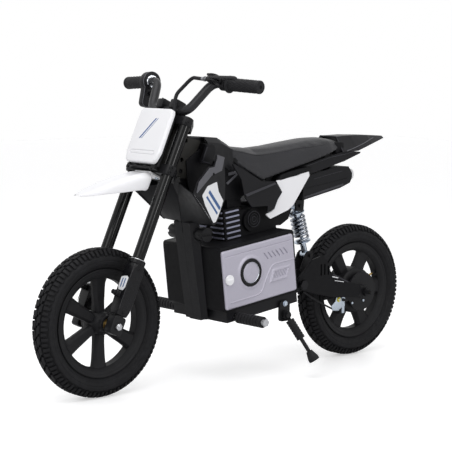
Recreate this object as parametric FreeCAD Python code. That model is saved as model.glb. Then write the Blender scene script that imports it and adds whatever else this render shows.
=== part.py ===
import FreeCAD, Part
import math
import os

os.makedirs("parts", exist_ok=True)

V = FreeCAD.Vector
ORIGIN = V(0, 0, 0)
AHEAD = V(1, 0, 0)
SIDE = V(0, 1, 0)
UP = V(0, 0, 1)

# Overall layout in millimetres. The body datum lies under the bike's middle, at the height of the axles.
WHEELBASE = 850.0
WHEEL_RADIUS = 178.0
FRONT_REACH = 425.0
RAKE = 24.34
FORK_OFFSET = 30.0
FORK_SPREAD = 129.2

# Clearances, fits and the overrun of cuts.
GAP = 0.3
FIT = 0.02
RUN = 0.05
OVERRUN = 2.0
round_room_share = 0.45
half_share = 0.5

# Tyres and rims.
TYRE_WIDTH = 59.0
TREAD_FLAT = 24.0
TREAD_WALL = 9.0
TYRE_WALL = 5.0
BEAD_WALL = 6.0
RIM_RADIUS = 130.0
BEAD_RADIUS = 122.0
WELL_RADIUS = 113.0
BARREL_RADIUS = 106.0
RIM_WIDTH = 44.0
RIM_WALL = 4.0
WELL_WIDTH = 18.0
BARREL_CHAMFER = 9.0
SPOKE_THICKNESS = 20.0
WINDOW_COUNT = 6
WINDOW_ROUND = 8.0
WINDOW_RIM_LAND = 3.0
window_corner_share = 0.95
tyre_side_share = 0.5
tyre_shoulder_shares = (0.86, 0.80)
tyre_edge_shares = (0.965, 0.56)
tyre_inner_shares = (0.80, 0.55)
AXLE_RADIUS = 6.0

FRONT_HUB_RADIUS = 28.0
FRONT_HUB_WIDTH = 80.0
FRONT_WINDOW_START = 37.0
FRONT_SPOKE_ROOT = 28.0
FRONT_SPOKE_TIP = 38.0
HUB_BEARING_RADIUS = 15.0
HUB_BEARING_WIDTH = 11.0

REAR_HUB_RADIUS = 62.0
REAR_HUB_WIDTH = 68.0
REAR_WINDOW_START = 70.0
REAR_SPOKE_ROOT = 40.0
REAR_SPOKE_TIP = 45.0
MOTOR_POCKET_RADIUS = 52.0
MOTOR_POCKET_DEPTH = 52.0
MOTOR_COVER_RADIUS = 58.0
MOTOR_COVER_THICKNESS = 7.0
STATOR_RADIUS = 49.0
STATOR_WIDTH = 34.0
DRUM_RADIUS = 44.0
DRUM_WALL = 5.0
DRUM_WIDTH = 11.0
BRAKE_PLATE_RADIUS = 52.0
BRAKE_PLATE_THICKNESS = 3.5
BRAKE_PLATE_SIDE = 46.5

# Fork, in its own frame: ahead of the fork line, to the side, and along the fork from the axle.
FORK_TUBE_RADIUS = 14.5
FORK_TUBE_BORE = 11.4
FORK_TUBE_START = 168.0
FORK_TUBE_PROUD = 2.0
SLIDER_RADIUS = 11.0
SLIDER_END = 335.0
LUG_WIDTH = 26.0
LUG_DEPTH = 35.0
LUG_DROP = 20.0
LUG_RISE = 25.0
LUG_ROUND = 7.0
GUARD_BORE = 15.5
GUARD_WIDTH = 36.0
GUARD_DEPTH = 38.0
GUARD_ROUND = 9.0
GUARD_START = 26.0
GUARD_END = 164.0
GUARD_COLLAR = 8.0
GUARD_COLLAR_RADIUS = 20.5
GUARD_FLOOR = 5.0
GUARD_LUG_ALONG = 66.0
GUARD_LUG_SIZE = 15.0
GUARD_LUG_REACH = 27.0
LOW_CLAMP_ALONG = 378.0
LOW_CLAMP_HEIGHT = 24.0
TOP_CLAMP_ALONG = 506.0
TOP_CLAMP_HEIGHT = 20.0
CLAMP_FRONT = 17.0
CLAMP_HALF_WIDTH = 81.0
CLAMP_SIDE_REAR = 7.0
CLAMP_REAR = 56.0
CLAMP_REAR_HALF = 28.0
CLAMP_ROUND = 10.0
CLAMP_SWING_ROOM = 7.0
STEM_RADIUS = 12.0
STEM_PROUD = 20.0
STEM_NUT_RADIUS = 17.0
STEM_NUT_HEIGHT = 12.0
HEX_SIDES = 6
HEAD_RADIUS = 23.0
HEAD_BORE = 17.0
HEAD_ROOM = 2.0
BEARING_HEIGHT = 12.0
FRONT_AXLE_LENGTH = 172.0
AXLE_NUT_RADIUS = 11.0
AXLE_NUT_HEIGHT = 6.0
SPACER_RADIUS = 10.0

# Handlebar and what sits on it.
BAR_RADIUS = 11.0
BAR_STAND = 14.0
BAR_AHEAD = 9.0
BAR_FLAT_HALF = 68.0
BAR_BEND_OUT = 36.0
BAR_BEND_RISE = 83.0
BAR_BEND_BACK = 16.0
BAR_END_OUT = 146.8
BAR_END_RISE = 1.5
BAR_SWEEP = 22.2
BAR_BEND_RADIUS = 27.0
RISER_SIDE = 24.0
RISER_WIDTH = 22.0
RISER_DEPTH = 34.0
RISER_CAP = 26.0
RISER_ROUND = 6.0
GRIP_RADIUS = 16.0
GRIP_FLANGE_RADIUS = 21.0
GRIP_FLANGE = 4.0
GRIP_START = 51.0
GRIP_LENGTH = 92.0
GRIP_CAP = 4.0
HOUSING_START = 28.0
HOUSING_LENGTH = 22.0
HOUSING_RADIUS = 25.0
HOUSING_DROP = 66.0
HOUSING_WIDTH = 26.0
HOUSING_DEPTH = 36.0
HOUSING_ROUND = 8.0
HOUSING_LEAN = 12.0
BUTTON_RADIUS = 6.0
BUTTON_LENGTH = 10.0
BUTTON_POCKET = 8.0
BUTTON_PROUD = 5.0
BUTTON_DROP = 30.0
PERCH_START = 30.0
PERCH_LENGTH = 16.0
PERCH_RADIUS = 16.5
PERCH_INNER = 27.0
PERCH_WIDTH = 32.0
PERCH_BACK = 5.5
PERCH_SLOT = 23.0
PERCH_FRONT = 43.0
PERCH_HEIGHT = 18.0
LEVER_THICKNESS = 8.0
LEVER_PIVOT_AHEAD = 33.0
LEVER_PIVOT_INSET = 10.0
LEVER_PIN_RADIUS = 4.0
LEVER_BACK = 27.0
LEVER_DEPTH = 16.0
LEVER_LENGTH = 103.0
LEVER_ROUND = 2.0
lever_outline_shares = (
    (0.0, 0.02), (0.81, 0.0), (1.0, 0.13), (1.0, 0.90), (0.75, 1.0), (0.25, 1.0), (0.31, 0.38), (0.06, 0.18))
ADJUSTER_RADIUS = 5.0
ADJUSTER_LENGTH = 16.0
CABLE_RADIUS = 4.5
CABLE_AHEAD_TOP = 37.0
CABLE_AHEAD_MID = 33.0
CABLE_AHEAD_LOW = 24.0
CABLE_SIDE_TOP = 62.0
CABLE_SIDE_MID = 34.0
CABLE_SIDE_LOW = 48.0
CABLE_RISE = 3.0
CABLE_MID_RISE = 46.0
CABLE_CORNER_DROP = 16.0
CABLE_BEND = 40.0
PLATE_BACK = 34.0
PLATE_THICKNESS = 12.0
PLATE_HALF_WIDTH = 62.5
PLATE_RISE = 13.0
PLATE_PROUD = 6.0
PLATE_ROUND = 14.0
plate_outline_shares = ((0.86, 0.0), (1.0, 0.2), (0.98, 1.0))
SHELF_HEIGHT = 10.0
SHELF_HALF_WIDTH = 56.0
SHELF_FRONT = 52.0
BRACE_HALF_WIDTH = 20.0
FENDER_START = 22.0
FENDER_LENGTH = 160.0
FENDER_LOW = 250.0
FENDER_HEIGHT = 126.0
FENDER_HALF_WIDTH = 42.0
FENDER_WALL = 3.0
FENDER_ROOT = 30.0
fender_station_shares = (
    (0.0, 1.0, 0.62, 1.0, 0.60), (0.12, 0.93, 0.58, 1.0, 0.56), (0.48, 0.62, 0.34, 0.95, 0.50),
    (0.80, 0.26, 0.13, 0.74, 0.36), (1.0, 0.04, 0.0, 0.26, 0.10))

# Frame.
BEAM_HALF_WIDTH = 22.0
BACKBONE_RISE = 66.0
BACKBONE_DEPTH = 36.0
BACKBONE_WALL = 3.0
BACKBONE_END_HEIGHT = 312.0
BACKBONE_END_X = 0.0
DOWN_TUBE_DEPTH = 16.0
DOWN_TUBE_RISE = 54.0
DOWN_TUBE_BEND = 100.0
RAIL_RADIUS = 9.0
RAIL_SIDE = 34.0
RAIL_FRONT_X = 10.0
RAIL_REAR_X = 300.0
RAIL_BRACE_RADIUS = 8.0
RAIL_BRACE_X = 150.0
TAIL_BRACE_X = 282.0
TAIL_BRACE_HALF = 50.0
HANGER_SIDE = 14.0
HANGER_THICKNESS = 6.0
HANGER_WIDTH = 44.0
HANGER_FOOT_RADIUS = 13.0
HEADSTOCK_LENGTH = 93.0
HEADSTOCK_HEIGHT = 103.0
HEADSTOCK_X = 131.0
HEADSTOCK_LOW = 330.0
GUSSET_THICKNESS = 4.0
GUSSET_HOLE = 6.0
GUSSET_ROUND = 4.0
gusset_outline_shares = (
    (0.591, 1.0), (0.0, 0.893), (0.204, 0.573), (0.398, 0.282), (0.462, 0.0), (0.699, 0.029), (0.86, 0.17))
gusset_hole_shares = ((0.52, 0.91), (0.66, 0.46), (0.69, 0.19))
CROSS_TUBE_RADIUS = 17.5
CROSS_TUBE_HALF = 66.0
CROSS_TUBE_LOCAL = 112.0
CROSS_SLOT_DEPTH = 5.0
CROSS_SLOT_WIDTH = 6.0

# Battery box, in its own tilted frame.
BOX_X = 9.0
BOX_HEIGHT = 98.0
BOX_TILT = 7.2
BOX_FRONT = 122.0
BOX_REAR = 128.0
BOX_TOP = 82.0
BOX_BOTTOM = 80.0
BOX_HALF_WIDTH = 108.0
BOX_WALL = 14.0
BOX_ROUND = 8.0
SLOT_FRONT = 112.0
COVER_HALF_LENGTH = 120.0
COVER_HALF_HEIGHT = 73.0
COVER_THICKNESS = 7.0
COVER_ROUND = 6.0
RING_X = 33.0
RING_Z = 5.0
RING_RADIUS = 35.0
RING_BORE = 25.5
RING_THICKNESS = 4.0
DISC_THICKNESS = 3.0
KNOB_X = 106.0
KNOB_Z = 1.5
KNOB_RADIUS = 13.0
KNOB_THICKNESS = 6.0
KNOB_SPIGOT_RADIUS = 5.0
KNOB_BAR_WIDTH = 6.0
KNOB_BAR_HEIGHT = 2.5
SOCKET_X = 88.0
SOCKET_Z = 38.0
SOCKET_RADIUS = 12.0
SOCKET_BORE = 5.5
SOCKET_DEPTH = 12.0
SOCKET_PROUD = 4.0
PACK_REAR = 108.0
PACK_FRONT = 58.0
PACK_HALF_WIDTH = 88.0
PACK_HEIGHT = 108.0
CONTROLLER_REAR = 64.0
CONTROLLER_FRONT = 102.0
CONTROLLER_HALF_WIDTH = 70.0
CONTROLLER_HEIGHT = 74.0
CRADLE_HALF_WIDTH = 102.0
CRADLE_RAIL = 24.0
CRADLE_DEPTH = 28.0
CRADLE_WALL = 4.0
CRADLE_FRONT = 112.0

# Body panels.
SHROUD_X = 92.0
SHROUD_LOW = 220.0
SHROUD_LENGTH = 139.0
SHROUD_HEIGHT = 174.0
SHROUD_FRONT_SIDE = 118.0
SHROUD_ANGLE = 15.0
SHROUD_THICKNESS = 4.0
SHROUD_ROUND = 4.0
shroud_outline_shares = (
    (0.333, 1.0), (0.099, 0.948), (0.063, 0.549), (0.073, 0.344), (0.314, 0.03), (0.405, 0.0), (1.0, 0.458),
    (0.873, 0.640), (0.549, 0.824), (0.394, 0.830), (0.320, 0.932))
shroud_strip_shares = (
    (0.330, 0.985), (0.108, 0.94), (0.186, 0.759), (0.496, 0.703), (0.871, 0.510), (0.94, 0.470), (0.862, 0.632),
    (0.547, 0.812), (0.397, 0.818), (0.326, 0.93))
STRIP_THICKNESS = 2.0
STRIP_ROUND = 2.0
COWL_TOP_X = 188.0
COWL_TOP_HEIGHT = 324.0
COWL_LOW_X = 170.0
COWL_LOW_HEIGHT = 222.0
COWL_TIP_DROP = 25.0
COWL_TIP_BACK = 5.0
COWL_CORNER_BACK = 20.0
COWL_THICKNESS = 4.0
SPINE_TOP_FRONT = 144.0
SPINE_LOW_FRONT = 133.0
SPINE_TOP = 143.0
SPINE_LOW = 104.0
SPINE_HALF_WIDTH = 42.0
SPINE_FACE_HALF = 30.0
SPINE_WALL = 3.0
SPINE_CUT = 18.0
INNER_WALL_X = 64.0
INNER_WALL_LENGTH = 116.0
INNER_WALL_LOW = 272.0
INNER_WALL_HEIGHT = 130.0
INNER_WALL_THICKNESS = 3.0
inner_wall_shares = (
    (1.0, 0.792), (0.621, 1.0), (0.241, 0.954), (0.017, 0.669), (0.0, 0.0), (0.655, 0.015), (0.879, 0.169),
    (0.966, 0.385))
CHEEK_X = 102.0
CHEEK_LENGTH = 50.0
CHEEK_LOW = 364.0
CHEEK_HEIGHT = 49.0
CHEEK_SIDE = 44.0
CHEEK_THICKNESS = 7.0
cheek_outline_shares = ((0.16, 1.0), (0.61, 1.0), (1.0, 0.14), (0.33, 0.0), (0.0, 0.51))
TANK_FRONT_X = 165.0
TANK_LENGTH = 109.0
TANK_LOW = 345.0
TANK_HEIGHT = 89.0
TANK_HALF_WIDTH = 64.0
TANK_WALL = 3.0
tank_neck_share = 0.31
tank_neck_shares = ((0.22, 1.0), (0.30, 0.94))
tank_station_shares = (
    (0.36, 0.97, 0.46, 0.84, 0.68, 0.40, 0.76), (0.72, 0.94, 0.53, 0.78, 0.84, 0.18, 0.90),
    (0.88, 0.83, 0.55, 0.68, 0.90, 0.06, 0.96), (1.0, 0.75, 0.56, 0.62, 0.92, 0.0, 1.0))
SIDE_PANEL_X = 95.0
SIDE_PANEL_LOW = 239.0
SIDE_PANEL_LENGTH = 175.0
SIDE_PANEL_HEIGHT = 133.0
SIDE_PANEL_SIDE = 76.0
PANEL_THICKNESS = 4.0
PANEL_ROUND = 3.0
side_panel_shares = (
    (1.0, 1.0), (0.394, 0.594), (0.120, 0.579), (0.0, 0.368), (0.091, 0.226), (0.154, 0.053), (0.291, 0.0),
    (0.280, 0.128), (0.594, 0.128), (0.731, 0.331), (0.80, 0.662))
WHITE_PANEL_X = 195.0
WHITE_PANEL_LOW = 222.0
WHITE_PANEL_LENGTH = 152.0
WHITE_PANEL_HEIGHT = 118.0
WHITE_PANEL_SIDE = SIDE_PANEL_SIDE - PANEL_THICKNESS - GAP
white_panel_shares = (
    (0.770, 0.805), (0.283, 0.890), (0.026, 1.0), (0.0, 0.873), (0.368, 0.263), (0.487, 0.161), (0.895, 0.0),
    (1.0, 0.100), (0.849, 0.168), (0.775, 0.390), (0.672, 0.575))
BOSS_RADIUS = 6.0
SIDE_BOSS_X = 52.0
WHITE_BOSS_X = 130.0

# Seat and tail.
SEAT_FRONT_X = 55.0
SEAT_LENGTH = 388.0
SEAT_HALF_WIDTH = 68.0
SEAT_CORNER_X = 38.0
SEAT_CORNER_HEIGHT = 316.0
SEAT_SLOPE = 13.4
SEAT_NOSE_RISE = 56.0
SEAT_THICKNESS = 80.0
SEAT_BASE_THICKNESS = 4.0
SEAT_BASE_HALF = 54.0
seat_station_shares = (
    (0.0, 0.37, 0.62, 0.60), (0.12, 0.66, 0.83, 0.68), (0.24, 0.95, 1.0, 0.74), (0.40, 0.81, 1.06, 0.78),
    (0.58, 0.70, 1.06, 0.78), (0.75, 0.59, 1.03, 0.76), (0.89, 0.47, 0.95, 0.70), (1.0, 0.27, 0.72, 0.54))
seat_shoulder_share = 0.84
seat_bulge_share = 0.03
TAIL_FRONT_X = 335.0
TAIL_LENGTH = 204.0
TAIL_LOW = 379.0
TAIL_HEIGHT = 42.0
TAIL_HALF_WIDTH = 58.0
TAIL_WALL = 3.0
tail_station_shares = (
    (0.0, 0.96, 0.52, 0.0, 1.0), (0.32, 1.0, 0.48, 0.04, 0.90), (0.65, 0.96, 0.34, 0.40, 0.64),
    (1.0, 0.86, 0.10, 0.72, 0.24))
SKIRT_X = 440.0
SKIRT_LOW = 318.0
SKIRT_LENGTH = 290.0
SKIRT_HEIGHT = TAIL_LOW - SKIRT_LOW - GAP
SKIRT_THICKNESS = 4.0
SKIRT_FLOOR = 4.0
skirt_outline_shares = (
    (1.0, 0.33), (0.517, 0.875), (0.355, 1.0), (0.115, 0.985), (0.121, 0.923), (0.328, 0.61), (0.810, 0.097),
    (1.0, 0.0))
skirt_floor_shares = (0.121, 0.328, 0.44)

# Muffler and mock engine.
MUFFLER_X = 384.0
MUFFLER_LOW = 258.0
MUFFLER_LENGTH = 184.0
MUFFLER_HEIGHT = 88.0
MUFFLER_HALF_WIDTH = 46.0
MUFFLER_BEVEL = 16.0
MUFFLER_WALL = 4.0
MUFFLER_ROUND = 4.0
MUFFLER_NOTCH_X = 266.0
MUFFLER_NOTCH_HALF = 24.0
MUFFLER_TAB_X = 330.0
MUFFLER_TAB = 20.0
muffler_outline_shares = (
    (1.0, 0.0), (0.239, 0.295), (0.043, 0.432), (0.0, 0.591), (0.0, 0.727), (0.076, 0.93), (0.293, 0.95),
    (0.973, 0.70))
CAP_RADIUS = 15.0
CAP_BORE = 11.0
CAP_LENGTH = 16.0
CAP_SIDE = 22.0
muffler_cap_share = 0.66
ENGINE_REAR = 122.0
ENGINE_LENGTH = 140.0
ENGINE_HEIGHT = 66.0
ENGINE_HALF_WIDTH = 52.0
ENGINE_ROUND = 5.0
engine_outline_shares = ((1.0, 0.0), (1.0, 1.0), (0.44, 1.0), (0.34, 0.66), (0.0, 0.24), (0.0, 0.0))
BLOCK_START = 4.0
BLOCK_LENGTH = 52.0
BLOCK_HEIGHT = 78.0
BLOCK_HALF_WIDTH = 58.0
VALVE_COVER_REAR = 15.0
VALVE_COVER_LENGTH = 46.0
VALVE_COVER_HEIGHT = 26.0
VALVE_COVER_HALF = 46.0
AIRBOX_BACK = 168.0
AIRBOX_LENGTH = 126.0
AIRBOX_LOW = 191.0
AIRBOX_HEIGHT = 66.0
AIRBOX_HALF = 40.0
airbox_outline_shares = (
    (0.937, 0.0), (0.476, 0.114), (0.317, 0.106), (0.095, 0.333), (0.0, 0.727), (0.563, 0.985), (1.0, 1.0))
FIN_COUNT = 6
FIN_THICKNESS = 4.0
FIN_DEPTH = 4.0
FIN_INSET = 4.0
FIN_CENTRE_HALF = 8.0
ROUND_COVER_RADIUS = 27.0
ROUND_COVER_DEPTH = 8.0
ROUND_COVER_STEP = 5.0
round_cover_share = 0.62
round_cover_height_share = 0.55

# Footpegs and side stand.
PEG_X = 82.0
PEG_Z = 99.0
PEG_RADIUS = 8.0
PEG_END = 206.0
PEG_RUBBER_START = 112.0
PEG_RUBBER_LENGTH = 88.0
PEG_RUBBER_RADIUS = 14.0
PEG_GROOVE = 2.0
PEG_GROOVE_COUNT = 7
PEG_HEAD_RADIUS = 10.0
PEG_HEAD_HEIGHT = 5.0
STAND_X = 82.0
STAND_DROP = 20.0
STAND_ROOM = 1.0
STAND_BRACKET_WIDTH = 34.0
STAND_BRACKET_HEIGHT = 52.0
STAND_BRACKET_THICKNESS = 7.0
STAND_PIN_RADIUS = 5.0
STAND_PIN_HEAD = 8.0
STAND_EYE_RADIUS = 11.0
STAND_EYE_THICKNESS = 9.0
STAND_FOOT_BACK = 46.0
STAND_FOOT_OUT = 57.5
STAND_FOOT_DROP = 114.0
STAND_ROD_RADIUS = 5.0
STAND_SLEEVE_RADIUS = 11.0
STAND_RIB_COUNT = 6
STAND_RIB_DEPTH = 1.5
STAND_FOOT_RADIUS = 14.0
STAND_FOOT_NECK = 8.0
stand_sleeve_shares = (0.12, 0.52)
stand_foot_shares = (0.80, 0.94, 1.0)

# Swingarm, rear brake and shock.
PIVOT_X = 180.0
PIVOT_HEIGHT = 42.0
PIVOT_RADIUS = 8.0
PIVOT_PLATE_SIDE = 44.0
PIVOT_PLATE_THICKNESS = 6.0
PIVOT_PLATE_ROUND = 6.0
PIVOT_PLATE_LENGTH = 74.0
PIVOT_PLATE_LOW = 106.0
PIVOT_PLATE_HEIGHT = 60.0
pivot_plate_shares = ((1.0, 0.0), (1.0, 1.0), (0.50, 0.95), (0.05, 0.72), (0.0, 0.36), (0.2, 0.08), (0.7, 0.0))
PIVOT_BOLT_END = 80.0
PIVOT_HEAD_RADIUS = 13.0
PIVOT_HEAD_HEIGHT = 6.0
ARM_SIDE = 54.0
ARM_WIDTH = 10.0
ARM_DEPTH = 30.0
ARM_EYE_RADIUS = 17.0
BRIDGE_TYRE_ROOM = 5.0
BRIDGE_DEPTH = 18.0
BRIDGE_LOW = 40.0
BRIDGE_HEIGHT = 60.0
CLEVIS_SIDE = 12.0
CLEVIS_THICKNESS = 6.0
CLEVIS_RADIUS = 12.0
ARM_COVER_BACK = 224.0
ARM_COVER_AHEAD = 14.0
ARM_COVER_LOW = 10.0
ARM_COVER_HEIGHT = 121.0
ARM_COVER_THICKNESS = 6.0
ARM_COVER_ROUND = 5.0
arm_cover_shares = (
    (1.0, 0.529), (0.975, 0.603), (0.782, 0.942), (0.660, 1.0), (0.563, 0.909), (0.496, 0.628), (0.176, 0.347),
    (0.025, 0.264), (0.0, 0.132), (0.059, 0.0), (0.429, 0.058), (0.664, 0.157), (0.941, 0.306), (1.0, 0.380))
ARM_COVER_SLOT_COUNT = 3
ARM_COVER_SLOT_LENGTH = 30.0
ARM_COVER_SLOT_WIDTH = 5.0
arm_cover_slot_shares = (0.54, 0.70, 0.055)
REAR_AXLE_HALF = 88.0
REAR_NUT_RADIUS = 12.0
REAR_NUT_HEIGHT = 8.0
BRAKE_EAR_X = 75.0
BRAKE_EAR_DROP = 16.0
BRAKE_EAR_RADIUS = 11.0
BRAKE_ARM_LENGTH = 36.0
BRAKE_ARM_WIDTH = 10.0
BRAKE_ARM_THICKNESS = 4.0
BRAKE_PIN_RADIUS = 4.0
BRAKE_PIN_LENGTH = 12.0
STOP_X = 96.0
STOP_DROP = 34.0
STOP_SIZE = 12.0
STOP_THICKNESS = 4.0
REAR_CABLE_RADIUS = 2.5
REAR_CABLE_START_X = 16.0
REAR_CABLE_START_DROP = 17.5
REAR_CABLE_MID_X = 55.0
REAR_CABLE_MID_DROP = 47.0
REAR_CABLE_BEND = 60.0
SHOCK_TOP_X = 217.0
SHOCK_TOP_HEIGHT = 241.0
SHOCK_LOW_BACK = 34.0
SHOCK_LOW_HEIGHT = 107.0
SHOCK_EYE_RADIUS = 11.0
SHOCK_EYE_WIDTH = 22.0
SHOCK_PIN_RADIUS = 5.0
SHOCK_LINK_PLAY = 0.7
SHOCK_SEAT_RADIUS = 22.0
SHOCK_SEAT_THICKNESS = 4.0
SHOCK_SEAT_TOP = 17.0
SHOCK_SEAT_LOW = 99.0
SHOCK_DAMPER_RADIUS = 11.0
SHOCK_DAMPER_END = 74.0
SHOCK_ROD_RADIUS = 5.0
SHOCK_ROD_TOP = 48.0
SHOCK_BORE_TOP = 32.0
SHOCK_FERRULE_RADIUS = 8.0
SPRING_RADIUS = 17.5
SPRING_WIRE = 3.6
SPRING_TURNS = 6
SPRING_STEPS = 4

# Places that follow from the sizes above.
CLAMP_TOP = TOP_CLAMP_ALONG + TOP_CLAMP_HEIGHT
FORK_TUBE_END = CLAMP_TOP + FORK_TUBE_PROUD
STEM_END = CLAMP_TOP + STEM_PROUD
HEAD_LOW = LOW_CLAMP_ALONG + LOW_CLAMP_HEIGHT + HEAD_ROOM
HEAD_HIGH = TOP_CLAMP_ALONG - HEAD_ROOM
BAR_ALONG = CLAMP_TOP + BAR_STAND
BAR_BEND_ALONG = BAR_ALONG + BAR_BEND_RISE
PLATE_LOW = LOW_CLAMP_ALONG + PLATE_RISE
PLATE_HEIGHT = CLAMP_TOP + PLATE_PROUD - PLATE_LOW
BACKBONE_ALONG = HEAD_LOW + BACKBONE_RISE
DOWN_TUBE_ALONG = HEAD_LOW + DOWN_TUBE_RISE
BRIDGE_X = WHEELBASE - FRONT_REACH - WHEEL_RADIUS - BRIDGE_TYRE_ROOM - BRIDGE_DEPTH
SHOCK_LOW_X = BRIDGE_X + SHOCK_LOW_BACK
STAND_SIDE = CRADLE_HALF_WIDTH + STAND_BRACKET_THICKNESS + STAND_ROOM
DATUM_X = WHEELBASE / 2 - FRONT_REACH
AXLE_Z = WHEEL_RADIUS
FRONT_AXLE = V(WHEELBASE / 2, 0, AXLE_Z)
REAR_AXLE = V(-WHEELBASE / 2, 0, AXLE_Z)
FORK_SIDE = FORK_SPREAD / 2


def at(x, side, height):
    """A point ahead of the body datum, to the side, and above the axles."""
    return V(DATUM_X + x, side, AXLE_Z + height)


FORK = FreeCAD.Placement(FRONT_AXLE, FreeCAD.Rotation(SIDE, -RAKE))
BOX = FreeCAD.Placement(at(BOX_X, 0, BOX_HEIGHT), FreeCAD.Rotation(SIDE, BOX_TILT))


def placed(shape, frame):
    """A copy of the shape carried from a local frame to the shared one."""
    moved = shape.copy()
    moved.Placement = frame.multiply(moved.Placement)
    return moved


def on_fork(ahead, side, along):
    return FORK.multVec(V(ahead, side, along))


def in_box(x, side, z):
    return BOX.multVec(V(x, side, z))


def unit(vector):
    return V(vector).normalize()


def save(name, *solids):
    """Write one node and print its volume, so an empty or broken one shows at once."""
    shape = solids[0] if len(solids) == 1 else Part.makeCompound(list(solids))
    shape.exportStep(os.path.join("parts", name + ".step"))
    sound = all(solid.isValid() for solid in shape.Solids)
    print(name, len(shape.Solids), "solids", round(shape.Volume), "mm3", "sound" if sound else "BROKEN")


def mirrored(shape):
    return shape.mirror(ORIGIN, SIDE)


def both(shape):
    """The shape and its mirror image on the other side."""
    return shape, mirrored(shape)


def rod(start, end, radius):
    return Part.makeCylinder(radius, (end - start).Length, start, end - start)


def sleeve(start, end, radius, bore):
    line = unit(end - start)
    core = rod(start - line * OVERRUN, end + line * OVERRUN, bore)
    return rod(start, end, radius).cut(core)


def cross_rod(centre, half, radius):
    """A round bar across the bike, centred on a point of the middle plane."""
    return rod(centre - SIDE * half, centre + SIDE * half, radius)


def block(low, high):
    return Part.makeBox(high.x - low.x, high.y - low.y, high.z - low.z, low)


def corner_arc(before, corner, after, radius):
    """Start, middle and end of the tangent arc that rounds a corner."""
    back = before - corner
    ahead = after - corner
    half = back.getAngle(ahead) / 2
    room = min(back.Length, ahead.Length) * round_room_share
    reach = min(radius / math.tan(half), room)
    bow = reach * math.tan(half)
    middle = unit(unit(back) + unit(ahead))
    start = corner + unit(back) * reach
    end = corner + unit(ahead) * reach
    return start, corner + middle * (bow / math.sin(half) - bow), end


def outline(points, radius=0.0):
    """A closed wire through the points, its corners rounded."""
    if radius == 0:
        return Part.makePolygon(points + points[:1])
    count = len(points)
    arcs = [corner_arc(points[i - 1], points[i], points[(i + 1) % count], radius) for i in range(count)]
    edges = []
    for i, (start, middle, end) in enumerate(arcs):
        edges.append(Part.Arc(start, middle, end).toShape())
        following = arcs[(i + 1) % count][0]
        if (following - end).Length > FIT:
            edges.append(Part.LineSegment(end, following).toShape())
    return Part.Wire(edges)


def prism(points, direction, radius=0.0):
    return Part.Face(outline(points, radius)).extrude(direction)


def slab(pairs, side, thickness, radius=0.0):
    """A plate standing lengthwise, from pairs of x and z."""
    return prism([V(x, side, z) for x, z in pairs], SIDE * thickness, radius)


def spread(shares, x, length, low, height):
    """Pairs of x and z from shares of a length and a height."""
    return [(x + along * length, low + rise * height) for along, rise in shares]


def body_spread(shares, x, length, low, height):
    return spread(shares, DATUM_X + x, length, AXLE_Z + low, height)


def loft(wires):
    return Part.makeLoft(wires, True, True)


def pipe(points, radius, bend):
    """A round bar along straight runs joined by tangent arcs."""
    edges = []
    start = points[0]
    for i in range(1, len(points) - 1):
        first, middle, last = corner_arc(points[i - 1], points[i], points[i + 1], bend)
        edges.append(Part.LineSegment(start, first).toShape())
        edges.append(Part.Arc(first, middle, last).toShape())
        start = last
    edges.append(Part.LineSegment(start, points[-1]).toShape())
    ring = Part.Circle(points[0], points[1] - points[0], radius).toShape()
    return Part.Wire(edges).makePipeShell([Part.Wire([ring])], True, False)


def hexagon(start, end, radius):
    """A six-sided bar with corners at the radius."""
    line = unit(end - start)
    across = unit(line.cross(UP if abs(line.z) < half_share else AHEAD))
    other = line.cross(across)
    turns = [2 * math.pi * i / HEX_SIDES for i in range(HEX_SIDES)]
    points = [start + across * (radius * math.cos(a)) + other * (radius * math.sin(a)) for a in turns]
    return prism(points, end - start)


# Wheels, built about the origin with the axle across.

def tyre():
    half = TYRE_WIDTH / 2
    height = WHEEL_RADIUS - BEAD_RADIUS
    bead = RIM_WIDTH / 2 - RIM_WALL - FIT
    inner = bead - BEAD_WALL
    above = RIM_RADIUS + FIT
    bulge = BEAD_RADIUS + tyre_side_share * height
    shoulder = V(BEAD_RADIUS + tyre_shoulder_shares[0] * height, tyre_shoulder_shares[1] * half, 0)
    edge = V(BEAD_RADIUS + tyre_edge_shares[0] * height, tyre_edge_shares[1] * half, 0)
    crown = V(WHEEL_RADIUS, TREAD_FLAT / 2, 0)
    hollow = V(BEAD_RADIUS + tyre_inner_shares[0] * height, tyre_inner_shares[1] * half, 0)
    foot = BEAD_RADIUS + FIT

    def flip(point):
        return V(point.x, -point.y, 0)

    def line(a, b):
        return Part.LineSegment(a, b).toShape()

    def arc(a, b, c):
        return Part.Arc(a, b, c).toShape()

    outer_foot = V(foot, bead, 0)
    outer_neck = V(above, bead, 0)
    side = V(bulge, half, 0)
    inner_foot = V(foot, inner, 0)
    inner_neck = V(above, inner, 0)
    inner_side = V(bulge, half - TYRE_WALL, 0)
    roof = V(WHEEL_RADIUS - TREAD_WALL, 0, 0)
    edges = [
        line(outer_foot, outer_neck), arc(outer_neck, side, shoulder), arc(shoulder, edge, crown),
        line(crown, flip(crown)), arc(flip(crown), flip(edge), flip(shoulder)),
        arc(flip(shoulder), flip(side), flip(outer_neck)), line(flip(outer_neck), flip(outer_foot)),
        line(flip(outer_foot), flip(inner_foot)), line(flip(inner_foot), flip(inner_neck)),
        arc(flip(inner_neck), flip(inner_side), flip(hollow)), arc(flip(hollow), roof, hollow),
        arc(hollow, inner_side, inner_neck), line(inner_neck, inner_foot), line(inner_foot, outer_foot)]
    return Part.Face(Part.Wire(edges)).revolve(ORIGIN, SIDE, 360)


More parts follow.
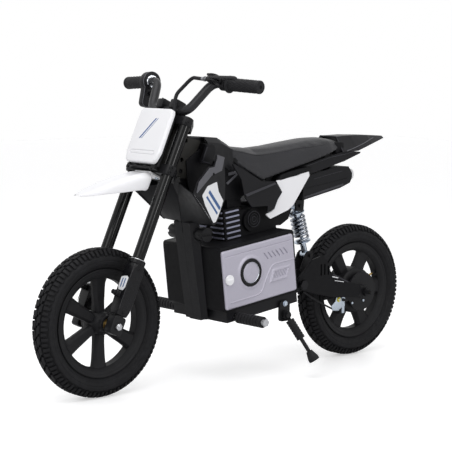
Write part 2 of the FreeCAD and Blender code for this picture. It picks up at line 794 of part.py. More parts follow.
def barrel():
    half = RIM_WIDTH / 2
    well = WELL_WIDTH / 2
    seat = half - RIM_WALL
    inner = half - BARREL_CHAMFER
    right = [
        (RIM_RADIUS, half), (RIM_RADIUS, seat), (BEAD_RADIUS, seat), (BEAD_RADIUS, well + RIM_WALL),
        (WELL_RADIUS, well)]
    left = [(radius, -side) for radius, side in reversed(right)]
    inside = [(BARREL_RADIUS + BARREL_CHAMFER, -half), (BARREL_RADIUS, -inner), (BARREL_RADIUS, inner),
              (BARREL_RADIUS + BARREL_CHAMFER, half)]
    points = [V(radius, side, 0) for radius, side in right + left + inside]
    return Part.Face(outline(points)).revolve(ORIGIN, SIDE, 360)


def windows(start, root, tip, first):
    """The openings between the spokes; the first spoke stands at the given turn."""
    cuts = []
    outer = BARREL_RADIUS - WINDOW_RIM_LAND
    step = 2 * math.pi / WINDOW_COUNT
    deep = SPOKE_THICKNESS / 2 + OVERRUN
    for i in range(WINDOW_COUNT):
        middle = first + (i + half_share) * step
        corners = []
        for way in (-1, 1):
            turn = middle + way * step / 2
            line = V(math.cos(turn), 0, math.sin(turn))
            inward = V(math.sin(turn), 0, -math.cos(turn)) * way
            corners.append((line * start + inward * (root / 2), line * (outer * window_corner_share) + inward * (tip / 2)))
        peak = V(math.cos(middle), 0, math.sin(middle)) * outer
        ring = [corners[0][0], corners[0][1], peak, corners[1][1], corners[1][0]]
        ring = [point - SIDE * deep for point in ring]
        cuts.append(prism(ring, SIDE * (2 * deep), WINDOW_ROUND))
    return cuts


def spoked(hub_radius, hub_width, start, root, tip, first):
    plate = cross_rod(ORIGIN, SPOKE_THICKNESS / 2, BARREL_RADIUS + FIT)
    for opening in windows(start, root, tip, first):
        plate = plate.cut(opening)
    hub = cross_rod(ORIGIN, hub_width / 2, hub_radius)
    return barrel().fuse(plate).fuse(hub).removeSplitter()


def make_wheels():
    """Tyres, rims, hub motor and what turns with the rear wheel."""
    tread = tyre()
    save("front_tyre", tread.translated(FRONT_AXLE))
    save("rear_tyre", tread.translated(REAR_AXLE))
    upright = math.pi / 2
    front = spoked(FRONT_HUB_RADIUS, FRONT_HUB_WIDTH, FRONT_WINDOW_START, FRONT_SPOKE_ROOT, FRONT_SPOKE_TIP, upright)
    front = front.cut(cross_rod(ORIGIN, FRONT_HUB_WIDTH, HUB_BEARING_RADIUS + FIT))
    hub_half = FRONT_HUB_WIDTH / 2
    bearing = sleeve(SIDE * (hub_half - HUB_BEARING_WIDTH), SIDE * hub_half, HUB_BEARING_RADIUS, AXLE_RADIUS + RUN)
    save("front_rim", front.translated(FRONT_AXLE), *both(bearing.translated(FRONT_AXLE)))

    offset = upright + math.pi / WINDOW_COUNT
    rear = spoked(REAR_HUB_RADIUS, REAR_HUB_WIDTH, REAR_WINDOW_START, REAR_SPOKE_ROOT, REAR_SPOKE_TIP, offset)
    half = REAR_HUB_WIDTH / 2
    pocket = rod(SIDE * (half - MOTOR_POCKET_DEPTH), SIDE * (half + OVERRUN), MOTOR_POCKET_RADIUS)
    ledge = rod(SIDE * (half - MOTOR_COVER_THICKNESS), SIDE * (half + OVERRUN), MOTOR_COVER_RADIUS + FIT)
    rear = rear.cut(pocket).cut(ledge).cut(cross_rod(ORIGIN, REAR_HUB_WIDTH, AXLE_RADIUS + RUN))
    cover = rod(SIDE * (half - MOTOR_COVER_THICKNESS), SIDE * half, MOTOR_COVER_RADIUS)
    drum = sleeve(SIDE * half, SIDE * (half + DRUM_WIDTH), DRUM_RADIUS, DRUM_RADIUS - DRUM_WALL)
    cover = cover.fuse(drum).cut(cross_rod(ORIGIN, REAR_HUB_WIDTH, AXLE_RADIUS + RUN))
    save("rear_rim", rear.translated(REAR_AXLE), cover.translated(REAR_AXLE))


def motor_stator():
    """The fixed core of the hub motor, on the rear axle."""
    half = REAR_HUB_WIDTH / 2
    middle = half - MOTOR_COVER_THICKNESS - (MOTOR_POCKET_DEPTH - MOTOR_COVER_THICKNESS) / 2
    stator_start = SIDE * (middle - STATOR_WIDTH / 2)
    stator = sleeve(stator_start, stator_start + SIDE * STATOR_WIDTH, STATOR_RADIUS, AXLE_RADIUS + FIT)
    return stator.translated(REAR_AXLE)


# Fork and steering, built in the fork's own frame.

def clamp(along, height, stem_bore):
    pairs = [
        (CLAMP_FRONT, -CLAMP_HALF_WIDTH), (CLAMP_FRONT, CLAMP_HALF_WIDTH), (-CLAMP_SIDE_REAR, CLAMP_HALF_WIDTH),
        (-CLAMP_REAR, CLAMP_REAR_HALF), (-CLAMP_REAR, -CLAMP_REAR_HALF), (-CLAMP_SIDE_REAR, -CLAMP_HALF_WIDTH)]
    shape = prism([V(ahead, side, along) for ahead, side in pairs], UP * height, CLAMP_ROUND)
    for side in (-FORK_SIDE, FORK_SIDE):
        low = V(0, side, along - OVERRUN)
        shape = shape.cut(rod(low, low + UP * (height + 2 * OVERRUN), FORK_TUBE_RADIUS + FIT))
    if stem_bore:
        low = V(-FORK_OFFSET, 0, along - OVERRUN)
        shape = shape.cut(rod(low, low + UP * (height + 2 * OVERRUN), STEM_RADIUS + FIT))
    return shape


def stem_point(along):
    return V(-FORK_OFFSET, 0, along)


def bar_run(way):
    """Start and direction of the outer run of the handlebar on one side."""
    start = V(BAR_AHEAD - BAR_BEND_BACK, way * (BAR_FLAT_HALF + BAR_BEND_OUT), BAR_BEND_ALONG)
    return start, unit(V(-BAR_SWEEP, way * BAR_END_OUT, BAR_END_RISE))


def make_fork():
    low = clamp(LOW_CLAMP_ALONG, LOW_CLAMP_HEIGHT, False)
    stem = rod(stem_point(LOW_CLAMP_ALONG + LOW_CLAMP_HEIGHT), stem_point(STEM_END), STEM_RADIUS)
    save("lower_clamp", placed(low.fuse(stem), FORK))
    nut_low = stem_point(TOP_CLAMP_ALONG + TOP_CLAMP_HEIGHT)
    nut = hexagon(nut_low, nut_low + UP * STEM_NUT_HEIGHT, STEM_NUT_RADIUS)
    nut = nut.cut(rod(nut_low - UP, nut_low + UP * (STEM_NUT_HEIGHT + OVERRUN), STEM_RADIUS + FIT))
    top = clamp(TOP_CLAMP_ALONG, TOP_CLAMP_HEIGHT, True)
    save("upper_clamp", placed(top, FORK), placed(nut, FORK))

    tube = sleeve(V(0, FORK_SIDE, FORK_TUBE_START), V(0, FORK_SIDE, FORK_TUBE_END), FORK_TUBE_RADIUS, FORK_TUBE_BORE)
    save("fork_tubes", *both(placed(tube, FORK)))

    half = LUG_WIDTH / 2
    lug = block(V(-LUG_DEPTH / 2, FORK_SIDE - half, -LUG_DROP), V(LUG_DEPTH / 2, FORK_SIDE + half, LUG_RISE))
    lug = lug.makeFillet(LUG_ROUND, [edge for edge in lug.Edges if abs(unit(edge.tangentAt(0)).y) > half_share])
    slider = rod(V(0, FORK_SIDE, LUG_RISE), V(0, FORK_SIDE, SLIDER_END), SLIDER_RADIUS)
    bore = rod(V(0, FORK_SIDE - LUG_WIDTH, 0), V(0, FORK_SIDE + LUG_WIDTH, 0), AXLE_RADIUS + FIT)
    save("fork_sliders", *both(placed(slider.fuse(lug).cut(bore), FORK)))

    wide, deep = GUARD_WIDTH / 2, GUARD_DEPTH / 2
    pairs = [(deep, FORK_SIDE - wide), (deep, FORK_SIDE + wide), (-deep, FORK_SIDE + wide), (-deep, FORK_SIDE - wide)]
    guard = prism([V(ahead, side, GUARD_START) for ahead, side in pairs], UP * (GUARD_END - GUARD_START), GUARD_ROUND)
    lug_low = V(0, FORK_SIDE - GUARD_LUG_SIZE / 2, GUARD_LUG_ALONG)
    guard = guard.fuse(block(lug_low, lug_low + V(GUARD_LUG_REACH, GUARD_LUG_SIZE, GUARD_LUG_SIZE)))
    collar = V(0, FORK_SIDE, GUARD_END - GUARD_COLLAR)
    guard = guard.fuse(rod(collar, V(0, FORK_SIDE, GUARD_END), GUARD_COLLAR_RADIUS))
    floor = V(0, FORK_SIDE, GUARD_START + GUARD_FLOOR)
    guard = guard.cut(rod(floor, V(0, FORK_SIDE, GUARD_END + OVERRUN), GUARD_BORE))
    guard = guard.cut(rod(V(0, FORK_SIDE, GUARD_START - OVERRUN), floor + UP * OVERRUN, SLIDER_RADIUS + FIT))
    save("fork_guards", *both(placed(guard, FORK)))

    outer = FORK_SIDE + half
    inner = FORK_SIDE - half
    axle = cross_rod(ORIGIN, FRONT_AXLE_LENGTH / 2, AXLE_RADIUS)
    hub = FRONT_HUB_WIDTH / 2 + GAP
    spacer = sleeve(SIDE * hub, SIDE * inner, SPACER_RADIUS, AXLE_RADIUS - FIT)
    nut = hexagon(SIDE * outer, SIDE * (outer + AXLE_NUT_HEIGHT), AXLE_NUT_RADIUS)
    axle = axle.fuse([spacer, nut, mirrored(spacer), mirrored(nut)])
    save("front_axle", placed(axle, FORK))


def make_handlebar():
    centre = V(BAR_AHEAD, 0, BAR_ALONG)
    points = []
    for way in (-1, 1):
        start, line = bar_run(way)
        ends = [start + line * (GRIP_START + GRIP_LENGTH), start, centre + SIDE * (way * BAR_FLAT_HALF)]
        points.extend(ends if way < 0 else reversed(ends))
    bar = pipe(points, BAR_RADIUS, BAR_BEND_RADIUS)
    bar_room = pipe(points, BAR_RADIUS + RUN, BAR_BEND_RADIUS)
    save("handlebar", placed(bar, FORK))

    low = CLAMP_TOP
    wide, deep = RISER_WIDTH / 2, RISER_DEPTH / 2
    riser = block(
        V(BAR_AHEAD - deep, RISER_SIDE - wide, low),
        V(BAR_AHEAD + deep, RISER_SIDE + wide, BAR_ALONG + RISER_CAP))
    riser = riser.makeFillet(
        RISER_ROUND, [edge for edge in riser.Edges if edge.CenterOfMass.z > BAR_ALONG + BAR_RADIUS])
    stem_room = rod(stem_point(low - OVERRUN), stem_point(STEM_END + OVERRUN), STEM_NUT_RADIUS + GAP)
    save("bar_risers", *both(placed(riser.cut(bar_room).cut(stem_room), FORK)))

    def grip(way, bore):
        start, line = bar_run(way)
        inner = start + line * GRIP_START
        end = inner + line * (GRIP_LENGTH + GAP)
        body = rod(inner, end + line * GRIP_CAP, GRIP_RADIUS)
        flange = rod(inner, inner + line * GRIP_FLANGE, GRIP_FLANGE_RADIUS)
        return placed(body.fuse(flange).cut(rod(inner - line * OVERRUN, end, bore)), FORK)

    save("grip_left", grip(1, BAR_RADIUS + FIT))
    save("throttle_grip", grip(-1, BAR_RADIUS + RUN))

    start, line = bar_run(-1)
    inner = start + line * HOUSING_START
    outer = inner + line * HOUSING_LENGTH
    middle = (inner + outer) * half_share
    ring = rod(inner, outer, HOUSING_RADIUS)
    wide, deep = HOUSING_WIDTH / 2, HOUSING_DEPTH / 2
    outer_side = max(middle.y - wide, outer.y)
    drop = block(V(middle.x - deep, outer_side, middle.z - HOUSING_DROP), V(middle.x + deep, middle.y + wide, middle.z))
    drop = drop.makeFillet(HOUSING_ROUND, [edge for edge in drop.Edges if edge.CenterOfMass.z < middle.z - deep])
    face = V(middle.x, middle.y + wide, middle.z - BUTTON_DROP)
    pocket = rod(face - SIDE * BUTTON_POCKET, face + SIDE * OVERRUN, BUTTON_RADIUS + GAP)
    button_end = face + SIDE * BUTTON_PROUD
    button = rod(button_end - SIDE * BUTTON_LENGTH, button_end, BUTTON_RADIUS)
    for shape in (drop, pocket, button):
        shape.rotate(middle, SIDE, HOUSING_LEAN)
    grip_start = start + line * GRIP_START
    grip_room = rod(grip_start - line * GAP, grip_start + line * HOUSING_LENGTH, GRIP_FLANGE_RADIUS + GAP)
    case = ring.fuse(drop).cut(bar_room).cut(grip_room).cut(pocket)
    save("throttle_housing", placed(case, FORK))
    save("power_button", placed(button, FORK))

    start, line = bar_run(1)
    inner = start + line * PERCH_START
    ring = rod(inner, inner + line * PERCH_LENGTH, PERCH_RADIUS)
    hub = inner + line * (PERCH_LENGTH * half_share)
    low = hub + V(0, -PERCH_INNER, -PERCH_HEIGHT / 2)
    arm = block(low + AHEAD * PERCH_BACK, low + V(PERCH_FRONT, PERCH_WIDTH, PERCH_HEIGHT))
    slot_height = PERCH_HEIGHT / 2 - LEVER_THICKNESS / 2 - GAP
    slot = block(
        low + V(PERCH_SLOT, -OVERRUN, slot_height),
        low + V(PERCH_FRONT + OVERRUN, PERCH_WIDTH + OVERRUN, slot_height + LEVER_THICKNESS + 2 * GAP))
    pivot = low + V(LEVER_PIVOT_AHEAD, LEVER_PIVOT_INSET, 0)
    pin = rod(pivot, pivot + UP * PERCH_HEIGHT, LEVER_PIN_RADIUS)
    tip = low + V(CABLE_AHEAD_TOP, 0, ADJUSTER_RADIUS)
    adjuster = rod(tip, tip - SIDE * ADJUSTER_LENGTH, ADJUSTER_RADIUS - GAP)
    perch = ring.fuse(arm).cut(slot).fuse(pin).cut(bar_room).fuse(adjuster)
    save("brake_perch", placed(perch, FORK))

    corners = [
        low + V(LEVER_BACK + ahead * LEVER_DEPTH, side * LEVER_LENGTH, (PERCH_HEIGHT - LEVER_THICKNESS) / 2)
        for ahead, side in lever_outline_shares]
    lever = prism(corners, UP * LEVER_THICKNESS, LEVER_ROUND)
    lever = lever.cut(rod(pivot, pivot + UP * PERCH_HEIGHT, LEVER_PIN_RADIUS + RUN))
    save("brake_lever", placed(lever, FORK))

    cable_start = tip - SIDE * (ADJUSTER_LENGTH + 2 * GAP)
    corner_along = CLAMP_TOP - CABLE_CORNER_DROP
    route = [
        cable_start, V(cable_start.x, CABLE_SIDE_TOP, cable_start.z + CABLE_RISE),
        V(CABLE_AHEAD_MID, CABLE_SIDE_MID, CLAMP_TOP + CABLE_MID_RISE),
        V(CABLE_AHEAD_LOW, CABLE_SIDE_LOW, corner_along), V(CABLE_AHEAD_LOW, CABLE_SIDE_LOW, PLATE_LOW)]
    save("bar_cable", placed(pipe(route, CABLE_RADIUS, CABLE_BEND), FORK))


def fender_section(ahead, top, low, half, ridge, inset):
    """One section of the front fender: flanks, shoulders and a flat ridge."""
    mid = low + (top - low) * seat_shoulder_share
    pairs = [
        (-half + inset, low), (-half + inset, mid - inset), (-ridge, top - inset), (ridge, top - inset),
        (half - inset, mid - inset), (half - inset, low)]
    return outline([V(ahead, side, along) for side, along in pairs])


def make_front_plastics():
    """Number plate, its bracket and the front fender, in the fork's frame."""
    right = [(PLATE_HALF_WIDTH * across, PLATE_LOW + PLATE_HEIGHT * rise) for across, rise in plate_outline_shares]
    pairs = right + [(-side, along) for side, along in reversed(right)]
    plate = prism([V(PLATE_BACK, side, along) for side, along in pairs], AHEAD * PLATE_THICKNESS, PLATE_ROUND)
    save("number_plate", placed(plate, FORK))

    shelf_low = PLATE_LOW - SHELF_HEIGHT
    shelf = block(V(CLAMP_FRONT, -SHELF_HALF_WIDTH, shelf_low), V(SHELF_FRONT, SHELF_HALF_WIDTH, PLATE_LOW))
    brace = block(
        V(CLAMP_FRONT, -BRACE_HALF_WIDTH, TOP_CLAMP_ALONG),
        V(PLATE_BACK, BRACE_HALF_WIDTH, TOP_CLAMP_ALONG + TOP_CLAMP_HEIGHT))
    save("plate_bracket", placed(shelf, FORK), placed(brace, FORK))

    outer = []
    inner = []
    for along, top_share, low_share, half_width_share, ridge_share in fender_station_shares:
        ahead = FENDER_START + along * FENDER_LENGTH
        top = FENDER_LOW + top_share * FENDER_HEIGHT
        low = FENDER_LOW + low_share * FENDER_HEIGHT
        half = half_width_share * FENDER_HALF_WIDTH
        ridge = ridge_share * FENDER_HALF_WIDTH
        outer.append(fender_section(ahead, top, low, half, ridge, 0))
        inner.append(fender_section(ahead, top, low - FENDER_WALL, half, max(ridge - FENDER_WALL, FIT), FENDER_WALL))
    shell = loft(outer).cut(loft(inner[:-1]))
    root = block(
        V(-FENDER_START, -FENDER_ROOT, FENDER_LOW + FENDER_HEIGHT - FENDER_WALL),
        V(FENDER_START + FENDER_WALL, FENDER_ROOT, LOW_CLAMP_ALONG))
    save("front_fender", placed(shell.fuse(root), FORK))


# Frame.

def beam(start, end, depth, half_width):
    """A flat bar between two points of the middle plane."""
    line = unit(end - start)
    across = line.cross(SIDE) * (depth / 2)
    points = [start + across, end + across, end - across, start - across]
    return prism([point - SIDE * half_width for point in points], SIDE * (2 * half_width))


def rail_height(x):
    """Height of the seat rails' centre line, which follows the seat base."""
    slope = math.tan(math.radians(SEAT_SLOPE))
    lean = math.cos(math.radians(SEAT_SLOPE))
    return SEAT_CORNER_HEIGHT - (x + SEAT_CORNER_X) * slope - (RAIL_RADIUS + FIT) / lean


def head_cylinder():
    return placed(rod(stem_point(HEAD_LOW), stem_point(HEAD_HIGH), HEAD_RADIUS), FORK)


def clamp_room():
    """The round space behind the stem that the lower clamp swings through."""
    reach = math.hypot(CLAMP_REAR - FORK_OFFSET, CLAMP_REAR_HALF) + CLAMP_SWING_ROOM
    low = stem_point(LOW_CLAMP_ALONG - OVERRUN)
    return placed(rod(low, stem_point(LOW_CLAMP_ALONG + LOW_CLAMP_HEIGHT + GAP), reach), FORK)


def backbone_line():
    start = on_fork(-FORK_OFFSET, 0, BACKBONE_ALONG)
    return start, at(BACKBONE_END_X, 0, BACKBONE_END_HEIGHT)


def backbone_top(x):
    start, end = backbone_line()
    line = unit(end - start)
    rise = BACKBONE_DEPTH / 2 / abs(line.x)
    return start.z + (x - start.x) * line.z / line.x + rise


def make_frame():
    head = placed(sleeve(stem_point(HEAD_LOW), stem_point(HEAD_HIGH), HEAD_RADIUS, HEAD_BORE), FORK)
    rings = []
    for along in (HEAD_LOW, HEAD_HIGH - BEARING_HEIGHT):
        ring = sleeve(stem_point(along), stem_point(along + BEARING_HEIGHT), HEAD_BORE - FIT, STEM_RADIUS + RUN)
        rings.append(placed(ring, FORK))

    start, end = backbone_line()
    line = unit(end - start)
    spine = beam(start, end, BACKBONE_DEPTH, BEAM_HALF_WIDTH)
    inner_depth = BACKBONE_DEPTH - 2 * BACKBONE_WALL
    spine = spine.cut(beam(start, end + line * OVERRUN, inner_depth, BEAM_HALF_WIDTH - BACKBONE_WALL))
    spine = spine.cut(head_cylinder())
    rail = rod(at(RAIL_FRONT_X, RAIL_SIDE, rail_height(RAIL_FRONT_X)), at(-RAIL_REAR_X, RAIL_SIDE, rail_height(-RAIL_REAR_X)), RAIL_RADIUS)
    pieces = [rail, mirrored(rail)]
    pieces.append(cross_rod(at(BACKBONE_END_X, 0, rail_height(BACKBONE_END_X)), RAIL_SIDE, RAIL_BRACE_RADIUS))
    pieces.append(cross_rod(at(-RAIL_BRACE_X, 0, rail_height(-RAIL_BRACE_X)), RAIL_SIDE, RAIL_BRACE_RADIUS))
    pieces.append(cross_rod(at(-TAIL_BRACE_X, 0, rail_height(-TAIL_BRACE_X)), TAIL_BRACE_HALF, RAIL_BRACE_RADIUS))
    pieces.append(cross_rod(at(-SHOCK_TOP_X, 0, rail_height(-SHOCK_TOP_X)), RAIL_SIDE, RAIL_BRACE_RADIUS))
    eye = at(-SHOCK_TOP_X, 0, SHOCK_TOP_HEIGHT)
    roof = at(-SHOCK_TOP_X, 0, rail_height(-SHOCK_TOP_X))
    half = HANGER_WIDTH / 2
    foot = HANGER_FOOT_RADIUS
    pairs = [(roof.x - half, roof.z), (eye.x - foot, eye.z - foot), (eye.x + foot, eye.z - foot), (roof.x + half, roof.z)]
    ear = slab(pairs, HANGER_SIDE, HANGER_THICKNESS)
    pin = cross_rod(eye, HANGER_SIDE + HANGER_THICKNESS + STAND_PIN_RADIUS, SHOCK_PIN_RADIUS)
    pieces.extend([ear, mirrored(ear), pin])
    upper_frame = spine.fuse(pieces)

    low = in_box(SLOT_FRONT + DOWN_TUBE_DEPTH / 2, 0, -BOX_BOTTOM - CRADLE_DEPTH)
    bend = in_box(SLOT_FRONT + DOWN_TUBE_DEPTH / 2, 0, DOWN_TUBE_BEND)
    high = on_fork(-FORK_OFFSET, 0, DOWN_TUBE_ALONG)
    lower = beam(low, bend, DOWN_TUBE_DEPTH, BEAM_HALF_WIDTH)
    upper = beam(bend, high, DOWN_TUBE_DEPTH, BEAM_HALF_WIDTH)
    knee = cross_rod(bend, BEAM_HALF_WIDTH, DOWN_TUBE_DEPTH / 2)
    tube = lower.fuse([upper, knee]).cut(head_cylinder()).cut(clamp_room())
    stub_start = in_box(SLOT_FRONT + DOWN_TUBE_DEPTH / 2, BEAM_HALF_WIDTH, CROSS_TUBE_LOCAL)
    stub_end = V(stub_start.x, CROSS_TUBE_HALF, stub_start.z)
    stub = rod(stub_start, stub_end, CROSS_TUBE_RADIUS)
    slit = V(CROSS_TUBE_RADIUS, CROSS_SLOT_DEPTH, CROSS_SLOT_WIDTH / 2)
    stub = stub.cut(block(stub_end - slit, stub_end + V(slit.x, OVERRUN, slit.z)))
    save("main_frame", upper_frame, tube, *both(stub))

    pairs = body_spread(gusset_outline_shares, HEADSTOCK_X, HEADSTOCK_LENGTH, HEADSTOCK_LOW, HEADSTOCK_HEIGHT)
    gusset = slab(pairs, BEAM_HALF_WIDTH, GUSSET_THICKNESS, GUSSET_ROUND)
    for x, z in body_spread(gusset_hole_shares, HEADSTOCK_X, HEADSTOCK_LENGTH, HEADSTOCK_LOW, HEADSTOCK_HEIGHT):
        gusset = gusset.cut(rod(V(x, BEAM_HALF_WIDTH - OVERRUN, z), V(x, BEAM_HALF_WIDTH + BOSS_RADIUS, z), GUSSET_HOLE))
    gusset = gusset.cut(head_cylinder()).cut(clamp_room())
    save("headstock", head, *rings, *both(gusset))

    top = -BOX_BOTTOM
    low = top - CRADLE_DEPTH
    wide = CRADLE_HALF_WIDTH
    frame = block(V(-BOX_REAR, -wide, low), V(CRADLE_FRONT, wide, top))
    inside = block(
        V(-BOX_REAR + CRADLE_RAIL, -wide + CRADLE_RAIL, low - OVERRUN),
        V(CRADLE_FRONT - CRADLE_RAIL, wide - CRADLE_RAIL, top + OVERRUN))
    wall = CRADLE_WALL
    groove = block(V(-BOX_REAR + wall, -wide + wall, low - OVERRUN), V(CRADLE_FRONT - wall, wide - wall, top - wall))
    lip = CRADLE_RAIL - wall
    keep = block(
        V(-BOX_REAR + lip, -wide + lip, low - 2 * OVERRUN), V(CRADLE_FRONT - lip, wide - lip, top + OVERRUN))
    cradle = placed(frame.cut(groove.cut(keep)).cut(inside), BOX)

    pairs = spread(pivot_plate_shares, -BOX_REAR - PIVOT_PLATE_LENGTH, PIVOT_PLATE_LENGTH, -PIVOT_PLATE_LOW, PIVOT_PLATE_HEIGHT)
    plate = placed(slab(pairs, PIVOT_PLATE_SIDE, PIVOT_PLATE_THICKNESS, PIVOT_PLATE_ROUND), BOX)
    pivot = at(-PIVOT_X, 0, PIVOT_HEIGHT)
    plate = plate.cut(cross_rod(pivot, PIVOT_BOLT_END, PIVOT_RADIUS + FIT))
    bolt = cross_rod(pivot, PIVOT_BOLT_END, PIVOT_RADIUS)
    head = hexagon(pivot + SIDE * (PIVOT_BOLT_END - PIVOT_HEAD_HEIGHT), pivot + SIDE * PIVOT_BOLT_END, PIVOT_HEAD_RADIUS)
    save("cradle", cradle, bolt.fuse([head, mirrored(head)]), *both(plate))


# Battery box and what it carries.

def make_box():
    body = block(V(-BOX_REAR, -BOX_HALF_WIDTH, -BOX_BOTTOM), V(BOX_FRONT, BOX_HALF_WIDTH, BOX_TOP))
    edges = [edge for edge in body.Edges if abs(unit(edge.tangentAt(0)).y) > half_share]
    body = body.makeFillet(BOX_ROUND, edges)
    cavity = block(
        V(-BOX_REAR + BOX_WALL, -BOX_HALF_WIDTH - OVERRUN, -BOX_BOTTOM + BOX_WALL),
        V(CONTROLLER_FRONT + SPINE_WALL, BOX_HALF_WIDTH + OVERRUN, BOX_TOP - BOX_WALL))
    slot = block(
        V(SLOT_FRONT - GAP, -BEAM_HALF_WIDTH - GAP, -BOX_BOTTOM - OVERRUN),
        V(BOX_FRONT + OVERRUN, BEAM_HALF_WIDTH + GAP, BOX_TOP + OVERRUN))
    save("battery_box", placed(body.cut(cavity).cut(slot), BOX))

    long, tall = COVER_HALF_LENGTH, COVER_HALF_HEIGHT
    pairs = [(-long, -tall), (long, -tall), (long, tall), (-long, tall)]
    cover = slab(pairs, BOX_HALF_WIDTH, COVER_THICKNESS, COVER_ROUND)
    face = BOX_HALF_WIDTH + COVER_THICKNESS
    disc = rod(V(RING_X, face, RING_Z), V(RING_X, face + DISC_THICKNESS, RING_Z), RING_BORE - GAP)
    cover = cover.fuse(disc)
    knob = V(KNOB_X, face, KNOB_Z)
    spigot = KNOB_SPIGOT_RADIUS
    left = cover.cut(rod(knob - SIDE * COVER_THICKNESS, knob + SIDE, spigot + RUN))
    socket = V(-SOCKET_X, -face, SOCKET_Z)
    hole = rod(socket - SIDE * SOCKET_PROUD, socket + SIDE * SOCKET_DEPTH, SOCKET_RADIUS + RUN)
    save("battery_covers", placed(left, BOX), placed(mirrored(cover).cut(hole), BOX))
    socket_body = rod(socket - SIDE * SOCKET_PROUD, socket + SIDE * SOCKET_DEPTH, SOCKET_RADIUS)
    bore = rod(socket - SIDE * (SOCKET_PROUD + OVERRUN), socket + SIDE * (SOCKET_DEPTH - SOCKET_PROUD), SOCKET_BORE)
    save("charge_socket", placed(socket_body.cut(bore), BOX))

    ring = sleeve(V(RING_X, face, RING_Z), V(RING_X, face + RING_THICKNESS, RING_Z), RING_RADIUS, RING_BORE)
    save("cover_rings", *[placed(piece, BOX) for piece in both(ring)])

    plane = knob + SIDE * GAP
    turn = rod(plane, plane + SIDE * KNOB_THICKNESS, KNOB_RADIUS)
    width = KNOB_BAR_WIDTH / 2
    low = plane + V(-KNOB_RADIUS + width, KNOB_THICKNESS, -width)
    bar = block(low, low + V(2 * (KNOB_RADIUS - width), KNOB_BAR_HEIGHT, 2 * width))
    pin = rod(knob - SIDE * COVER_THICKNESS, plane, spigot)
    save("cover_knob", placed(turn.fuse([bar, pin]), BOX))

    floor = -BOX_BOTTOM + BOX_WALL
    pack = block(V(-PACK_REAR, -PACK_HALF_WIDTH, floor), V(PACK_FRONT, PACK_HALF_WIDTH, floor + PACK_HEIGHT))
    save("battery_pack", placed(pack, BOX))
    unit_box = block(
        V(CONTROLLER_REAR, -CONTROLLER_HALF_WIDTH, floor),
        V(CONTROLLER_FRONT, CONTROLLER_HALF_WIDTH, floor + CONTROLLER_HEIGHT))
    save("motor_controller", placed(unit_box, BOX))


def make_engine():
    """Mock engine on the box: case, finned block and round covers."""
    case = slab(
        spread(engine_outline_shares, -ENGINE_REAR, ENGINE_LENGTH, BOX_TOP, ENGINE_HEIGHT), -ENGINE_HALF_WIDTH,
        2 * ENGINE_HALF_WIDTH)
    front = BLOCK_START
    cylinder = block(
        V(front, -BLOCK_HALF_WIDTH, BOX_TOP), V(front + BLOCK_LENGTH, BLOCK_HALF_WIDTH, BOX_TOP + BLOCK_HEIGHT))
    head_low = V(-VALVE_COVER_REAR, -VALVE_COVER_HALF, BOX_TOP + BLOCK_HEIGHT)
    head = block(head_low, head_low + V(VALVE_COVER_LENGTH, 2 * VALVE_COVER_HALF, VALVE_COVER_HEIGHT))
    fins = []
    step = BLOCK_HEIGHT / FIN_COUNT
    face = front + BLOCK_LENGTH
    for i in range(FIN_COUNT):
        low = BOX_TOP + step * i + (step - FIN_THICKNESS) / 2
        high = low + FIN_THICKNESS
        ahead = block(V(face, FIN_CENTRE_HALF, low), V(face + FIN_DEPTH, BLOCK_HALF_WIDTH - FIN_INSET, high))
        beside = block(
            V(front + FIN_INSET, BLOCK_HALF_WIDTH, low), V(face - FIN_INSET, BLOCK_HALF_WIDTH + FIN_DEPTH, high))
        fins.extend(both(ahead))
        fins.extend(both(beside))
    save("engine_fins", *[placed(fin, BOX) for fin in fins])
    x = -ENGINE_REAR + round_cover_share * ENGINE_LENGTH
    centre = V(x, ENGINE_HALF_WIDTH, BOX_TOP + round_cover_height_share * ENGINE_HEIGHT)
    depth = ROUND_COVER_DEPTH
    cover = rod(centre, centre + SIDE * depth, ROUND_COVER_RADIUS)
    step_disc = rod(centre, centre + SIDE * (depth + ROUND_COVER_STEP), ROUND_COVER_RADIUS * half_share)
    rounds = [placed(piece, BOX) for piece in both(cover.fuse(step_disc))]
    pairs = body_spread(airbox_outline_shares, -AIRBOX_BACK, AIRBOX_LENGTH, AIRBOX_LOW, AIRBOX_HEIGHT)
    airbox = slab(pairs, -AIRBOX_HALF, 2 * AIRBOX_HALF)
    save("mock_engine", placed(case.fuse([cylinder, head]), BOX).fuse(airbox), *rounds)


# Body.

def shroud_plane(x):
    """Side of the shroud's outer face at an x of the body."""
    return SHROUD_FRONT_SIDE - (SHROUD_X + SHROUD_LENGTH - x) * math.tan(math.radians(SHROUD_ANGLE))


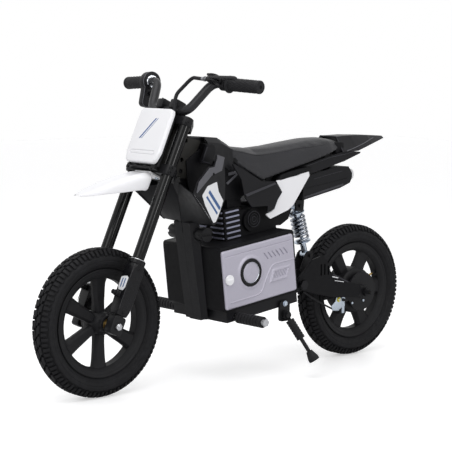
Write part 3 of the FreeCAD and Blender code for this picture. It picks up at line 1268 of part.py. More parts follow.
def make_front_shell():
    lean = math.cos(math.radians(SHROUD_ANGLE))
    inset = SHROUD_THICKNESS / lean + GAP

    def edge_point(x, height):
        return at(x, shroud_plane(x) - inset, height)

    seam = GAP / 2
    tip_x = SHROUD_X + SHROUD_LENGTH - COWL_TIP_BACK
    corner_x = COWL_LOW_X - COWL_CORNER_BACK
    tip_height = COWL_TOP_HEIGHT - COWL_TIP_DROP
    middle = outline([
        at(COWL_TOP_X, seam, COWL_TOP_HEIGHT), at(COWL_TOP_X - COWL_THICKNESS, seam, COWL_TOP_HEIGHT),
        at(COWL_LOW_X - COWL_THICKNESS, seam, COWL_LOW_HEIGHT), at(COWL_LOW_X, seam, COWL_LOW_HEIGHT)])
    end = outline([
        edge_point(tip_x, tip_height), edge_point(tip_x - COWL_THICKNESS, tip_height),
        edge_point(corner_x - COWL_THICKNESS, COWL_LOW_HEIGHT), edge_point(corner_x, COWL_LOW_HEIGHT)])
    cowl = loft([middle, end])

    def band(z, front, grow):
        inner = BOX_FRONT + GAP
        pairs = [
            (inner, seam), (front - grow, seam), (front - grow, SPINE_FACE_HALF),
            (max(front - SPINE_CUT, inner + GAP) - grow * half_share, SPINE_HALF_WIDTH - grow), (inner, SPINE_HALF_WIDTH - grow)]
        return outline([V(x, side, z) for x, side in pairs])

    outer = loft([band(-SPINE_LOW, SPINE_LOW_FRONT, 0), band(SPINE_TOP, SPINE_TOP_FRONT, 0)])
    reach = OVERRUN
    room = block(
        V(BOX_FRONT - reach, -reach, -SPINE_LOW - reach),
        V(SLOT_FRONT + DOWN_TUBE_DEPTH + GAP, BEAM_HALF_WIDTH + GAP, SPINE_TOP + reach))
    spine = placed(outer.cut(room), BOX)
    shell = spine.fuse(cowl)
    stub = in_box(SLOT_FRONT + DOWN_TUBE_DEPTH / 2, 0, CROSS_TUBE_LOCAL)
    shell = shell.cut(cross_rod(stub, CROSS_TUBE_HALF + OVERRUN, CROSS_TUBE_RADIUS + GAP))
    bend = in_box(SLOT_FRONT + DOWN_TUBE_DEPTH / 2, 0, DOWN_TUBE_BEND)
    high = on_fork(-FORK_OFFSET, 0, DOWN_TUBE_ALONG)
    tube_room = beam(bend, high, DOWN_TUBE_DEPTH + 2 * GAP, BEAM_HALF_WIDTH + GUSSET_THICKNESS + GAP)
    shell = shell.cut(tube_room).cut(cross_rod(bend, BEAM_HALF_WIDTH + GAP, DOWN_TUBE_DEPTH / 2 + GAP))
    shell = max(shell.Solids, key=lambda solid: solid.Volume)
    pairs = body_spread(inner_wall_shares, INNER_WALL_X, INNER_WALL_LENGTH, INNER_WALL_LOW, INNER_WALL_HEIGHT)
    wall = slab(pairs, BEAM_HALF_WIDTH + GUSSET_THICKNESS + GAP, INNER_WALL_THICKNESS)
    save("front_shells", *both(shell), *both(wall))


def shroud_piece(shares, start, thickness, radius):
    """A plate in the shroud's slanted plane; its outline is read on the plane's x and height."""
    lean = math.radians(SHROUD_ANGLE)
    outward = V(-math.sin(lean), math.cos(lean), 0)
    pairs = spread(shares, SHROUD_X, SHROUD_LENGTH, SHROUD_LOW, SHROUD_HEIGHT)
    points = [at(x, shroud_plane(x), height) + outward * start for x, height in pairs]
    return prism(points, outward * thickness, radius)


def make_shrouds():
    plate = shroud_piece(shroud_outline_shares, -SHROUD_THICKNESS, SHROUD_THICKNESS, SHROUD_ROUND)
    strip = shroud_piece(shroud_strip_shares, 0, STRIP_THICKNESS, STRIP_ROUND)
    save("shrouds", *both(plate))
    save("shroud_strips", *both(strip))


def arch(x, top, flat, shoulder, mid, low, foot, inset):
    pairs = [
        (-foot + inset, low - inset), (-mid + inset, shoulder - inset), (-flat + inset * half_share, top - inset),
        (flat - inset * half_share, top - inset), (mid - inset, shoulder - inset), (foot - inset, low - inset)]
    return outline([V(x, side, z) for side, z in pairs])


def make_tank():
    front = DATUM_X + TANK_FRONT_X
    low = AXLE_Z + TANK_LOW

    def station(shares, inset, shift):
        along, top, flat, shoulder, mid, foot_height, foot = shares
        return arch(
            front - along * TANK_LENGTH + shift, low + top * TANK_HEIGHT, flat * TANK_HALF_WIDTH,
            low + shoulder * TANK_HEIGHT, mid * TANK_HALF_WIDTH, low + foot_height * TANK_HEIGHT,
            foot * TANK_HALF_WIDTH, inset)

    stations = tank_station_shares
    outer = loft([station(shares, 0, 0) for shares in stations])
    inner = [station(shares, TANK_WALL, 0) for shares in stations]
    inner[0] = station(stations[0], TANK_WALL, OVERRUN)
    inner[-1] = station(stations[-1], TANK_WALL, -OVERRUN)
    shell = outer.cut(loft(inner))
    wall_x = front - stations[0][0] * TANK_LENGTH
    (flat, top), (mid, shoulder) = tank_neck_shares
    neck = []
    for x in (front, wall_x - TANK_WALL):
        base = backbone_top(x) + GAP
        high = low + (top if x == front else stations[0][1]) * TANK_HEIGHT
        edge = low + (shoulder if x == front else stations[0][1]) * TANK_HEIGHT - (0 if x == front else TANK_WALL)
        half = mid * TANK_HALF_WIDTH
        ridge = flat * TANK_HALF_WIDTH
        neck.append(outline([
            V(x, -half, base), V(x, -half, edge), V(x, -ridge, high), V(x, ridge, high), V(x, half, edge),
            V(x, half, base)]))
    pairs = body_spread(cheek_outline_shares, CHEEK_X, CHEEK_LENGTH, CHEEK_LOW, CHEEK_HEIGHT)
    cheek = slab(pairs, CHEEK_SIDE, CHEEK_THICKNESS)
    save("tank_cover", shell.fuse([loft(neck), cheek, mirrored(cheek)]))


def make_panels():
    pairs = body_spread(side_panel_shares, -SIDE_PANEL_X, SIDE_PANEL_LENGTH, SIDE_PANEL_LOW, SIDE_PANEL_HEIGHT)
    panel = slab(pairs, SIDE_PANEL_SIDE, PANEL_THICKNESS, PANEL_ROUND)
    start = RAIL_SIDE + RAIL_RADIUS + GAP
    height = rail_height(-SIDE_BOSS_X)
    boss = rod(at(-SIDE_BOSS_X, start, height), at(-SIDE_BOSS_X, SIDE_PANEL_SIDE, height), BOSS_RADIUS)
    save("side_panels", *both(panel.fuse(boss)))
    pairs = body_spread(white_panel_shares, -WHITE_PANEL_X, WHITE_PANEL_LENGTH, WHITE_PANEL_LOW, WHITE_PANEL_HEIGHT)
    panel = slab(pairs, WHITE_PANEL_SIDE, PANEL_THICKNESS, PANEL_ROUND)
    height = rail_height(-WHITE_BOSS_X)
    boss = rod(at(-WHITE_BOSS_X, start, height - BOSS_RADIUS), at(-WHITE_BOSS_X, WHITE_PANEL_SIDE, height - BOSS_RADIUS), BOSS_RADIUS)
    save("white_panels", *both(panel.fuse(boss)))


# Seat and tail.

def seat_floor(x):
    """Height of the cushion's underside along the bike."""
    if x > -SEAT_CORNER_X:
        share = (x + SEAT_CORNER_X) / (SEAT_FRONT_X + SEAT_CORNER_X)
        return SEAT_CORNER_HEIGHT + SEAT_BASE_THICKNESS + share * SEAT_NOSE_RISE
    slope = math.tan(math.radians(SEAT_SLOPE))
    return SEAT_CORNER_HEIGHT + SEAT_BASE_THICKNESS - (x + SEAT_CORNER_X) * slope


def seat_section(along, thick_share, width_share, shoulder_width_share):
    x = SEAT_FRONT_X - along * SEAT_LENGTH
    low = seat_floor(x) + FIT
    thick = thick_share * SEAT_THICKNESS
    half = width_share * SEAT_HALF_WIDTH
    edge = shoulder_width_share * SEAT_HALF_WIDTH
    shoulder = low + seat_shoulder_share * thick
    bulge = seat_bulge_share * SEAT_HALF_WIDTH

    def point(side, height):
        return at(x, side, height)

    def arc(a, b, c):
        return Part.Arc(a, b, c).toShape()

    middle = (half + edge) / 2 + bulge
    mid_height = (low + shoulder) / 2
    right_low, right_top = point(half, low), point(edge, shoulder)
    left_low, left_top = point(-half, low), point(-edge, shoulder)
    return Part.Wire([
        Part.LineSegment(left_low, right_low).toShape(), arc(right_low, point(middle, mid_height), right_top),
        arc(right_top, point(0, low + thick), left_top), arc(left_top, point(-middle, mid_height), left_low)])


def make_seat():
    save("seat_cushion", loft([seat_section(*shares) for shares in seat_station_shares]))
    nose = SEAT_CORNER_HEIGHT + SEAT_NOSE_RISE
    rear_x = SEAT_FRONT_X - SEAT_LENGTH * seat_station_shares[-2][0]
    thick = SEAT_BASE_THICKNESS
    rear = seat_floor(rear_x)
    top = [(SEAT_FRONT_X, nose + thick), (-SEAT_CORNER_X, SEAT_CORNER_HEIGHT + thick), (rear_x, rear)]
    pairs = top + [(x, height - thick) for x, height in reversed(top)]
    base = slab([(DATUM_X + x, AXLE_Z + height) for x, height in pairs], -SEAT_BASE_HALF, 2 * SEAT_BASE_HALF)
    room = beam(backbone_line()[0], backbone_line()[1], BACKBONE_DEPTH + 2 * GAP, BEAM_HALF_WIDTH + GAP)
    save("seat_base", base.cut(room))


def tail_section(x, top, ridge, low, half, inset):
    pairs = [(-half + inset, low - inset), (-ridge, top - inset), (ridge, top - inset), (half - inset, low - inset)]
    return outline([at(x, side, height) for side, height in pairs])


def make_tail():
    outer = []
    inner = []
    for along, top, ridge, low, half in tail_station_shares:
        x = -TAIL_FRONT_X - along * TAIL_LENGTH
        high = TAIL_LOW + top * TAIL_HEIGHT
        base = TAIL_LOW + low * TAIL_HEIGHT
        outer.append(tail_section(x, high, ridge * TAIL_HALF_WIDTH, base, half * TAIL_HALF_WIDTH, 0))
        crest = max(ridge * TAIL_HALF_WIDTH - TAIL_WALL, FIT)
        inner.append(tail_section(x, high, crest, base, half * TAIL_HALF_WIDTH, TAIL_WALL))
    save("tail_fender", loft(outer).cut(loft(inner[:-1])))

    pairs = body_spread(skirt_outline_shares, -SKIRT_X, SKIRT_LENGTH, SKIRT_LOW, SKIRT_HEIGHT)
    skirt = slab(pairs, TAIL_BRACE_HALF, SKIRT_THICKNESS)
    rear, bend, front = [-SKIRT_X + share * SKIRT_LENGTH for share in skirt_floor_shares]
    shares = {share[0]: share[1] for share in skirt_outline_shares}
    rear_low = SKIRT_LOW + shares[skirt_floor_shares[0]] * SKIRT_HEIGHT
    bend_low = SKIRT_LOW + shares[skirt_floor_shares[1]] * SKIRT_HEIGHT
    low = [(rear, rear_low), (bend, bend_low), (front, bend_low)]
    pairs = low + [(x, height + SKIRT_FLOOR) for x, height in reversed(low)]
    floor = slab([(DATUM_X + x, AXLE_Z + height) for x, height in pairs], -TAIL_BRACE_HALF, 2 * TAIL_BRACE_HALF)
    save("tail_undertray", floor.fuse([skirt, mirrored(skirt)]))


def make_muffler():
    pairs = body_spread(muffler_outline_shares, -MUFFLER_X, MUFFLER_LENGTH, MUFFLER_LOW, MUFFLER_HEIGHT)
    body = slab(pairs, -MUFFLER_HALF_WIDTH, 2 * MUFFLER_HALF_WIDTH)
    centre_x = sum(x for x, z in pairs) / len(pairs)
    centre_z = sum(z for x, z in pairs) / len(pairs)
    shrink = 1 - 2 * MUFFLER_WALL / MUFFLER_HEIGHT
    hollow = [(centre_x + (x - centre_x) * shrink, centre_z + (z - centre_z) * shrink) for x, z in pairs]
    wide = MUFFLER_HALF_WIDTH - MUFFLER_WALL
    body = body.cut(slab(hollow, -wide, 2 * wide))
    notch = block(
        at(-MUFFLER_NOTCH_X, -MUFFLER_NOTCH_HALF, MUFFLER_LOW - OVERRUN),
        at(-MUFFLER_X + MUFFLER_LENGTH + OVERRUN, MUFFLER_NOTCH_HALF, MUFFLER_LOW + MUFFLER_HEIGHT + OVERRUN))
    body = body.cut(notch)
    roof = SKIRT_LOW + skirt_outline_shares[5][1] * SKIRT_HEIGHT
    half = MUFFLER_TAB / 2
    tab_low = MUFFLER_LOW + muffler_outline_shares[6][1] * MUFFLER_HEIGHT - MUFFLER_WALL
    tab = block(at(-MUFFLER_TAB_X - half, -half, tab_low), at(-MUFFLER_TAB_X + half, half, roof))
    body = body.fuse(tab)
    height = MUFFLER_LOW + muffler_cap_share * MUFFLER_HEIGHT
    start = at(-MUFFLER_X, CAP_SIDE, height)
    cap = rod(start, start - AHEAD * CAP_LENGTH, CAP_RADIUS)
    cap = cap.cut(rod(start - AHEAD * (CAP_LENGTH * half_share), start - AHEAD * (CAP_LENGTH + OVERRUN), CAP_BORE))
    save("muffler", body)
    save("muffler_caps", *both(cap))


# Footpegs and side stand.

def make_pegs():
    root = V(PEG_X, CRADLE_HALF_WIDTH, -PEG_Z)
    end = V(PEG_X, PEG_END, -PEG_Z)
    start = V(PEG_X, PEG_RUBBER_START, -PEG_Z)
    rubber = sleeve(start, start + SIDE * PEG_RUBBER_LENGTH, PEG_RUBBER_RADIUS, PEG_RADIUS + FIT)
    step = PEG_RUBBER_LENGTH / (PEG_GROOVE_COUNT + 1)
    for i in range(PEG_GROOVE_COUNT):
        place = start + SIDE * (step * (i + 1) - PEG_GROOVE / 2)
        rubber = rubber.cut(sleeve(place, place + SIDE * PEG_GROOVE, PEG_RUBBER_RADIUS + OVERRUN, PEG_RUBBER_RADIUS - PEG_GROOVE))
    save("footpeg_rubbers", *[placed(piece, BOX) for piece in both(rubber)])
    head = hexagon(end, end + SIDE * PEG_HEAD_HEIGHT, PEG_HEAD_RADIUS)
    bar = rod(root, end, PEG_RADIUS)
    save("footpeg_bars", *[placed(piece, BOX) for piece in both(bar) + both(head)])


def stand_line():
    pivot = at(-STAND_X, STAND_SIDE + STAND_EYE_THICKNESS / 2, -STAND_DROP)
    foot = pivot + V(-STAND_FOOT_BACK, STAND_FOOT_OUT, -STAND_FOOT_DROP)
    return pivot, foot


def make_stand():
    pivot, foot = stand_line()
    line = unit(foot - pivot)
    length = (foot - pivot).Length
    inner = CRADLE_HALF_WIDTH
    half = STAND_BRACKET_WIDTH / 2
    low = V(pivot.x - half, inner, pivot.z - half)
    plate = block(low, V(pivot.x + half, inner + STAND_BRACKET_THICKNESS, low.z + STAND_BRACKET_HEIGHT))
    edges = [edge for edge in plate.Edges if abs(unit(edge.tangentAt(0)).y) > half_share]
    plate = plate.makeFillet(BOX_ROUND, edges)
    pin_start = V(pivot.x, inner, pivot.z)
    pin_end = V(pivot.x, STAND_SIDE + STAND_EYE_THICKNESS + GAP, pivot.z)
    pin = rod(pin_start, pin_end + SIDE * STAND_PIN_RADIUS, STAND_PIN_RADIUS)
    head = rod(pin_end, pin_end + SIDE * STAND_PIN_RADIUS, STAND_PIN_HEAD)
    save("kickstand_bracket", plate.fuse([pin, head]))

    eye_start = V(pivot.x, STAND_SIDE, pivot.z)
    eye = rod(eye_start, eye_start + SIDE * STAND_EYE_THICKNESS, STAND_EYE_RADIUS)
    bore = rod(eye_start - SIDE * OVERRUN, eye_start + SIDE * (STAND_EYE_THICKNESS + OVERRUN), STAND_PIN_RADIUS + RUN)
    leg = rod(pivot, pivot + line * (length * stand_foot_shares[1]), STAND_ROD_RADIUS)
    inner_keep = block(V(pivot.x - length, inner, pivot.z - length), V(pivot.x + length, STAND_SIDE, pivot.z + length))
    outer_keep = rod(pin_end - SIDE * GAP, pin_end + SIDE * STAND_PIN_HEAD, STAND_EYE_RADIUS)
    save("kickstand_leg", eye.fuse(leg).cut(bore).cut(inner_keep).cut(outer_keep))

    start, end = [pivot + line * (length * share) for share in stand_sleeve_shares]
    cover = sleeve(start, end, STAND_SLEEVE_RADIUS, STAND_ROD_RADIUS + FIT)
    step = (end - start).Length / (STAND_RIB_COUNT + 1)
    for i in range(STAND_RIB_COUNT):
        place = start + line * (step * (i + 1) - STAND_RIB_DEPTH / 2)
        groove = sleeve(place, place + line * STAND_RIB_DEPTH, STAND_SLEEVE_RADIUS + OVERRUN, STAND_SLEEVE_RADIUS - STAND_RIB_DEPTH)
        cover = cover.cut(groove)
    eye_room = rod(eye_start - SIDE * STAND_EYE_THICKNESS, pin_end + SIDE * STAND_PIN_HEAD, STAND_EYE_RADIUS + GAP)

    neck, heel, toe = [pivot + line * (length * share) for share in stand_foot_shares]
    pad = Part.makeCone(STAND_FOOT_NECK, STAND_FOOT_RADIUS, (heel - neck).Length, neck, line)
    pad = pad.fuse(rod(heel, toe, STAND_FOOT_RADIUS)).cut(rod(neck - line, heel, STAND_ROD_RADIUS + FIT))
    save("kickstand_rubbers", cover.cut(eye_room), pad)


# Swingarm, rear brake and shock.

def make_swingarm():
    pivot = at(-PIVOT_X, 0, PIVOT_HEIGHT)
    axle = REAR_AXLE
    side = SIDE * ARM_SIDE
    line = unit(axle - pivot)
    across = line.cross(SIDE) * (ARM_DEPTH / 2)
    corners = [pivot + across, axle + across, axle - across, pivot - across]
    arm = prism([point + side for point in corners], SIDE * ARM_WIDTH)
    for centre in (pivot, axle):
        arm = arm.fuse(rod(centre + side, centre + side + SIDE * ARM_WIDTH, ARM_EYE_RADIUS))
    arm = arm.cut(cross_rod(pivot, PIVOT_BOLT_END, PIVOT_RADIUS + RUN))
    arm = arm.cut(cross_rod(axle, REAR_AXLE_HALF, AXLE_RADIUS + FIT))
    bridge = block(
        at(-BRIDGE_X - BRIDGE_DEPTH, -ARM_SIDE - ARM_WIDTH, BRIDGE_LOW - ARM_DEPTH / 2),
        at(-BRIDGE_X, ARM_SIDE + ARM_WIDTH, BRIDGE_LOW + ARM_DEPTH / 2))
    post = block(
        at(-BRIDGE_X - BRIDGE_DEPTH, -CLEVIS_SIDE - CLEVIS_THICKNESS, BRIDGE_LOW),
        at(-BRIDGE_X, CLEVIS_SIDE + CLEVIS_THICKNESS, BRIDGE_LOW + BRIDGE_HEIGHT * half_share))
    eye = at(-SHOCK_LOW_X, 0, SHOCK_LOW_HEIGHT)
    foot = at(-BRIDGE_X, 0, BRIDGE_LOW + ARM_DEPTH / 2)
    radius = CLEVIS_RADIUS
    pairs = [
        (foot.x - BRIDGE_DEPTH, foot.z - radius), (foot.x, foot.z - radius), (foot.x, foot.z + radius),
        (eye.x + radius, eye.z + radius * half_share), (eye.x - radius * half_share, eye.z - radius)]
    ear = slab(pairs, CLEVIS_SIDE, CLEVIS_THICKNESS)
    ear = ear.fuse(rod(eye + SIDE * CLEVIS_SIDE, eye + SIDE * (CLEVIS_SIDE + CLEVIS_THICKNESS), radius))
    pin = cross_rod(eye, CLEVIS_SIDE + CLEVIS_THICKNESS + SHOCK_PIN_RADIUS, SHOCK_PIN_RADIUS)
    save("swingarm", arm.fuse([mirrored(arm), bridge, post, ear, mirrored(ear), pin]))

    length = ARM_COVER_BACK + ARM_COVER_AHEAD
    pairs = body_spread(arm_cover_shares, -PIVOT_X - ARM_COVER_BACK, length, -ARM_COVER_LOW, ARM_COVER_HEIGHT)
    inner = ARM_SIDE + ARM_WIDTH
    cover = slab(pairs, inner, ARM_COVER_THICKNESS, ARM_COVER_ROUND)
    cover = cover.cut(cross_rod(pivot, PIVOT_BOLT_END + OVERRUN, PIVOT_HEAD_RADIUS + GAP))
    first_x, first_z, step = arm_cover_slot_shares
    for i in range(ARM_COVER_SLOT_COUNT):
        centre = at(
            -PIVOT_X - ARM_COVER_BACK + (first_x + i * step) * length, inner - OVERRUN,
            -ARM_COVER_LOW + first_z * ARM_COVER_HEIGHT)
        half = ARM_COVER_SLOT_WIDTH / 2
        tall = ARM_COVER_SLOT_LENGTH / 2
        slot = block(centre - V(half, 0, tall), centre + V(half, ARM_COVER_THICKNESS + 2 * OVERRUN, tall))
        cover = cover.cut(slot)
    cover = cover.cut(cross_rod(axle, REAR_AXLE_HALF, REAR_NUT_RADIUS + GAP))
    save("swingarm_covers", *both(cover))

    spindle = cross_rod(axle, REAR_AXLE_HALF, AXLE_RADIUS)
    nut = hexagon(axle + SIDE * inner, axle + SIDE * (inner + REAR_NUT_HEIGHT), REAR_NUT_RADIUS)
    plate_end = BRAKE_PLATE_SIDE + BRAKE_PLATE_THICKNESS
    left_spacer = sleeve(axle + SIDE * plate_end, axle + SIDE * ARM_SIDE, SPACER_RADIUS, AXLE_RADIUS - FIT)
    right_spacer = sleeve(axle - SIDE * (REAR_HUB_WIDTH / 2 + GAP), axle - SIDE * ARM_SIDE, SPACER_RADIUS, AXLE_RADIUS - FIT)
    save("rear_axle", spindle.fuse([nut, mirrored(nut), left_spacer, right_spacer]), motor_stator())

    start = axle + SIDE * BRAKE_PLATE_SIDE
    thick = SIDE * BRAKE_PLATE_THICKNESS
    disc = rod(start, start + thick, BRAKE_PLATE_RADIUS)
    ear_centre = start + V(BRAKE_EAR_X, 0, -BRAKE_EAR_DROP)
    stop_centre = start + V(STOP_X, 0, -STOP_DROP)
    reach = V(0, 0, BRAKE_EAR_RADIUS)
    web = prism([start + reach, ear_centre + reach, ear_centre - reach, start - reach], thick)
    foot = prism([ear_centre + reach, stop_centre + reach, stop_centre - reach, ear_centre - reach], thick)
    ear = rod(ear_centre, ear_centre + thick, BRAKE_EAR_RADIUS)
    pin = rod(ear_centre, ear_centre + SIDE * BRAKE_PIN_LENGTH, BRAKE_PIN_RADIUS)
    half = STOP_SIZE / 2
    tab_low = stop_centre - V(STOP_THICKNESS, 0, half + BRAKE_EAR_RADIUS)
    tab = block(tab_low, tab_low + V(STOP_THICKNESS, STOP_SIZE + BRAKE_PLATE_THICKNESS, STOP_SIZE))
    plate = disc.fuse([web, foot, ear, pin, tab]).cut(cross_rod(axle, REAR_AXLE_HALF, AXLE_RADIUS + FIT))
    save("brake_plate", plate)

    arm_start = ear_centre + thick + SIDE * GAP
    half = BRAKE_ARM_WIDTH / 2
    low = arm_start - V(half, 0, BRAKE_ARM_LENGTH)
    lever = block(low, arm_start + V(half, BRAKE_ARM_THICKNESS, 0))
    lever = lever.fuse(rod(arm_start, arm_start + SIDE * BRAKE_ARM_THICKNESS, BRAKE_EAR_RADIUS * half_share + half * half_share))
    lever = lever.cut(rod(ear_centre, ear_centre + SIDE * BRAKE_PIN_LENGTH, BRAKE_PIN_RADIUS + RUN))
    save("brake_arm", lever)

    tab_face = V(
        tab_low.x + STOP_THICKNESS + REAR_CABLE_RADIUS * half_share,
        tab_low.y + BRAKE_PLATE_THICKNESS + STOP_SIZE * half_share, tab_low.z + STOP_SIZE * half_share)
    begin = V(
        pivot.x - REAR_CABLE_START_X, ARM_SIDE + ARM_WIDTH * half_share,
        pivot.z - REAR_CABLE_START_DROP - REAR_CABLE_RADIUS)
    elbow = V(pivot.x - REAR_CABLE_MID_X, tab_face.y, pivot.z - REAR_CABLE_MID_DROP)
    save("rear_brake_cable", pipe([begin, elbow, tab_face], REAR_CABLE_RADIUS, REAR_CABLE_BEND))


def spring_path(start, radius, pitch, turns):
    """A helix of tangent arcs, two to each quarter turn, and its points."""
    count = turns * SPRING_STEPS
    step = 2 * math.pi / SPRING_STEPS

    def place(i):
        return start + V(radius * math.cos(i * step), radius * math.sin(i * step), pitch * i / SPRING_STEPS)

    def heading(i):
        around = V(-radius * math.sin(i * step), radius * math.cos(i * step), pitch / (2 * math.pi))
        return unit(around)

    edges = []
    for i in range(count):
        first, last = place(i), place(i + 1)
        out, into = heading(i), heading(i + 1)
        chord = last - first
        total = out + into
        a = total.dot(total) - 4
        b = -2 * chord.dot(total)
        c = chord.dot(chord)
        reach = (-b - math.sqrt(b * b - 4 * a * c)) / (2 * a)
        if reach <= 0:
            reach = (-b + math.sqrt(b * b - 4 * a * c)) / (2 * a)
        near = first + out * reach
        far = last - into * reach
        join = (near + far) * half_share
        for before, corner, after in ((first, near, join), (join, far, last)):
            half = (before - corner).getAngle(after - corner) / 2
            bow = reach * math.tan(half)
            middle = unit(unit(before - corner) + unit(after - corner))
            edges.append(Part.Arc(before, corner + middle * (bow / math.sin(half) - bow), after).toShape())
    return Part.Wire(edges), place(0), heading(0)


def make_shock():
    top = at(-SHOCK_TOP_X, 0, SHOCK_TOP_HEIGHT)
    low = at(-SHOCK_LOW_X, 0, SHOCK_LOW_HEIGHT)
    length = (top - low).Length
    tilt = math.degrees(math.atan2(top.x - low.x, top.z - low.z))
    frame = FreeCAD.Placement(top, FreeCAD.Rotation(SIDE, tilt))

    eye = cross_rod(ORIGIN, SHOCK_EYE_WIDTH / 2, SHOCK_EYE_RADIUS)
    neck = rod(ORIGIN, -UP * SHOCK_SEAT_TOP, SHOCK_FERRULE_RADIUS)
    seat = rod(-UP * SHOCK_SEAT_TOP, -UP * (SHOCK_SEAT_TOP + SHOCK_SEAT_THICKNESS), SHOCK_SEAT_RADIUS)
    damper = rod(-UP * SHOCK_SEAT_TOP, -UP * SHOCK_DAMPER_END, SHOCK_DAMPER_RADIUS)
    body = eye.fuse([neck, seat, damper])
    body = body.cut(rod(-UP * SHOCK_BORE_TOP, -UP * (SHOCK_DAMPER_END + OVERRUN), SHOCK_ROD_RADIUS + RUN))
    body = body.cut(cross_rod(ORIGIN, SHOCK_EYE_WIDTH, SHOCK_PIN_RADIUS + RUN))
    save("shock_body", placed(body, frame))

    shaft = rod(-UP * SHOCK_ROD_TOP, -UP * SHOCK_SEAT_LOW, SHOCK_ROD_RADIUS)
    low_seat = rod(-UP * SHOCK_SEAT_LOW, -UP * (SHOCK_SEAT_LOW + SHOCK_SEAT_THICKNESS), SHOCK_SEAT_RADIUS)
    ferrule = rod(-UP * SHOCK_SEAT_LOW, -UP * length, SHOCK_FERRULE_RADIUS)
    low_eye = cross_rod(-UP * length, SHOCK_EYE_WIDTH / 2, SHOCK_EYE_RADIUS)
    shaft = shaft.fuse([low_seat, ferrule, low_eye])
    shaft = shaft.cut(cross_rod(-UP * length, SHOCK_EYE_WIDTH, SHOCK_PIN_RADIUS + SHOCK_LINK_PLAY))
    save("shock_rod", placed(shaft, frame))

    base = -SHOCK_SEAT_LOW + SPRING_WIRE + GAP
    roof = -SHOCK_SEAT_TOP - SHOCK_SEAT_THICKNESS - SPRING_WIRE - GAP
    pitch = (roof - base) / SPRING_TURNS
    path, first, heading = spring_path(UP * base, SPRING_RADIUS, pitch, SPRING_TURNS)
    ring = Part.Wire([Part.Circle(first, heading, SPRING_WIRE).toShape()])
    spring = path.makePipeShell([ring], True, False)
    save("shock_spring", placed(spring, frame))
    points = path.discretize(SPRING_TURNS * SPRING_STEPS * SPRING_STEPS)
    skip = SPRING_STEPS * SPRING_STEPS // 2
    least = min(
        (points[i] - points[j]).Length for i in range(len(points)) for j in range(i + skip, len(points)))
    print("least gap of the spring to itself", round(least - 2 * SPRING_WIRE, 2), "mm")


make_wheels()
make_fork()
make_handlebar()
make_front_plastics()
make_frame()
make_box()
make_engine()
make_front_shell()
make_shrouds()
make_tank()
make_panels()
make_seat()
make_tail()
make_muffler()
make_pegs()
make_stand()
make_swingarm()
make_shock()
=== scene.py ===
import math

import bmesh
import bpy
from bpy.props import FloatProperty, FloatVectorProperty, IntProperty, PointerProperty
from mathutils import Matrix, Vector
from mathutils.bvhtree import BVHTree


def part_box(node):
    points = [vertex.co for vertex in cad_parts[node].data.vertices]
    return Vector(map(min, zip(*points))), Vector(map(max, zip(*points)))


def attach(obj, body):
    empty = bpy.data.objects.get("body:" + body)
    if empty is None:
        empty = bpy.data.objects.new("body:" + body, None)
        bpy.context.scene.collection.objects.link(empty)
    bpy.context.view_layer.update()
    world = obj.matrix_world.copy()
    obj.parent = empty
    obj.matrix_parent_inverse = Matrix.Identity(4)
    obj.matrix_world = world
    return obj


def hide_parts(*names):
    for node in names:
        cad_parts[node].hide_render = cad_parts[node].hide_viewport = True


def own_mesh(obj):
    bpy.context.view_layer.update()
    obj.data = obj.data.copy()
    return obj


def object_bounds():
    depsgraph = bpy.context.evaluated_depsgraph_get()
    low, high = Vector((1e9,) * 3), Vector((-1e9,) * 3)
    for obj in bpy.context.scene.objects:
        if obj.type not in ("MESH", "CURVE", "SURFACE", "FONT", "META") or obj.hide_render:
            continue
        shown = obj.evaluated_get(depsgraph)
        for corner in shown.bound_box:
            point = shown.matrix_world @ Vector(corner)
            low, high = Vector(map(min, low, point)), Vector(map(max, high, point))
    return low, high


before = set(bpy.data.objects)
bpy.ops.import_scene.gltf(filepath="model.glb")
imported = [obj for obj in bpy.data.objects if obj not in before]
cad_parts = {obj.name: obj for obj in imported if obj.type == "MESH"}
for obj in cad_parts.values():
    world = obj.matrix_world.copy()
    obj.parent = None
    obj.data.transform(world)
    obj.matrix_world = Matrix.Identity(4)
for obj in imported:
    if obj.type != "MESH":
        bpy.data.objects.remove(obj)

bl_info = {
    "name": "Small electric motorbike",
    "version": (1, 0, 0),
    "blender": (4, 5, 0),
    "location": "View3D > Sidebar > Motorbike",
    "description": "Dresses the packed frame of a child's electric motorbike with its pieces and finishes",
    "category": "Object",
}

CAD_BOX = [list(corner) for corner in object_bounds()]
MM = 0.001
TO_METRES = Matrix.Scale(MM, 4)


def middle_of(node):
    low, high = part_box(node)
    return (low + high) / 2


# Local frames, in metres. Pieces are drawn in millimetres in one of them.
FORK_RAKE = math.radians(24.34)
BOX_LEAN = math.radians(7.2)
BOX_MIDDLE = (0.009, 0, 0.276)
BIKE = Matrix.Identity(4)
FRONT_WHEEL = Matrix.Translation(middle_of("front_tyre"))
REAR_WHEEL = Matrix.Translation(middle_of("rear_tyre"))
FORK = FRONT_WHEEL @ Matrix.Rotation(-FORK_RAKE, 4, "Y")
BOX = Matrix.Translation(BOX_MIDDLE) @ Matrix.Rotation(BOX_LEAN, 4, "Y")
ACROSS = Matrix.Rotation(math.radians(-90), 4, "X")
TYRE_RADIUS = (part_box("front_tyre")[1].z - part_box("front_tyre")[0].z) / 2 / MM


def shade(red, green, blue):
    """A display colour from 0 to 255 as the linear colour that shaders use."""
    parts = (red / 255, green / 255, blue / 255)
    return tuple(part / 12.92 if part <= 0.04 else ((part + 0.055) / 1.055) ** 2.4 for part in parts)


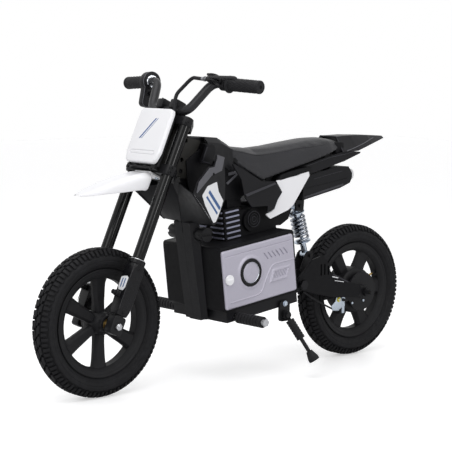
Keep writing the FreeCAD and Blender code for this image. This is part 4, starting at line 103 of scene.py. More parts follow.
class BikeColours(bpy.types.PropertyGroup):
    """Paints and mouldings."""

    plastic: FloatVectorProperty(
        name="Black plastic", description="Body mouldings", subtype="COLOR", default=shade(18, 18, 21))
    shroud: FloatVectorProperty(
        name="Shroud grey", description="Upper strip of the shrouds", subtype="COLOR",
        default=shade(88, 88, 93))
    white: FloatVectorProperty(
        name="White plastic", description="Fender, plate and rear panels", subtype="COLOR",
        default=shade(233, 233, 236))
    silver: FloatVectorProperty(
        name="Battery cover", description="Silver paint of the battery covers", subtype="COLOR",
        default=shade(176, 173, 186))
    tyre: FloatVectorProperty(name="Tyre", description="Tyre rubber", subtype="COLOR",
                              default=shade(23, 23, 25))
    seat: FloatVectorProperty(name="Seat", description="Seat cover", subtype="COLOR",
                              default=shade(28, 28, 32))
    bar: FloatVectorProperty(name="Handlebar", description="Satin bar paint", subtype="COLOR",
                             default=shade(42, 42, 44))
    gusset: FloatVectorProperty(
        name="Headstock", description="Warm dark paint of the headstock plates", subtype="COLOR",
        default=shade(40, 39, 37))
    stripe: FloatVectorProperty(
        name="Stripe", description="Blue of the plain stripes", subtype="COLOR", default=shade(44, 84, 138))


class BikeSizes(bpy.types.PropertyGroup):
    """Sizes of the visible detail, in millimetres where no unit is shown."""

    tread_depth: FloatProperty(name="Tread depth", description="Height of the tread blocks in mm",
                               default=4.6, min=1, max=8)
    tread_pitches: IntProperty(name="Tread pitches", description="Centre blocks in each row", default=44,
                               min=20, max=80)
    seat_swell: FloatProperty(
        name="Seat swell", description="Most that the cover moves when the foam fills it", subtype="DISTANCE",
        unit="LENGTH", default=0.003, min=0.001, max=0.016)
    spring_turns: FloatProperty(name="Spring turns", description="Turns of the shock's spring", default=6.0,
                                min=4, max=12)
    cover_grid: FloatProperty(
        name="Cover grid", description="Mesh step of the battery covers in mm", default=1.0, min=0.5, max=4)


class BikeStage(bpy.types.PropertyGroup):
    """Floor, light and camera."""

    floor: FloatVectorProperty(name="Floor", description="Colour of the floor", subtype="COLOR",
                               default=(0.86, 0.86, 0.87))
    key: FloatProperty(name="Key light", description="Power of the large overhead light", unit="POWER",
                       default=46, min=0)
    strip: FloatProperty(name="Strip light", description="Power of the tall side light", unit="POWER",
                         default=18, min=0)
    fill: FloatProperty(name="Fill", description="Strength of the surrounding light", default=0.45, min=0)
    lens: FloatProperty(name="Lens", description="Focal length in mm", default=122.22, min=20)


# Mesh drawing in millimetres.

def finished(name, bm, place, angle=32):
    """Turn a drawn mesh into an object in the shared frame, smooth except at sharp edges."""
    bmesh.ops.recalc_face_normals(bm, faces=bm.faces)
    bm.transform(place @ TO_METRES)
    mesh = bpy.data.meshes.new(name)
    bm.to_mesh(mesh)
    bm.free()
    mesh.shade_smooth()
    mesh.set_sharp_from_angle(angle=math.radians(angle))
    obj = bpy.data.objects.new(name, mesh)
    bpy.context.scene.collection.objects.link(obj)
    return obj


def rounded_edges(obj, width, segments=2, angle=32):
    """Round the object's sharp edges by a width in millimetres."""
    edges = obj.modifiers.new("Edges", "BEVEL")
    edges.width = width * MM
    edges.segments = segments
    edges.limit_method = "ANGLE"
    edges.angle_limit = math.radians(angle)
    edges.harden_normals = True
    return obj


def soft_surface(obj, levels=2):
    smooth = obj.modifiers.new("Surface", "SUBSURF")
    smooth.levels = levels
    smooth.render_levels = levels
    return obj


def dressed(obj, body, materials, slot, *nodes):
    """Give a piece its finishes and its place: the body it rides on and the nodes it stands for."""
    for material in materials if isinstance(materials, (list, tuple)) else [materials]:
        obj.data.materials.append(material)
    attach(obj, body)
    if nodes:
        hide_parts(*nodes)
    return obj


def settled(obj):
    """The object's mesh with its modifiers applied."""
    graph = bpy.context.evaluated_depsgraph_get()
    graph.update()
    mesh = bpy.data.meshes.new_from_object(obj.evaluated_get(graph))
    old = obj.data
    obj.modifiers.clear()
    obj.data = mesh
    mesh.name = old.name
    bpy.data.meshes.remove(old)
    return obj


def carved(obj, *cutters):
    """Cut the cutters' shapes out of an object and remove them."""
    for cutter in cutters:
        cut = obj.modifiers.new("Cut", "BOOLEAN")
        cut.operation = "DIFFERENCE"
        cut.solver = "EXACT"
        cut.object = cutter
    settled(obj)
    for cutter in cutters:
        mesh = cutter.data
        bpy.data.objects.remove(cutter)
        bpy.data.meshes.remove(mesh)
    return obj


def surface_of(obj):
    """The object's own surface, to find places on it and lay trims there."""
    mesh = obj.data
    return BVHTree.FromPolygons([v.co.copy() for v in mesh.vertices], [p.vertices[:] for p in mesh.polygons])


def lengthwise(side):
    """Draw in x and z, with depth counted outwards on one side of the bike."""
    return lambda u, v, w: Vector((u, side * w, v))


def on_face(place):
    """Draw in a frame's own x and y, with depth along its z."""
    return lambda u, v, w: place @ Vector((u, v, w))


def pointing(origin, line, hint=(0, 0, 1)):
    """A frame at a point with its z along a line."""
    z = Vector(line).normalized()
    x = Vector(hint) - z * Vector(hint).dot(z)
    x = (x if x.length > 0.01 else z.orthogonal()).normalized()
    return Matrix.Translation(origin) @ Matrix((x, z.cross(x), z)).transposed().to_4x4()


def rounded(points, radius, steps=4):
    """Round the corners of a closed outline."""
    out = []
    count = len(points)
    for i, corner in enumerate(points):
        corner = Vector(corner)
        back, ahead = Vector(points[i - 1]) - corner, Vector(points[(i + 1) % count]) - corner
        half = back.angle(ahead, math.pi) / 2
        if half > math.pi / 2 - 0.05:
            out.append(corner)
            continue
        reach = min(radius / math.tan(half), min(back.length, ahead.length) * 0.45)
        start, end = corner + back.normalized() * reach, corner + ahead.normalized() * reach
        for k in range(steps + 1):
            t = k / steps
            out.append(start * (1 - t) ** 2 + corner * (2 * t * (1 - t)) + end * t ** 2)
    return out


def inset(points, distance):
    """Move a closed outline inwards by a distance."""
    area = sum(a[0] * b[1] - b[0] * a[1] for a, b in zip(points, points[1:] + points[:1]))
    way = 1 if area > 0 else -1
    out = []
    count = len(points)
    for i in range(count):
        before, here, after = Vector(points[i - 1]), Vector(points[i]), Vector(points[(i + 1) % count])
        a = (here - before).normalized()
        b = (after - here).normalized()
        normal = Vector((-(a.y + b.y), a.x + b.x)) * way
        if normal.length < 1e-6:
            out.append(here)
            continue
        normal.normalize()
        lean = max(normal.dot(Vector((-a.y, a.x)) * way), 0.5)
        out.append(here + normal * (distance / lean))
    return out


def skin(bm, rings, closed=True, caps=True, material=0):
    """Join rings of points with faces."""
    rows = [[bm.verts.new(point) for point in ring] for ring in rings]
    count = len(rows[0])
    made = []
    for low, high in zip(rows, rows[1:]):
        for i in range(count if closed else count - 1):
            j = (i + 1) % count
            made.append(bm.faces.new((low[i], low[j], high[j], high[i])))
    if caps:
        made.append(bm.faces.new(rows[0]))
        made.append(bm.faces.new(rows[-1]))
    for face in made:
        face.material_index = material
    return rows


def plate(bm, points, draw, low, high, edge=1.0, steps=2, back_edge=None, material=0):
    """A plate from an outline, from one depth to another, its edges rounded."""
    points = [Vector(point[:2]) for point in points]
    back = edge if back_edge is None else back_edge
    rings = []
    for k in range(steps + 1 if back else 1):
        turn = math.pi / 2 * k / steps
        rings.append((back * (1 - math.sin(turn)), low + back * (1 - math.cos(turn))) if back else (0, low))
    for k in range(steps + 1 if edge else 1):
        turn = math.pi / 2 * k / steps
        rings.append((edge * (1 - math.cos(turn)), high - edge * (1 - math.sin(turn))) if edge else (0, high))
    shapes = []
    for amount, depth in rings:
        ring = inset(points, amount) if amount else points
        shapes.append([draw(point.x, point.y, depth) for point in ring])
    skin(bm, shapes, material=material)


def turned(bm, place, profile, segments=48, closed=False, material=0):
    """A turned form: pairs of radius and distance along a frame's z."""
    rows = []
    for radius, along in profile:
        if radius < 1e-6:
            rows.append([bm.verts.new(place @ Vector((0, 0, along)))])
            continue
        turns = [2 * math.pi * i / segments for i in range(segments)]
        spots = [Vector((radius * math.cos(a), radius * math.sin(a), along)) for a in turns]
        rows.append([bm.verts.new(place @ spot) for spot in spots])
    pairs = list(zip(rows, rows[1:] + rows[:1])) if closed else list(zip(rows, rows[1:]))
    for low, high in pairs:
        for i in range(segments):
            j = (i + 1) % segments
            if len(low) == 1 and len(high) == 1:
                continue
            if len(low) == 1:
                face = bm.faces.new((low[0], high[j], high[i]))
            elif len(high) == 1:
                face = bm.faces.new((low[i], low[j], high[0]))
            else:
                face = bm.faces.new((low[i], low[j], high[j], high[i]))
            face.material_index = material


def pin(bm, start, end, radius, chamfer=0.8, segments=28, material=0, end_radius=None):
    """A round bar with chamfered ends."""
    start, end = Vector(start), Vector(end)
    length = (end - start).length
    last = radius if end_radius is None else end_radius
    profile = [(0, 0), (radius - chamfer, 0), (radius, chamfer), (last, length - chamfer),
               (last - chamfer, length), (0, length)]
    turned(bm, pointing(start, end - start), profile, segments, material=material)


def hex_head(bm, start, line, radius, height, material=0, washer=0.0):
    """A hexagon nut or bolt head with a domed top, on a washer if one is given."""
    place = pointing(start, line)
    base = 0.0
    if washer:
        turned(bm, place, [(0, 0), (washer, 0), (washer, 1.0), (0, 1.0)], 32, material=material)
        base = 1.0
    turns = [math.pi / 3 * i for i in range(6)]
    corners = [Vector((radius * math.cos(a), radius * math.sin(a))) for a in turns]
    plate(bm, corners, on_face(place), base, height, 0.9, 2, 0, material)


def socket_bolt(bm, start, line, radius, height, material=0):
    """A round bolt head with a hollow in its middle."""
    profile = [(0, height * 0.45), (radius * 0.5, height * 0.45), (radius * 0.55, height),
               (radius - 0.6, height), (radius, height - 0.6), (radius, 0), (0, 0)]
    turned(bm, pointing(start, line), profile, 24, material=material)


def swept(bm, points, radius, segments=20, material=0, caps=True, radii=None):
    """A round form along a line of points."""
    points = [Vector(point) for point in points]
    normal = None
    rings = []
    for i, point in enumerate(points):
        line = (points[min(i + 1, len(points) - 1)] - points[max(i - 1, 0)]).normalized()
        if normal is None:
            normal = line.orthogonal().normalized()
        else:
            normal = (normal - line * normal.dot(line)).normalized()
        other = line.cross(normal)
        size = radii[i] if radii else radius
        turns = [2 * math.pi * k / segments for k in range(segments)]
        rings.append([point + (normal * math.cos(a) + other * math.sin(a)) * size for a in turns])
    skin(bm, rings, caps=caps, material=material)


def bent(points, radius, steps=10):
    """Straight runs joined by smooth bends, as a line of points."""
    out = [Vector(points[0])]
    for i in range(1, len(points) - 1):
        corner = Vector(points[i])
        back, ahead = Vector(points[i - 1]) - corner, Vector(points[i + 1]) - corner
        half = back.angle(ahead) / 2
        reach = min(radius / math.tan(half), min(back.length, ahead.length) * 0.45)
        start, end = corner + back.normalized() * reach, corner + ahead.normalized() * reach
        for k in range(steps + 1):
            t = k / steps
            out.append(start * (1 - t) ** 2 + corner * (2 * t * (1 - t)) + end * t ** 2)
    out.append(Vector(points[-1]))
    return out


def brick(bm, low, high, draw, edge=1.0, material=0):
    """A block with rounded edges: low and high are corners in a drawing's own three directions."""
    outline = [(low[0], low[1]), (high[0], low[1]), (high[0], high[1]), (low[0], high[1])]
    plate(bm, rounded(outline, edge * 1.5, 2), draw, low[2], high[2], edge, 2, material=material)


def straight(u, v, w):
    return Vector((u, v, w))


def ease(low, high, value):
    share = min(max((value - low) / (high - low), 0.0), 1.0)
    return share * share * (3 - 2 * share)


def run_distance(x, z, line):
    """Distance from a point to a line of points, in the plane."""
    least = 1e9
    for (ax, az), (bx, bz) in zip(line, line[1:]):
        dx, dz = bx - ax, bz - az
        t = min(max(((x - ax) * dx + (z - az) * dz) / (dx * dx + dz * dz), 0), 1)
        least = min(least, math.hypot(x - ax - t * dx, z - az - t * dz))
    return least


# Finishes.

FINISHES = {}


def new_finish(name, colour):
    material = bpy.data.materials.new(name)
    material.use_nodes = True
    material.diffuse_color = (*colour, 1)
    FINISHES[name] = material
    return material, material.node_tree.nodes, material.node_tree.links


def noise(nodes, links, where, scale, detail=3.0, rough=0.55):
    node = nodes.new("ShaderNodeTexNoise")
    node.inputs["Scale"].default_value = scale
    node.inputs["Detail"].default_value = detail
    node.inputs["Roughness"].default_value = rough
    links.new(where, node.inputs["Vector"])
    return node.outputs["Fac"]


def ramp(nodes, links, source, stops):
    node = nodes.new("ShaderNodeValToRGB")
    while len(node.color_ramp.elements) < len(stops):
        node.color_ramp.elements.new(0.5)
    for element, (place, colour) in zip(node.color_ramp.elements, stops):
        element.position = place
        element.color = (*colour, 1)
    links.new(source, node.inputs["Fac"])
    return node.outputs["Color"]


def spread(nodes, links, source, low, high):
    node = nodes.new("ShaderNodeMapRange")
    node.inputs["From Min"].default_value = 0.3
    node.inputs["From Max"].default_value = 0.7
    node.inputs["To Min"].default_value = low
    node.inputs["To Max"].default_value = high
    links.new(source, node.inputs["Value"])
    return node.outputs["Result"]


def bump(nodes, links, height, strength, depth, before=None):
    node = nodes.new("ShaderNodeBump")
    node.inputs["Strength"].default_value = strength
    node.inputs["Distance"].default_value = depth
    links.new(height, node.inputs["Height"])
    if before is not None:
        links.new(before, node.inputs["Normal"])
    return node.outputs["Normal"]


def finish(name, colour, rough, metal=0.0, vary=0.10, cloud=11.0, dapple=0.06, grain=0.12, grain_scale=900.0,
           grain_depth=0.0003, coat=0.0, specular=0.5, sheen=0.0, flakes=False):
    """A moulded, painted or metal finish: cloudy colour, uneven gloss and a fine grain."""
    material, nodes, links = new_finish(name, colour)
    shader = nodes["Principled BSDF"]
    where = nodes.new("ShaderNodeTexCoord").outputs["Object"]
    dark = tuple(c * (1 - vary) for c in colour)
    light = tuple(min(c * (1 + vary), 1) for c in colour)
    if flakes:
        cells = nodes.new("ShaderNodeTexVoronoi")
        cells.inputs["Scale"].default_value = 2600.0
        links.new(where, cells.inputs["Vector"])
        links.new(ramp(nodes, links, cells.outputs["Distance"], [(0.1, light), (0.7, dark)]),
                  shader.inputs["Base Color"])
    else:
        source = noise(nodes, links, where, cloud, 5.0)
        links.new(ramp(nodes, links, source, [(0.32, dark), (0.68, light)]), shader.inputs["Base Color"])
    gloss = noise(nodes, links, where, 70.0, 4.0)
    links.new(spread(nodes, links, gloss, max(rough - dapple, 0.02), min(rough + dapple, 1)),
              shader.inputs["Roughness"])
    if grain:
        links.new(bump(nodes, links, noise(nodes, links, where, grain_scale, 2.0), grain, grain_depth),
                  shader.inputs["Normal"])
    shader.inputs["Metallic"].default_value = metal
    shader.inputs["Specular IOR Level"].default_value = specular
    shader.inputs["Coat Weight"].default_value = coat
    shader.inputs["Coat Roughness"].default_value = 0.12
    shader.inputs["Sheen Weight"].default_value = sheen
    shader.inputs["Sheen Roughness"].default_value = 0.4
    return material


def seat_finish(name, colour):
    """Embossed vinyl: small cells, soft sheen and a cloudy tone."""
    material, nodes, links = new_finish(name, colour)
    shader = nodes["Principled BSDF"]
    where = nodes.new("ShaderNodeTexCoord").outputs["Object"]
    tone = noise(nodes, links, where, 16.0, 6.0)
    links.new(ramp(nodes, links, tone,
                   [(0.3, tuple(c * 0.86 for c in colour)), (0.7, tuple(c * 1.12 for c in colour))]),
              shader.inputs["Base Color"])
    links.new(spread(nodes, links, noise(nodes, links, where, 260.0, 3.0), 0.40, 0.54),
              shader.inputs["Roughness"])
    cells = nodes.new("ShaderNodeTexVoronoi")
    cells.feature = "DISTANCE_TO_EDGE"
    cells.inputs["Scale"].default_value = 700.0
    links.new(where, cells.inputs["Vector"])
    hide = bump(nodes, links, cells.outputs["Distance"], 0.35, 0.0004)
    links.new(bump(nodes, links, noise(nodes, links, where, 45.0, 4.0), 0.12, 0.002, hide),
              shader.inputs["Normal"])
    shader.inputs["Specular IOR Level"].default_value = 0.3
    shader.inputs["Sheen Weight"].default_value = 0.06
    shader.inputs["Sheen Roughness"].default_value = 0.45
    return material


def rubber_finish(name, colour, rough=0.72):
    """Rubber with a dusty bloom and a fine moulding grain."""
    material, nodes, links = new_finish(name, colour)
    shader = nodes["Principled BSDF"]
    where = nodes.new("ShaderNodeTexCoord").outputs["Object"]
    tone = noise(nodes, links, where, 28.0, 7.0, 0.65)
    links.new(ramp(nodes, links, tone,
                   [(0.30, tuple(c * 0.8 for c in colour)), (0.72, tuple(c * 1.25 for c in colour))]),
              shader.inputs["Base Color"])
    links.new(spread(nodes, links, noise(nodes, links, where, 120.0, 3.0), rough - 0.1, rough + 0.1),
              shader.inputs["Roughness"])
    links.new(bump(nodes, links, noise(nodes, links, where, 1300.0, 3.0), 0.3, 0.0004),
              shader.inputs["Normal"])
    shader.inputs["Specular IOR Level"].default_value = 0.16
    return material


def brushed_finish(name, colour, rough, metal=1.0):
    """Metal with fine lines along the bike."""
    material, nodes, links = new_finish(name, colour)
    shader = nodes["Principled BSDF"]
    coords = nodes.new("ShaderNodeTexCoord").outputs["Object"]
    stretch = nodes.new("ShaderNodeMapping")
    stretch.inputs["Scale"].default_value = (60.0, 900.0, 900.0)
    links.new(coords, stretch.inputs["Vector"])
    lines = noise(nodes, links, stretch.outputs["Vector"], 1.0, 3.0)
    links.new(ramp(nodes, links, lines,
                   [(0.3, tuple(c * 0.88 for c in colour)), (0.7, tuple(min(c * 1.08, 1) for c in colour))]),
              shader.inputs["Base Color"])
    links.new(spread(nodes, links, lines, rough - 0.05, rough + 0.08), shader.inputs["Roughness"])
    links.new(bump(nodes, links, lines, 0.08, 0.0002), shader.inputs["Normal"])
    shader.inputs["Metallic"].default_value = metal
    return material


class MakeFinishes(bpy.types.Operator):
    """Make every finish that the pieces share."""

    bl_idname = "motorbike.finishes"
    bl_label = "Finishes"

    def execute(self, context):
        paint = context.scene.motorbike_colours
        plastic = tuple(paint.plastic)
        finish("black_plastic", plastic, 0.44, grain=0.16, vary=0.10, specular=0.17)
        # Darker plastic of several mouldings; it also colours the bead in the muffler's groove, a painted
        # shade.
        finish("dark_plastic_and_groove_shade", tuple(c * 0.62 for c in plastic), 0.55, grain=0.2, specular=0.12)
        finish("smooth_plastic", tuple(c * 0.8 for c in plastic), 0.28, grain=0.04, specular=0.2)
        finish("grey_plastic", tuple(paint.shroud), 0.46, grain=0.16, vary=0.06, specular=0.2)
        # A lit copy of the black plastic, four times as bright: painted highlight on the edge, ridge and ring
        # trims laid on the body.
        finish("highlight_plastic", tuple(c * 4.0 for c in plastic), 0.4, grain=0.12, vary=0.08, specular=0.24)
        finish("white_plastic", tuple(paint.white), 0.34, vary=0.015, grain=0.04, cloud=6.0, coat=0.15)
        finish("silver_paint", tuple(paint.silver), 0.42, metal=0.25, vary=0.05, grain=0.05, flakes=True)
        finish("black_paint", shade(12, 12, 13), 0.11, vary=0.12, grain=0.02, specular=0.2)
        finish("satin_black", shade(22, 22, 24), 0.4, vary=0.12, grain=0.08, specular=0.17)
        finish("cast_black", shade(23, 23, 25), 0.5, vary=0.12, grain=0.3, grain_scale=600.0, specular=0.16)
        # Satin bar paint; it also colours the thin beads on the fork guards, a painted highlight.
        finish("bar_paint_and_guard_highlight", tuple(paint.bar), 0.34, metal=0.3, vary=0.06, grain=0.05, specular=0.25)
        finish("gusset_paint", tuple(paint.gusset), 0.4, metal=0.1, vary=0.08, grain=0.1, specular=0.22)
        finish("chrome", shade(212, 216, 222), 0.12, metal=1.0, vary=0.03, dapple=0.04, grain=0.02)
        finish("spring_steel", shade(150, 154, 162), 0.2, metal=1.0, vary=0.05, dapple=0.05, grain=0.03)
        finish("zinc", shade(186, 196, 208), 0.3, metal=1.0, vary=0.08, cloud=40.0, dapple=0.1, grain=0.08)
        finish("fin_alloy", shade(150, 152, 172), 0.34, metal=0.6, vary=0.05, grain=0.06)
        finish("brass", shade(168, 140, 84), 0.3, metal=1.0, vary=0.1, cloud=60.0, grain=0.05)
        finish("nut_yellow", shade(206, 196, 70), 0.36, metal=0.5, vary=0.08, cloud=60.0, grain=0.05)
        finish("stripe_blue", tuple(paint.stripe), 0.36, vary=0.04, grain=0.03, cloud=30.0)
        # Decal white; it also colours the thin line on each shroud's lower front edge, a painted highlight.
        finish("decal_and_highlight_white", shade(228, 229, 232), 0.34, vary=0.02, grain=0.03, cloud=30.0)
        finish("socket_black", shade(22, 22, 24), 0.5, vary=0.1, grain=0.15, specular=0.2)
        brushed_finish("bright_steel", shade(186, 187, 190), 0.26)
        brushed_finish("grey_steel", shade(120, 121, 124), 0.36)
        rubber_finish("tyre_rubber", tuple(paint.tyre), 0.66)
        rubber_finish("grip_rubber", shade(30, 30, 32), 0.6)
        seat_finish("seat_vinyl", tuple(paint.seat))
        return {"FINISHED"}


# Wheels.

TYRE_LINE = [(178.0, 0.0), (178.0, 6.0), (178.0, 12.0), (176.2, 16.4), (173.6, 20.2), (170.2, 23.6),
             (165.0, 26.6), (158.0, 28.7), (150.0, 29.4), (142.0, 28.0), (136.0, 24.4), (131.5, 19.2),
             (129.0, 17.6), (124.0, 17.6)]

WALL_GROOVES = ((0.9, 46.6, 47.4, 49.0, 49.8), (0.7, 59.0, 59.8, 61.0, 61.8))
TREAD_ROOT = 0.4
CENTRE_BLOCK = ((1.3, -3.6), (5.6, -3.6), (8.2, 3.6), (12.0, 3.6), (14.6, 3.4))
SHOULDER_BLOCK = ((17.0, 1.1), (20.5, 1.05), (24.5, 1.0), (28.5, 0.95))
SHOULDER_ENDS = ((0.18, 35.5), (0.68, 31.5))
CENTRE_SHARE = 0.37
SHOULDER_SHARE = 0.15
RIM_LINE = [(124.0, 17.4), (128.6, 18.2), (129.8, 19.6), (129.8, 21.2), (128.8, 22.0), (126.4, 22.0),
            (123.6, 20.6), (118.0, 20.4), (116.0, 19.6), (108.6, 13.6), (106.6, 11.0)]
SPOKE_SECTION = ((1, 0.38), (0.62, 1), (-0.62, 1), (-1, 0.38), (-1, -0.38), (-0.62, -1), (0.62, -1),
                 (1, -0.38))
SPOKES = 6
FRONT_HUB = [(15.2, 39.6), (21.0, 39.6), (22.0, 38.6), (22.4, 30.0), (27.0, 22.0), (28.0, 19.0), (28.0, 0.0)]
FRONT_SPOKE = [(20, 12.0, 15.0), (30, 13.2, 14.6), (42, 14.4, 12.8), (62, 16.0, 11.4), (86, 17.8, 10.6),
               (102, 20.0, 10.8), (109, 24.5, 11.6)]
REAR_HUB = [(7.0, 33.6), (40.0, 33.6), (52.0, 33.0), (58.0, 31.0), (61.4, 27.0), (62.0, 22.0), (62.0, 0.0)]
REAR_SPOKE = [(56, 18.5, 14.0), (66, 19.4, 13.4), (80, 20.4, 11.6), (96, 21.8, 10.8), (103, 23.6, 11.0),
              (109, 28.0, 11.6)]
BEARING_LINE = [(6.2, 39.9), (7.6, 39.9), (8.0, 39.2), (12.8, 39.2), (13.2, 39.9), (15.0, 39.9), (15.0, 30.0),
                (6.2, 30.0)]
DRUM_LIP = [(39.2, 34.2), (39.2, 44.8), (43.6, 44.8), (44.0, 44.2), (44.0, 34.2)]
DRUM_BOLTS = 8
DRUM_RIBS = 24
VALVE_SEAT = 107.5
VALVE_FOOT = [(0, 0), (4.6, 0), (4.2, 4.0), (3.0, 6.0), (3.0, 9.0), (0, 9.0)]
VALVE_CAP = [(0, 0), (2.6, 0), (2.6, 9.0), (2.0, 10.4), (0, 10.4)]


class TyreSection:
    """Half of the tyre's section by distance from the crown's middle, with the way inwards at each place."""

    def __init__(self):
        self.places = [0.0]
        for a, b in zip(TYRE_LINE, TYRE_LINE[1:]):
            self.places.append(self.places[-1] + math.dist(a, b))

    def point(self, place, depth=0.0):
        side = 1 if place >= 0 else -1
        place = min(abs(place), self.places[-1] - 1e-6)
        i = max(k for k, start in enumerate(self.places) if start <= place)
        i = min(i, len(TYRE_LINE) - 2)
        t = (place - self.places[i]) / (self.places[i + 1] - self.places[i])
        (ar, ay), (br, by) = TYRE_LINE[i], TYRE_LINE[i + 1]
        before, after = TYRE_LINE[max(i - 1, 0)], TYRE_LINE[min(i + 2, len(TYRE_LINE) - 1)]
        start_way = Vector((br - before[0], by - before[1])).normalized()
        end_way = Vector((after[0] - ar, after[1] - ay)).normalized()
        way = (start_way * (1 - t) + end_way * t).normalized()
        radius = ar + (br - ar) * t - way.y * depth
        across = ay + (by - ay) * t + way.x * depth
        return radius, side * across


def tread_block(bm, section, turn, stations, depth, draft=0.7):
    """One tread block: at each place across the tyre, where it starts and ends along the tread."""
    rows = []
    root = depth + TREAD_ROOT
    for k, (place, start, end) in enumerate(stations):
        slip = draft if k == 0 else -draft if k == len(stations) - 1 else 0.0
        row = []
        for along, drop in ((start - draft, root), (start + draft * 0.3, 0), (end - draft * 0.3, 0),
                            (end + draft, root)):
            radius, across = section.point(place + (slip if drop == 0 else -slip), drop)
            angle = turn + along / TYRE_RADIUS
            row.append(bm.verts.new((radius * math.cos(angle), across, radius * math.sin(angle))))
        rows.append(row)
    for low, high in zip(rows, rows[1:]):
        for i in range(3):
            bm.faces.new((low[i], low[i + 1], high[i + 1], high[i]))
    bm.faces.new(rows[0])
    bm.faces.new(rows[-1])


def make_tyre(name, place, body, node, depth, pitches):
    section = TyreSection()
    bm = bmesh.new()
    profile = []
    count = 56
    end = section.places[-1]
    for k in range(-count, count + 1):
        where = end * k / count
        far = abs(where)
        drop = depth * (1 - ease(33.0, 40.0, far))
        for groove, start, floor, rise, top in WALL_GROOVES:
            drop += groove * (ease(start, floor, far) - ease(rise, top, far))
        radius, across = section.point(where, drop)
        profile.append((radius, across))
    inner = [(profile[-1][0] - 1, profile[-1][1] - 6), (profile[0][0] - 1, profile[0][1] + 6)]
    turned(bm, ACROSS, profile + inner, 144, closed=True)
    step = 2 * math.pi / pitches
    arc = step * TYRE_RADIUS
    half = arc * CENTRE_SHARE
    for i in range(pitches):
        for side in (1, -1):
            turn = step * (i + (0.5 if side < 0 else 0.0))
            stations = []
            for where, slip in CENTRE_BLOCK:
                stations.append((side * where, slip * side - half, slip * side + half))
            tread_block(bm, section, turn, stations, depth)
            for extra, reach in SHOULDER_ENDS:
                width = arc * SHOULDER_SHARE
                block = SHOULDER_BLOCK + ((reach, 0.85),)
                stations = [(side * where, -width * grow, width * grow) for where, grow in block]
                tread_block(bm, section, turn + extra * step, stations, depth, 0.5)
    tyre = finished(name, bm, place, 30)
    return dressed(tyre, body, FINISHES["tyre_rubber"], "tyre", node)


def make_rim(name, place, body, node, hub_line, spokes, first):
    bm = bmesh.new()
    turned(bm, ACROSS, RIM_LINE + [(radius, -across) for radius, across in reversed(RIM_LINE)], 120,
           closed=True)
    turned(bm, ACROSS, hub_line + [(radius, -across) for radius, across in reversed(hub_line)], 64)
    for i in range(SPOKES):
        turn = first + i * math.pi / 3
        out = Vector((math.cos(turn), 0, math.sin(turn)))
        along = Vector((-math.sin(turn), 0, math.cos(turn)))
        rings = []
        for radius, wide, thick in spokes:
            ring = []
            for across, deep in SPOKE_SECTION:
                ring.append(out * radius + along * (across * wide) + Vector((0, deep * thick, 0)))
            rings.append(ring)
        skin(bm, rings)
    rim = finished(name, bm, place, 30)
    rounded_edges(rim, 0.9, 2, 24)
    return dressed(rim, body, FINISHES["cast_black"], "cast_black", node)


class MakeWheels(bpy.types.Operator):
    """Tyres with their tread, cast rims, hub bolts and the tyre valves."""

    bl_idname = "motorbike.wheels"
    bl_label = "Wheels"

    def execute(self, context):
        sizes = context.scene.motorbike_sizes
        make_tyre("front_tyre_tread", FRONT_WHEEL, "front_wheel", "front_tyre", sizes.tread_depth,
                  sizes.tread_pitches)
        make_tyre("rear_tyre_tread", REAR_WHEEL, "rear_wheel", "rear_tyre", sizes.tread_depth,
                  sizes.tread_pitches)
        upright = math.pi / 2
        make_rim("front_cast_rim", FRONT_WHEEL, "front_wheel", "front_rim", FRONT_HUB, FRONT_SPOKE, upright)
        make_rim("rear_cast_rim", REAR_WHEEL, "rear_wheel", "rear_rim", REAR_HUB, REAR_SPOKE,
                 upright + math.pi / 6)

        bm = bmesh.new()
        for side in (1, -1):
            turned(bm, ACROSS, [(radius, across * side) for radius, across in BEARING_LINE], 48, closed=True)
        dressed(finished("front_hub_bearings", bm, FRONT_WHEEL), "front_wheel", FINISHES["brass"],
                "bright_steel")

        bm = bmesh.new()
        turned(bm, ACROSS, DRUM_LIP, 72, closed=True)
        for i in range(DRUM_BOLTS):
            turn = math.pi / 8 + i * math.pi / 4
            spot = Vector((54 * math.cos(turn), 0, 54 * math.sin(turn)))
            socket_bolt(bm, spot + Vector((0, -32.5, 0)), (0, -1, 0), 3.6, 2.6)
        for i in range(DRUM_RIBS):
            turn = i * math.pi / 12
            spot = Vector((math.cos(turn), 0, math.sin(turn)))
            flat = pointing(spot * 24 - Vector((0, 33.4, 0)), (0, -1, 0), spot)
            brick(bm, (0, -1.1, -0.6), (20, 1.1, 1.0), on_face(flat), 0.4)
        dressed(finished("motor_drum", bm, REAR_WHEEL), "rear_wheel", FINISHES["satin_black"], "cast_black")

        valves = (("front_valve", FRONT_WHEEL, "front_wheel", 2.5),
                  ("rear_valve", REAR_WHEEL, "rear_wheel", 2.78))
        for name, place, body, turn in valves:
            bm = bmesh.new()
            out = Vector((math.cos(turn), 0, math.sin(turn)))
            seat = out * VALVE_SEAT
            turned(bm, pointing(seat, -out), VALVE_FOOT, 20)
            turned(bm, pointing(seat - out * VALVE_FOOT[-1][1], -out), VALVE_CAP, 20, material=1)
            valve = finished(name, bm, place)
            dressed(valve, body, [FINISHES["grip_rubber"], FINISHES["brass"]], "rubber")
        return {"FINISHED"}


# Fork.

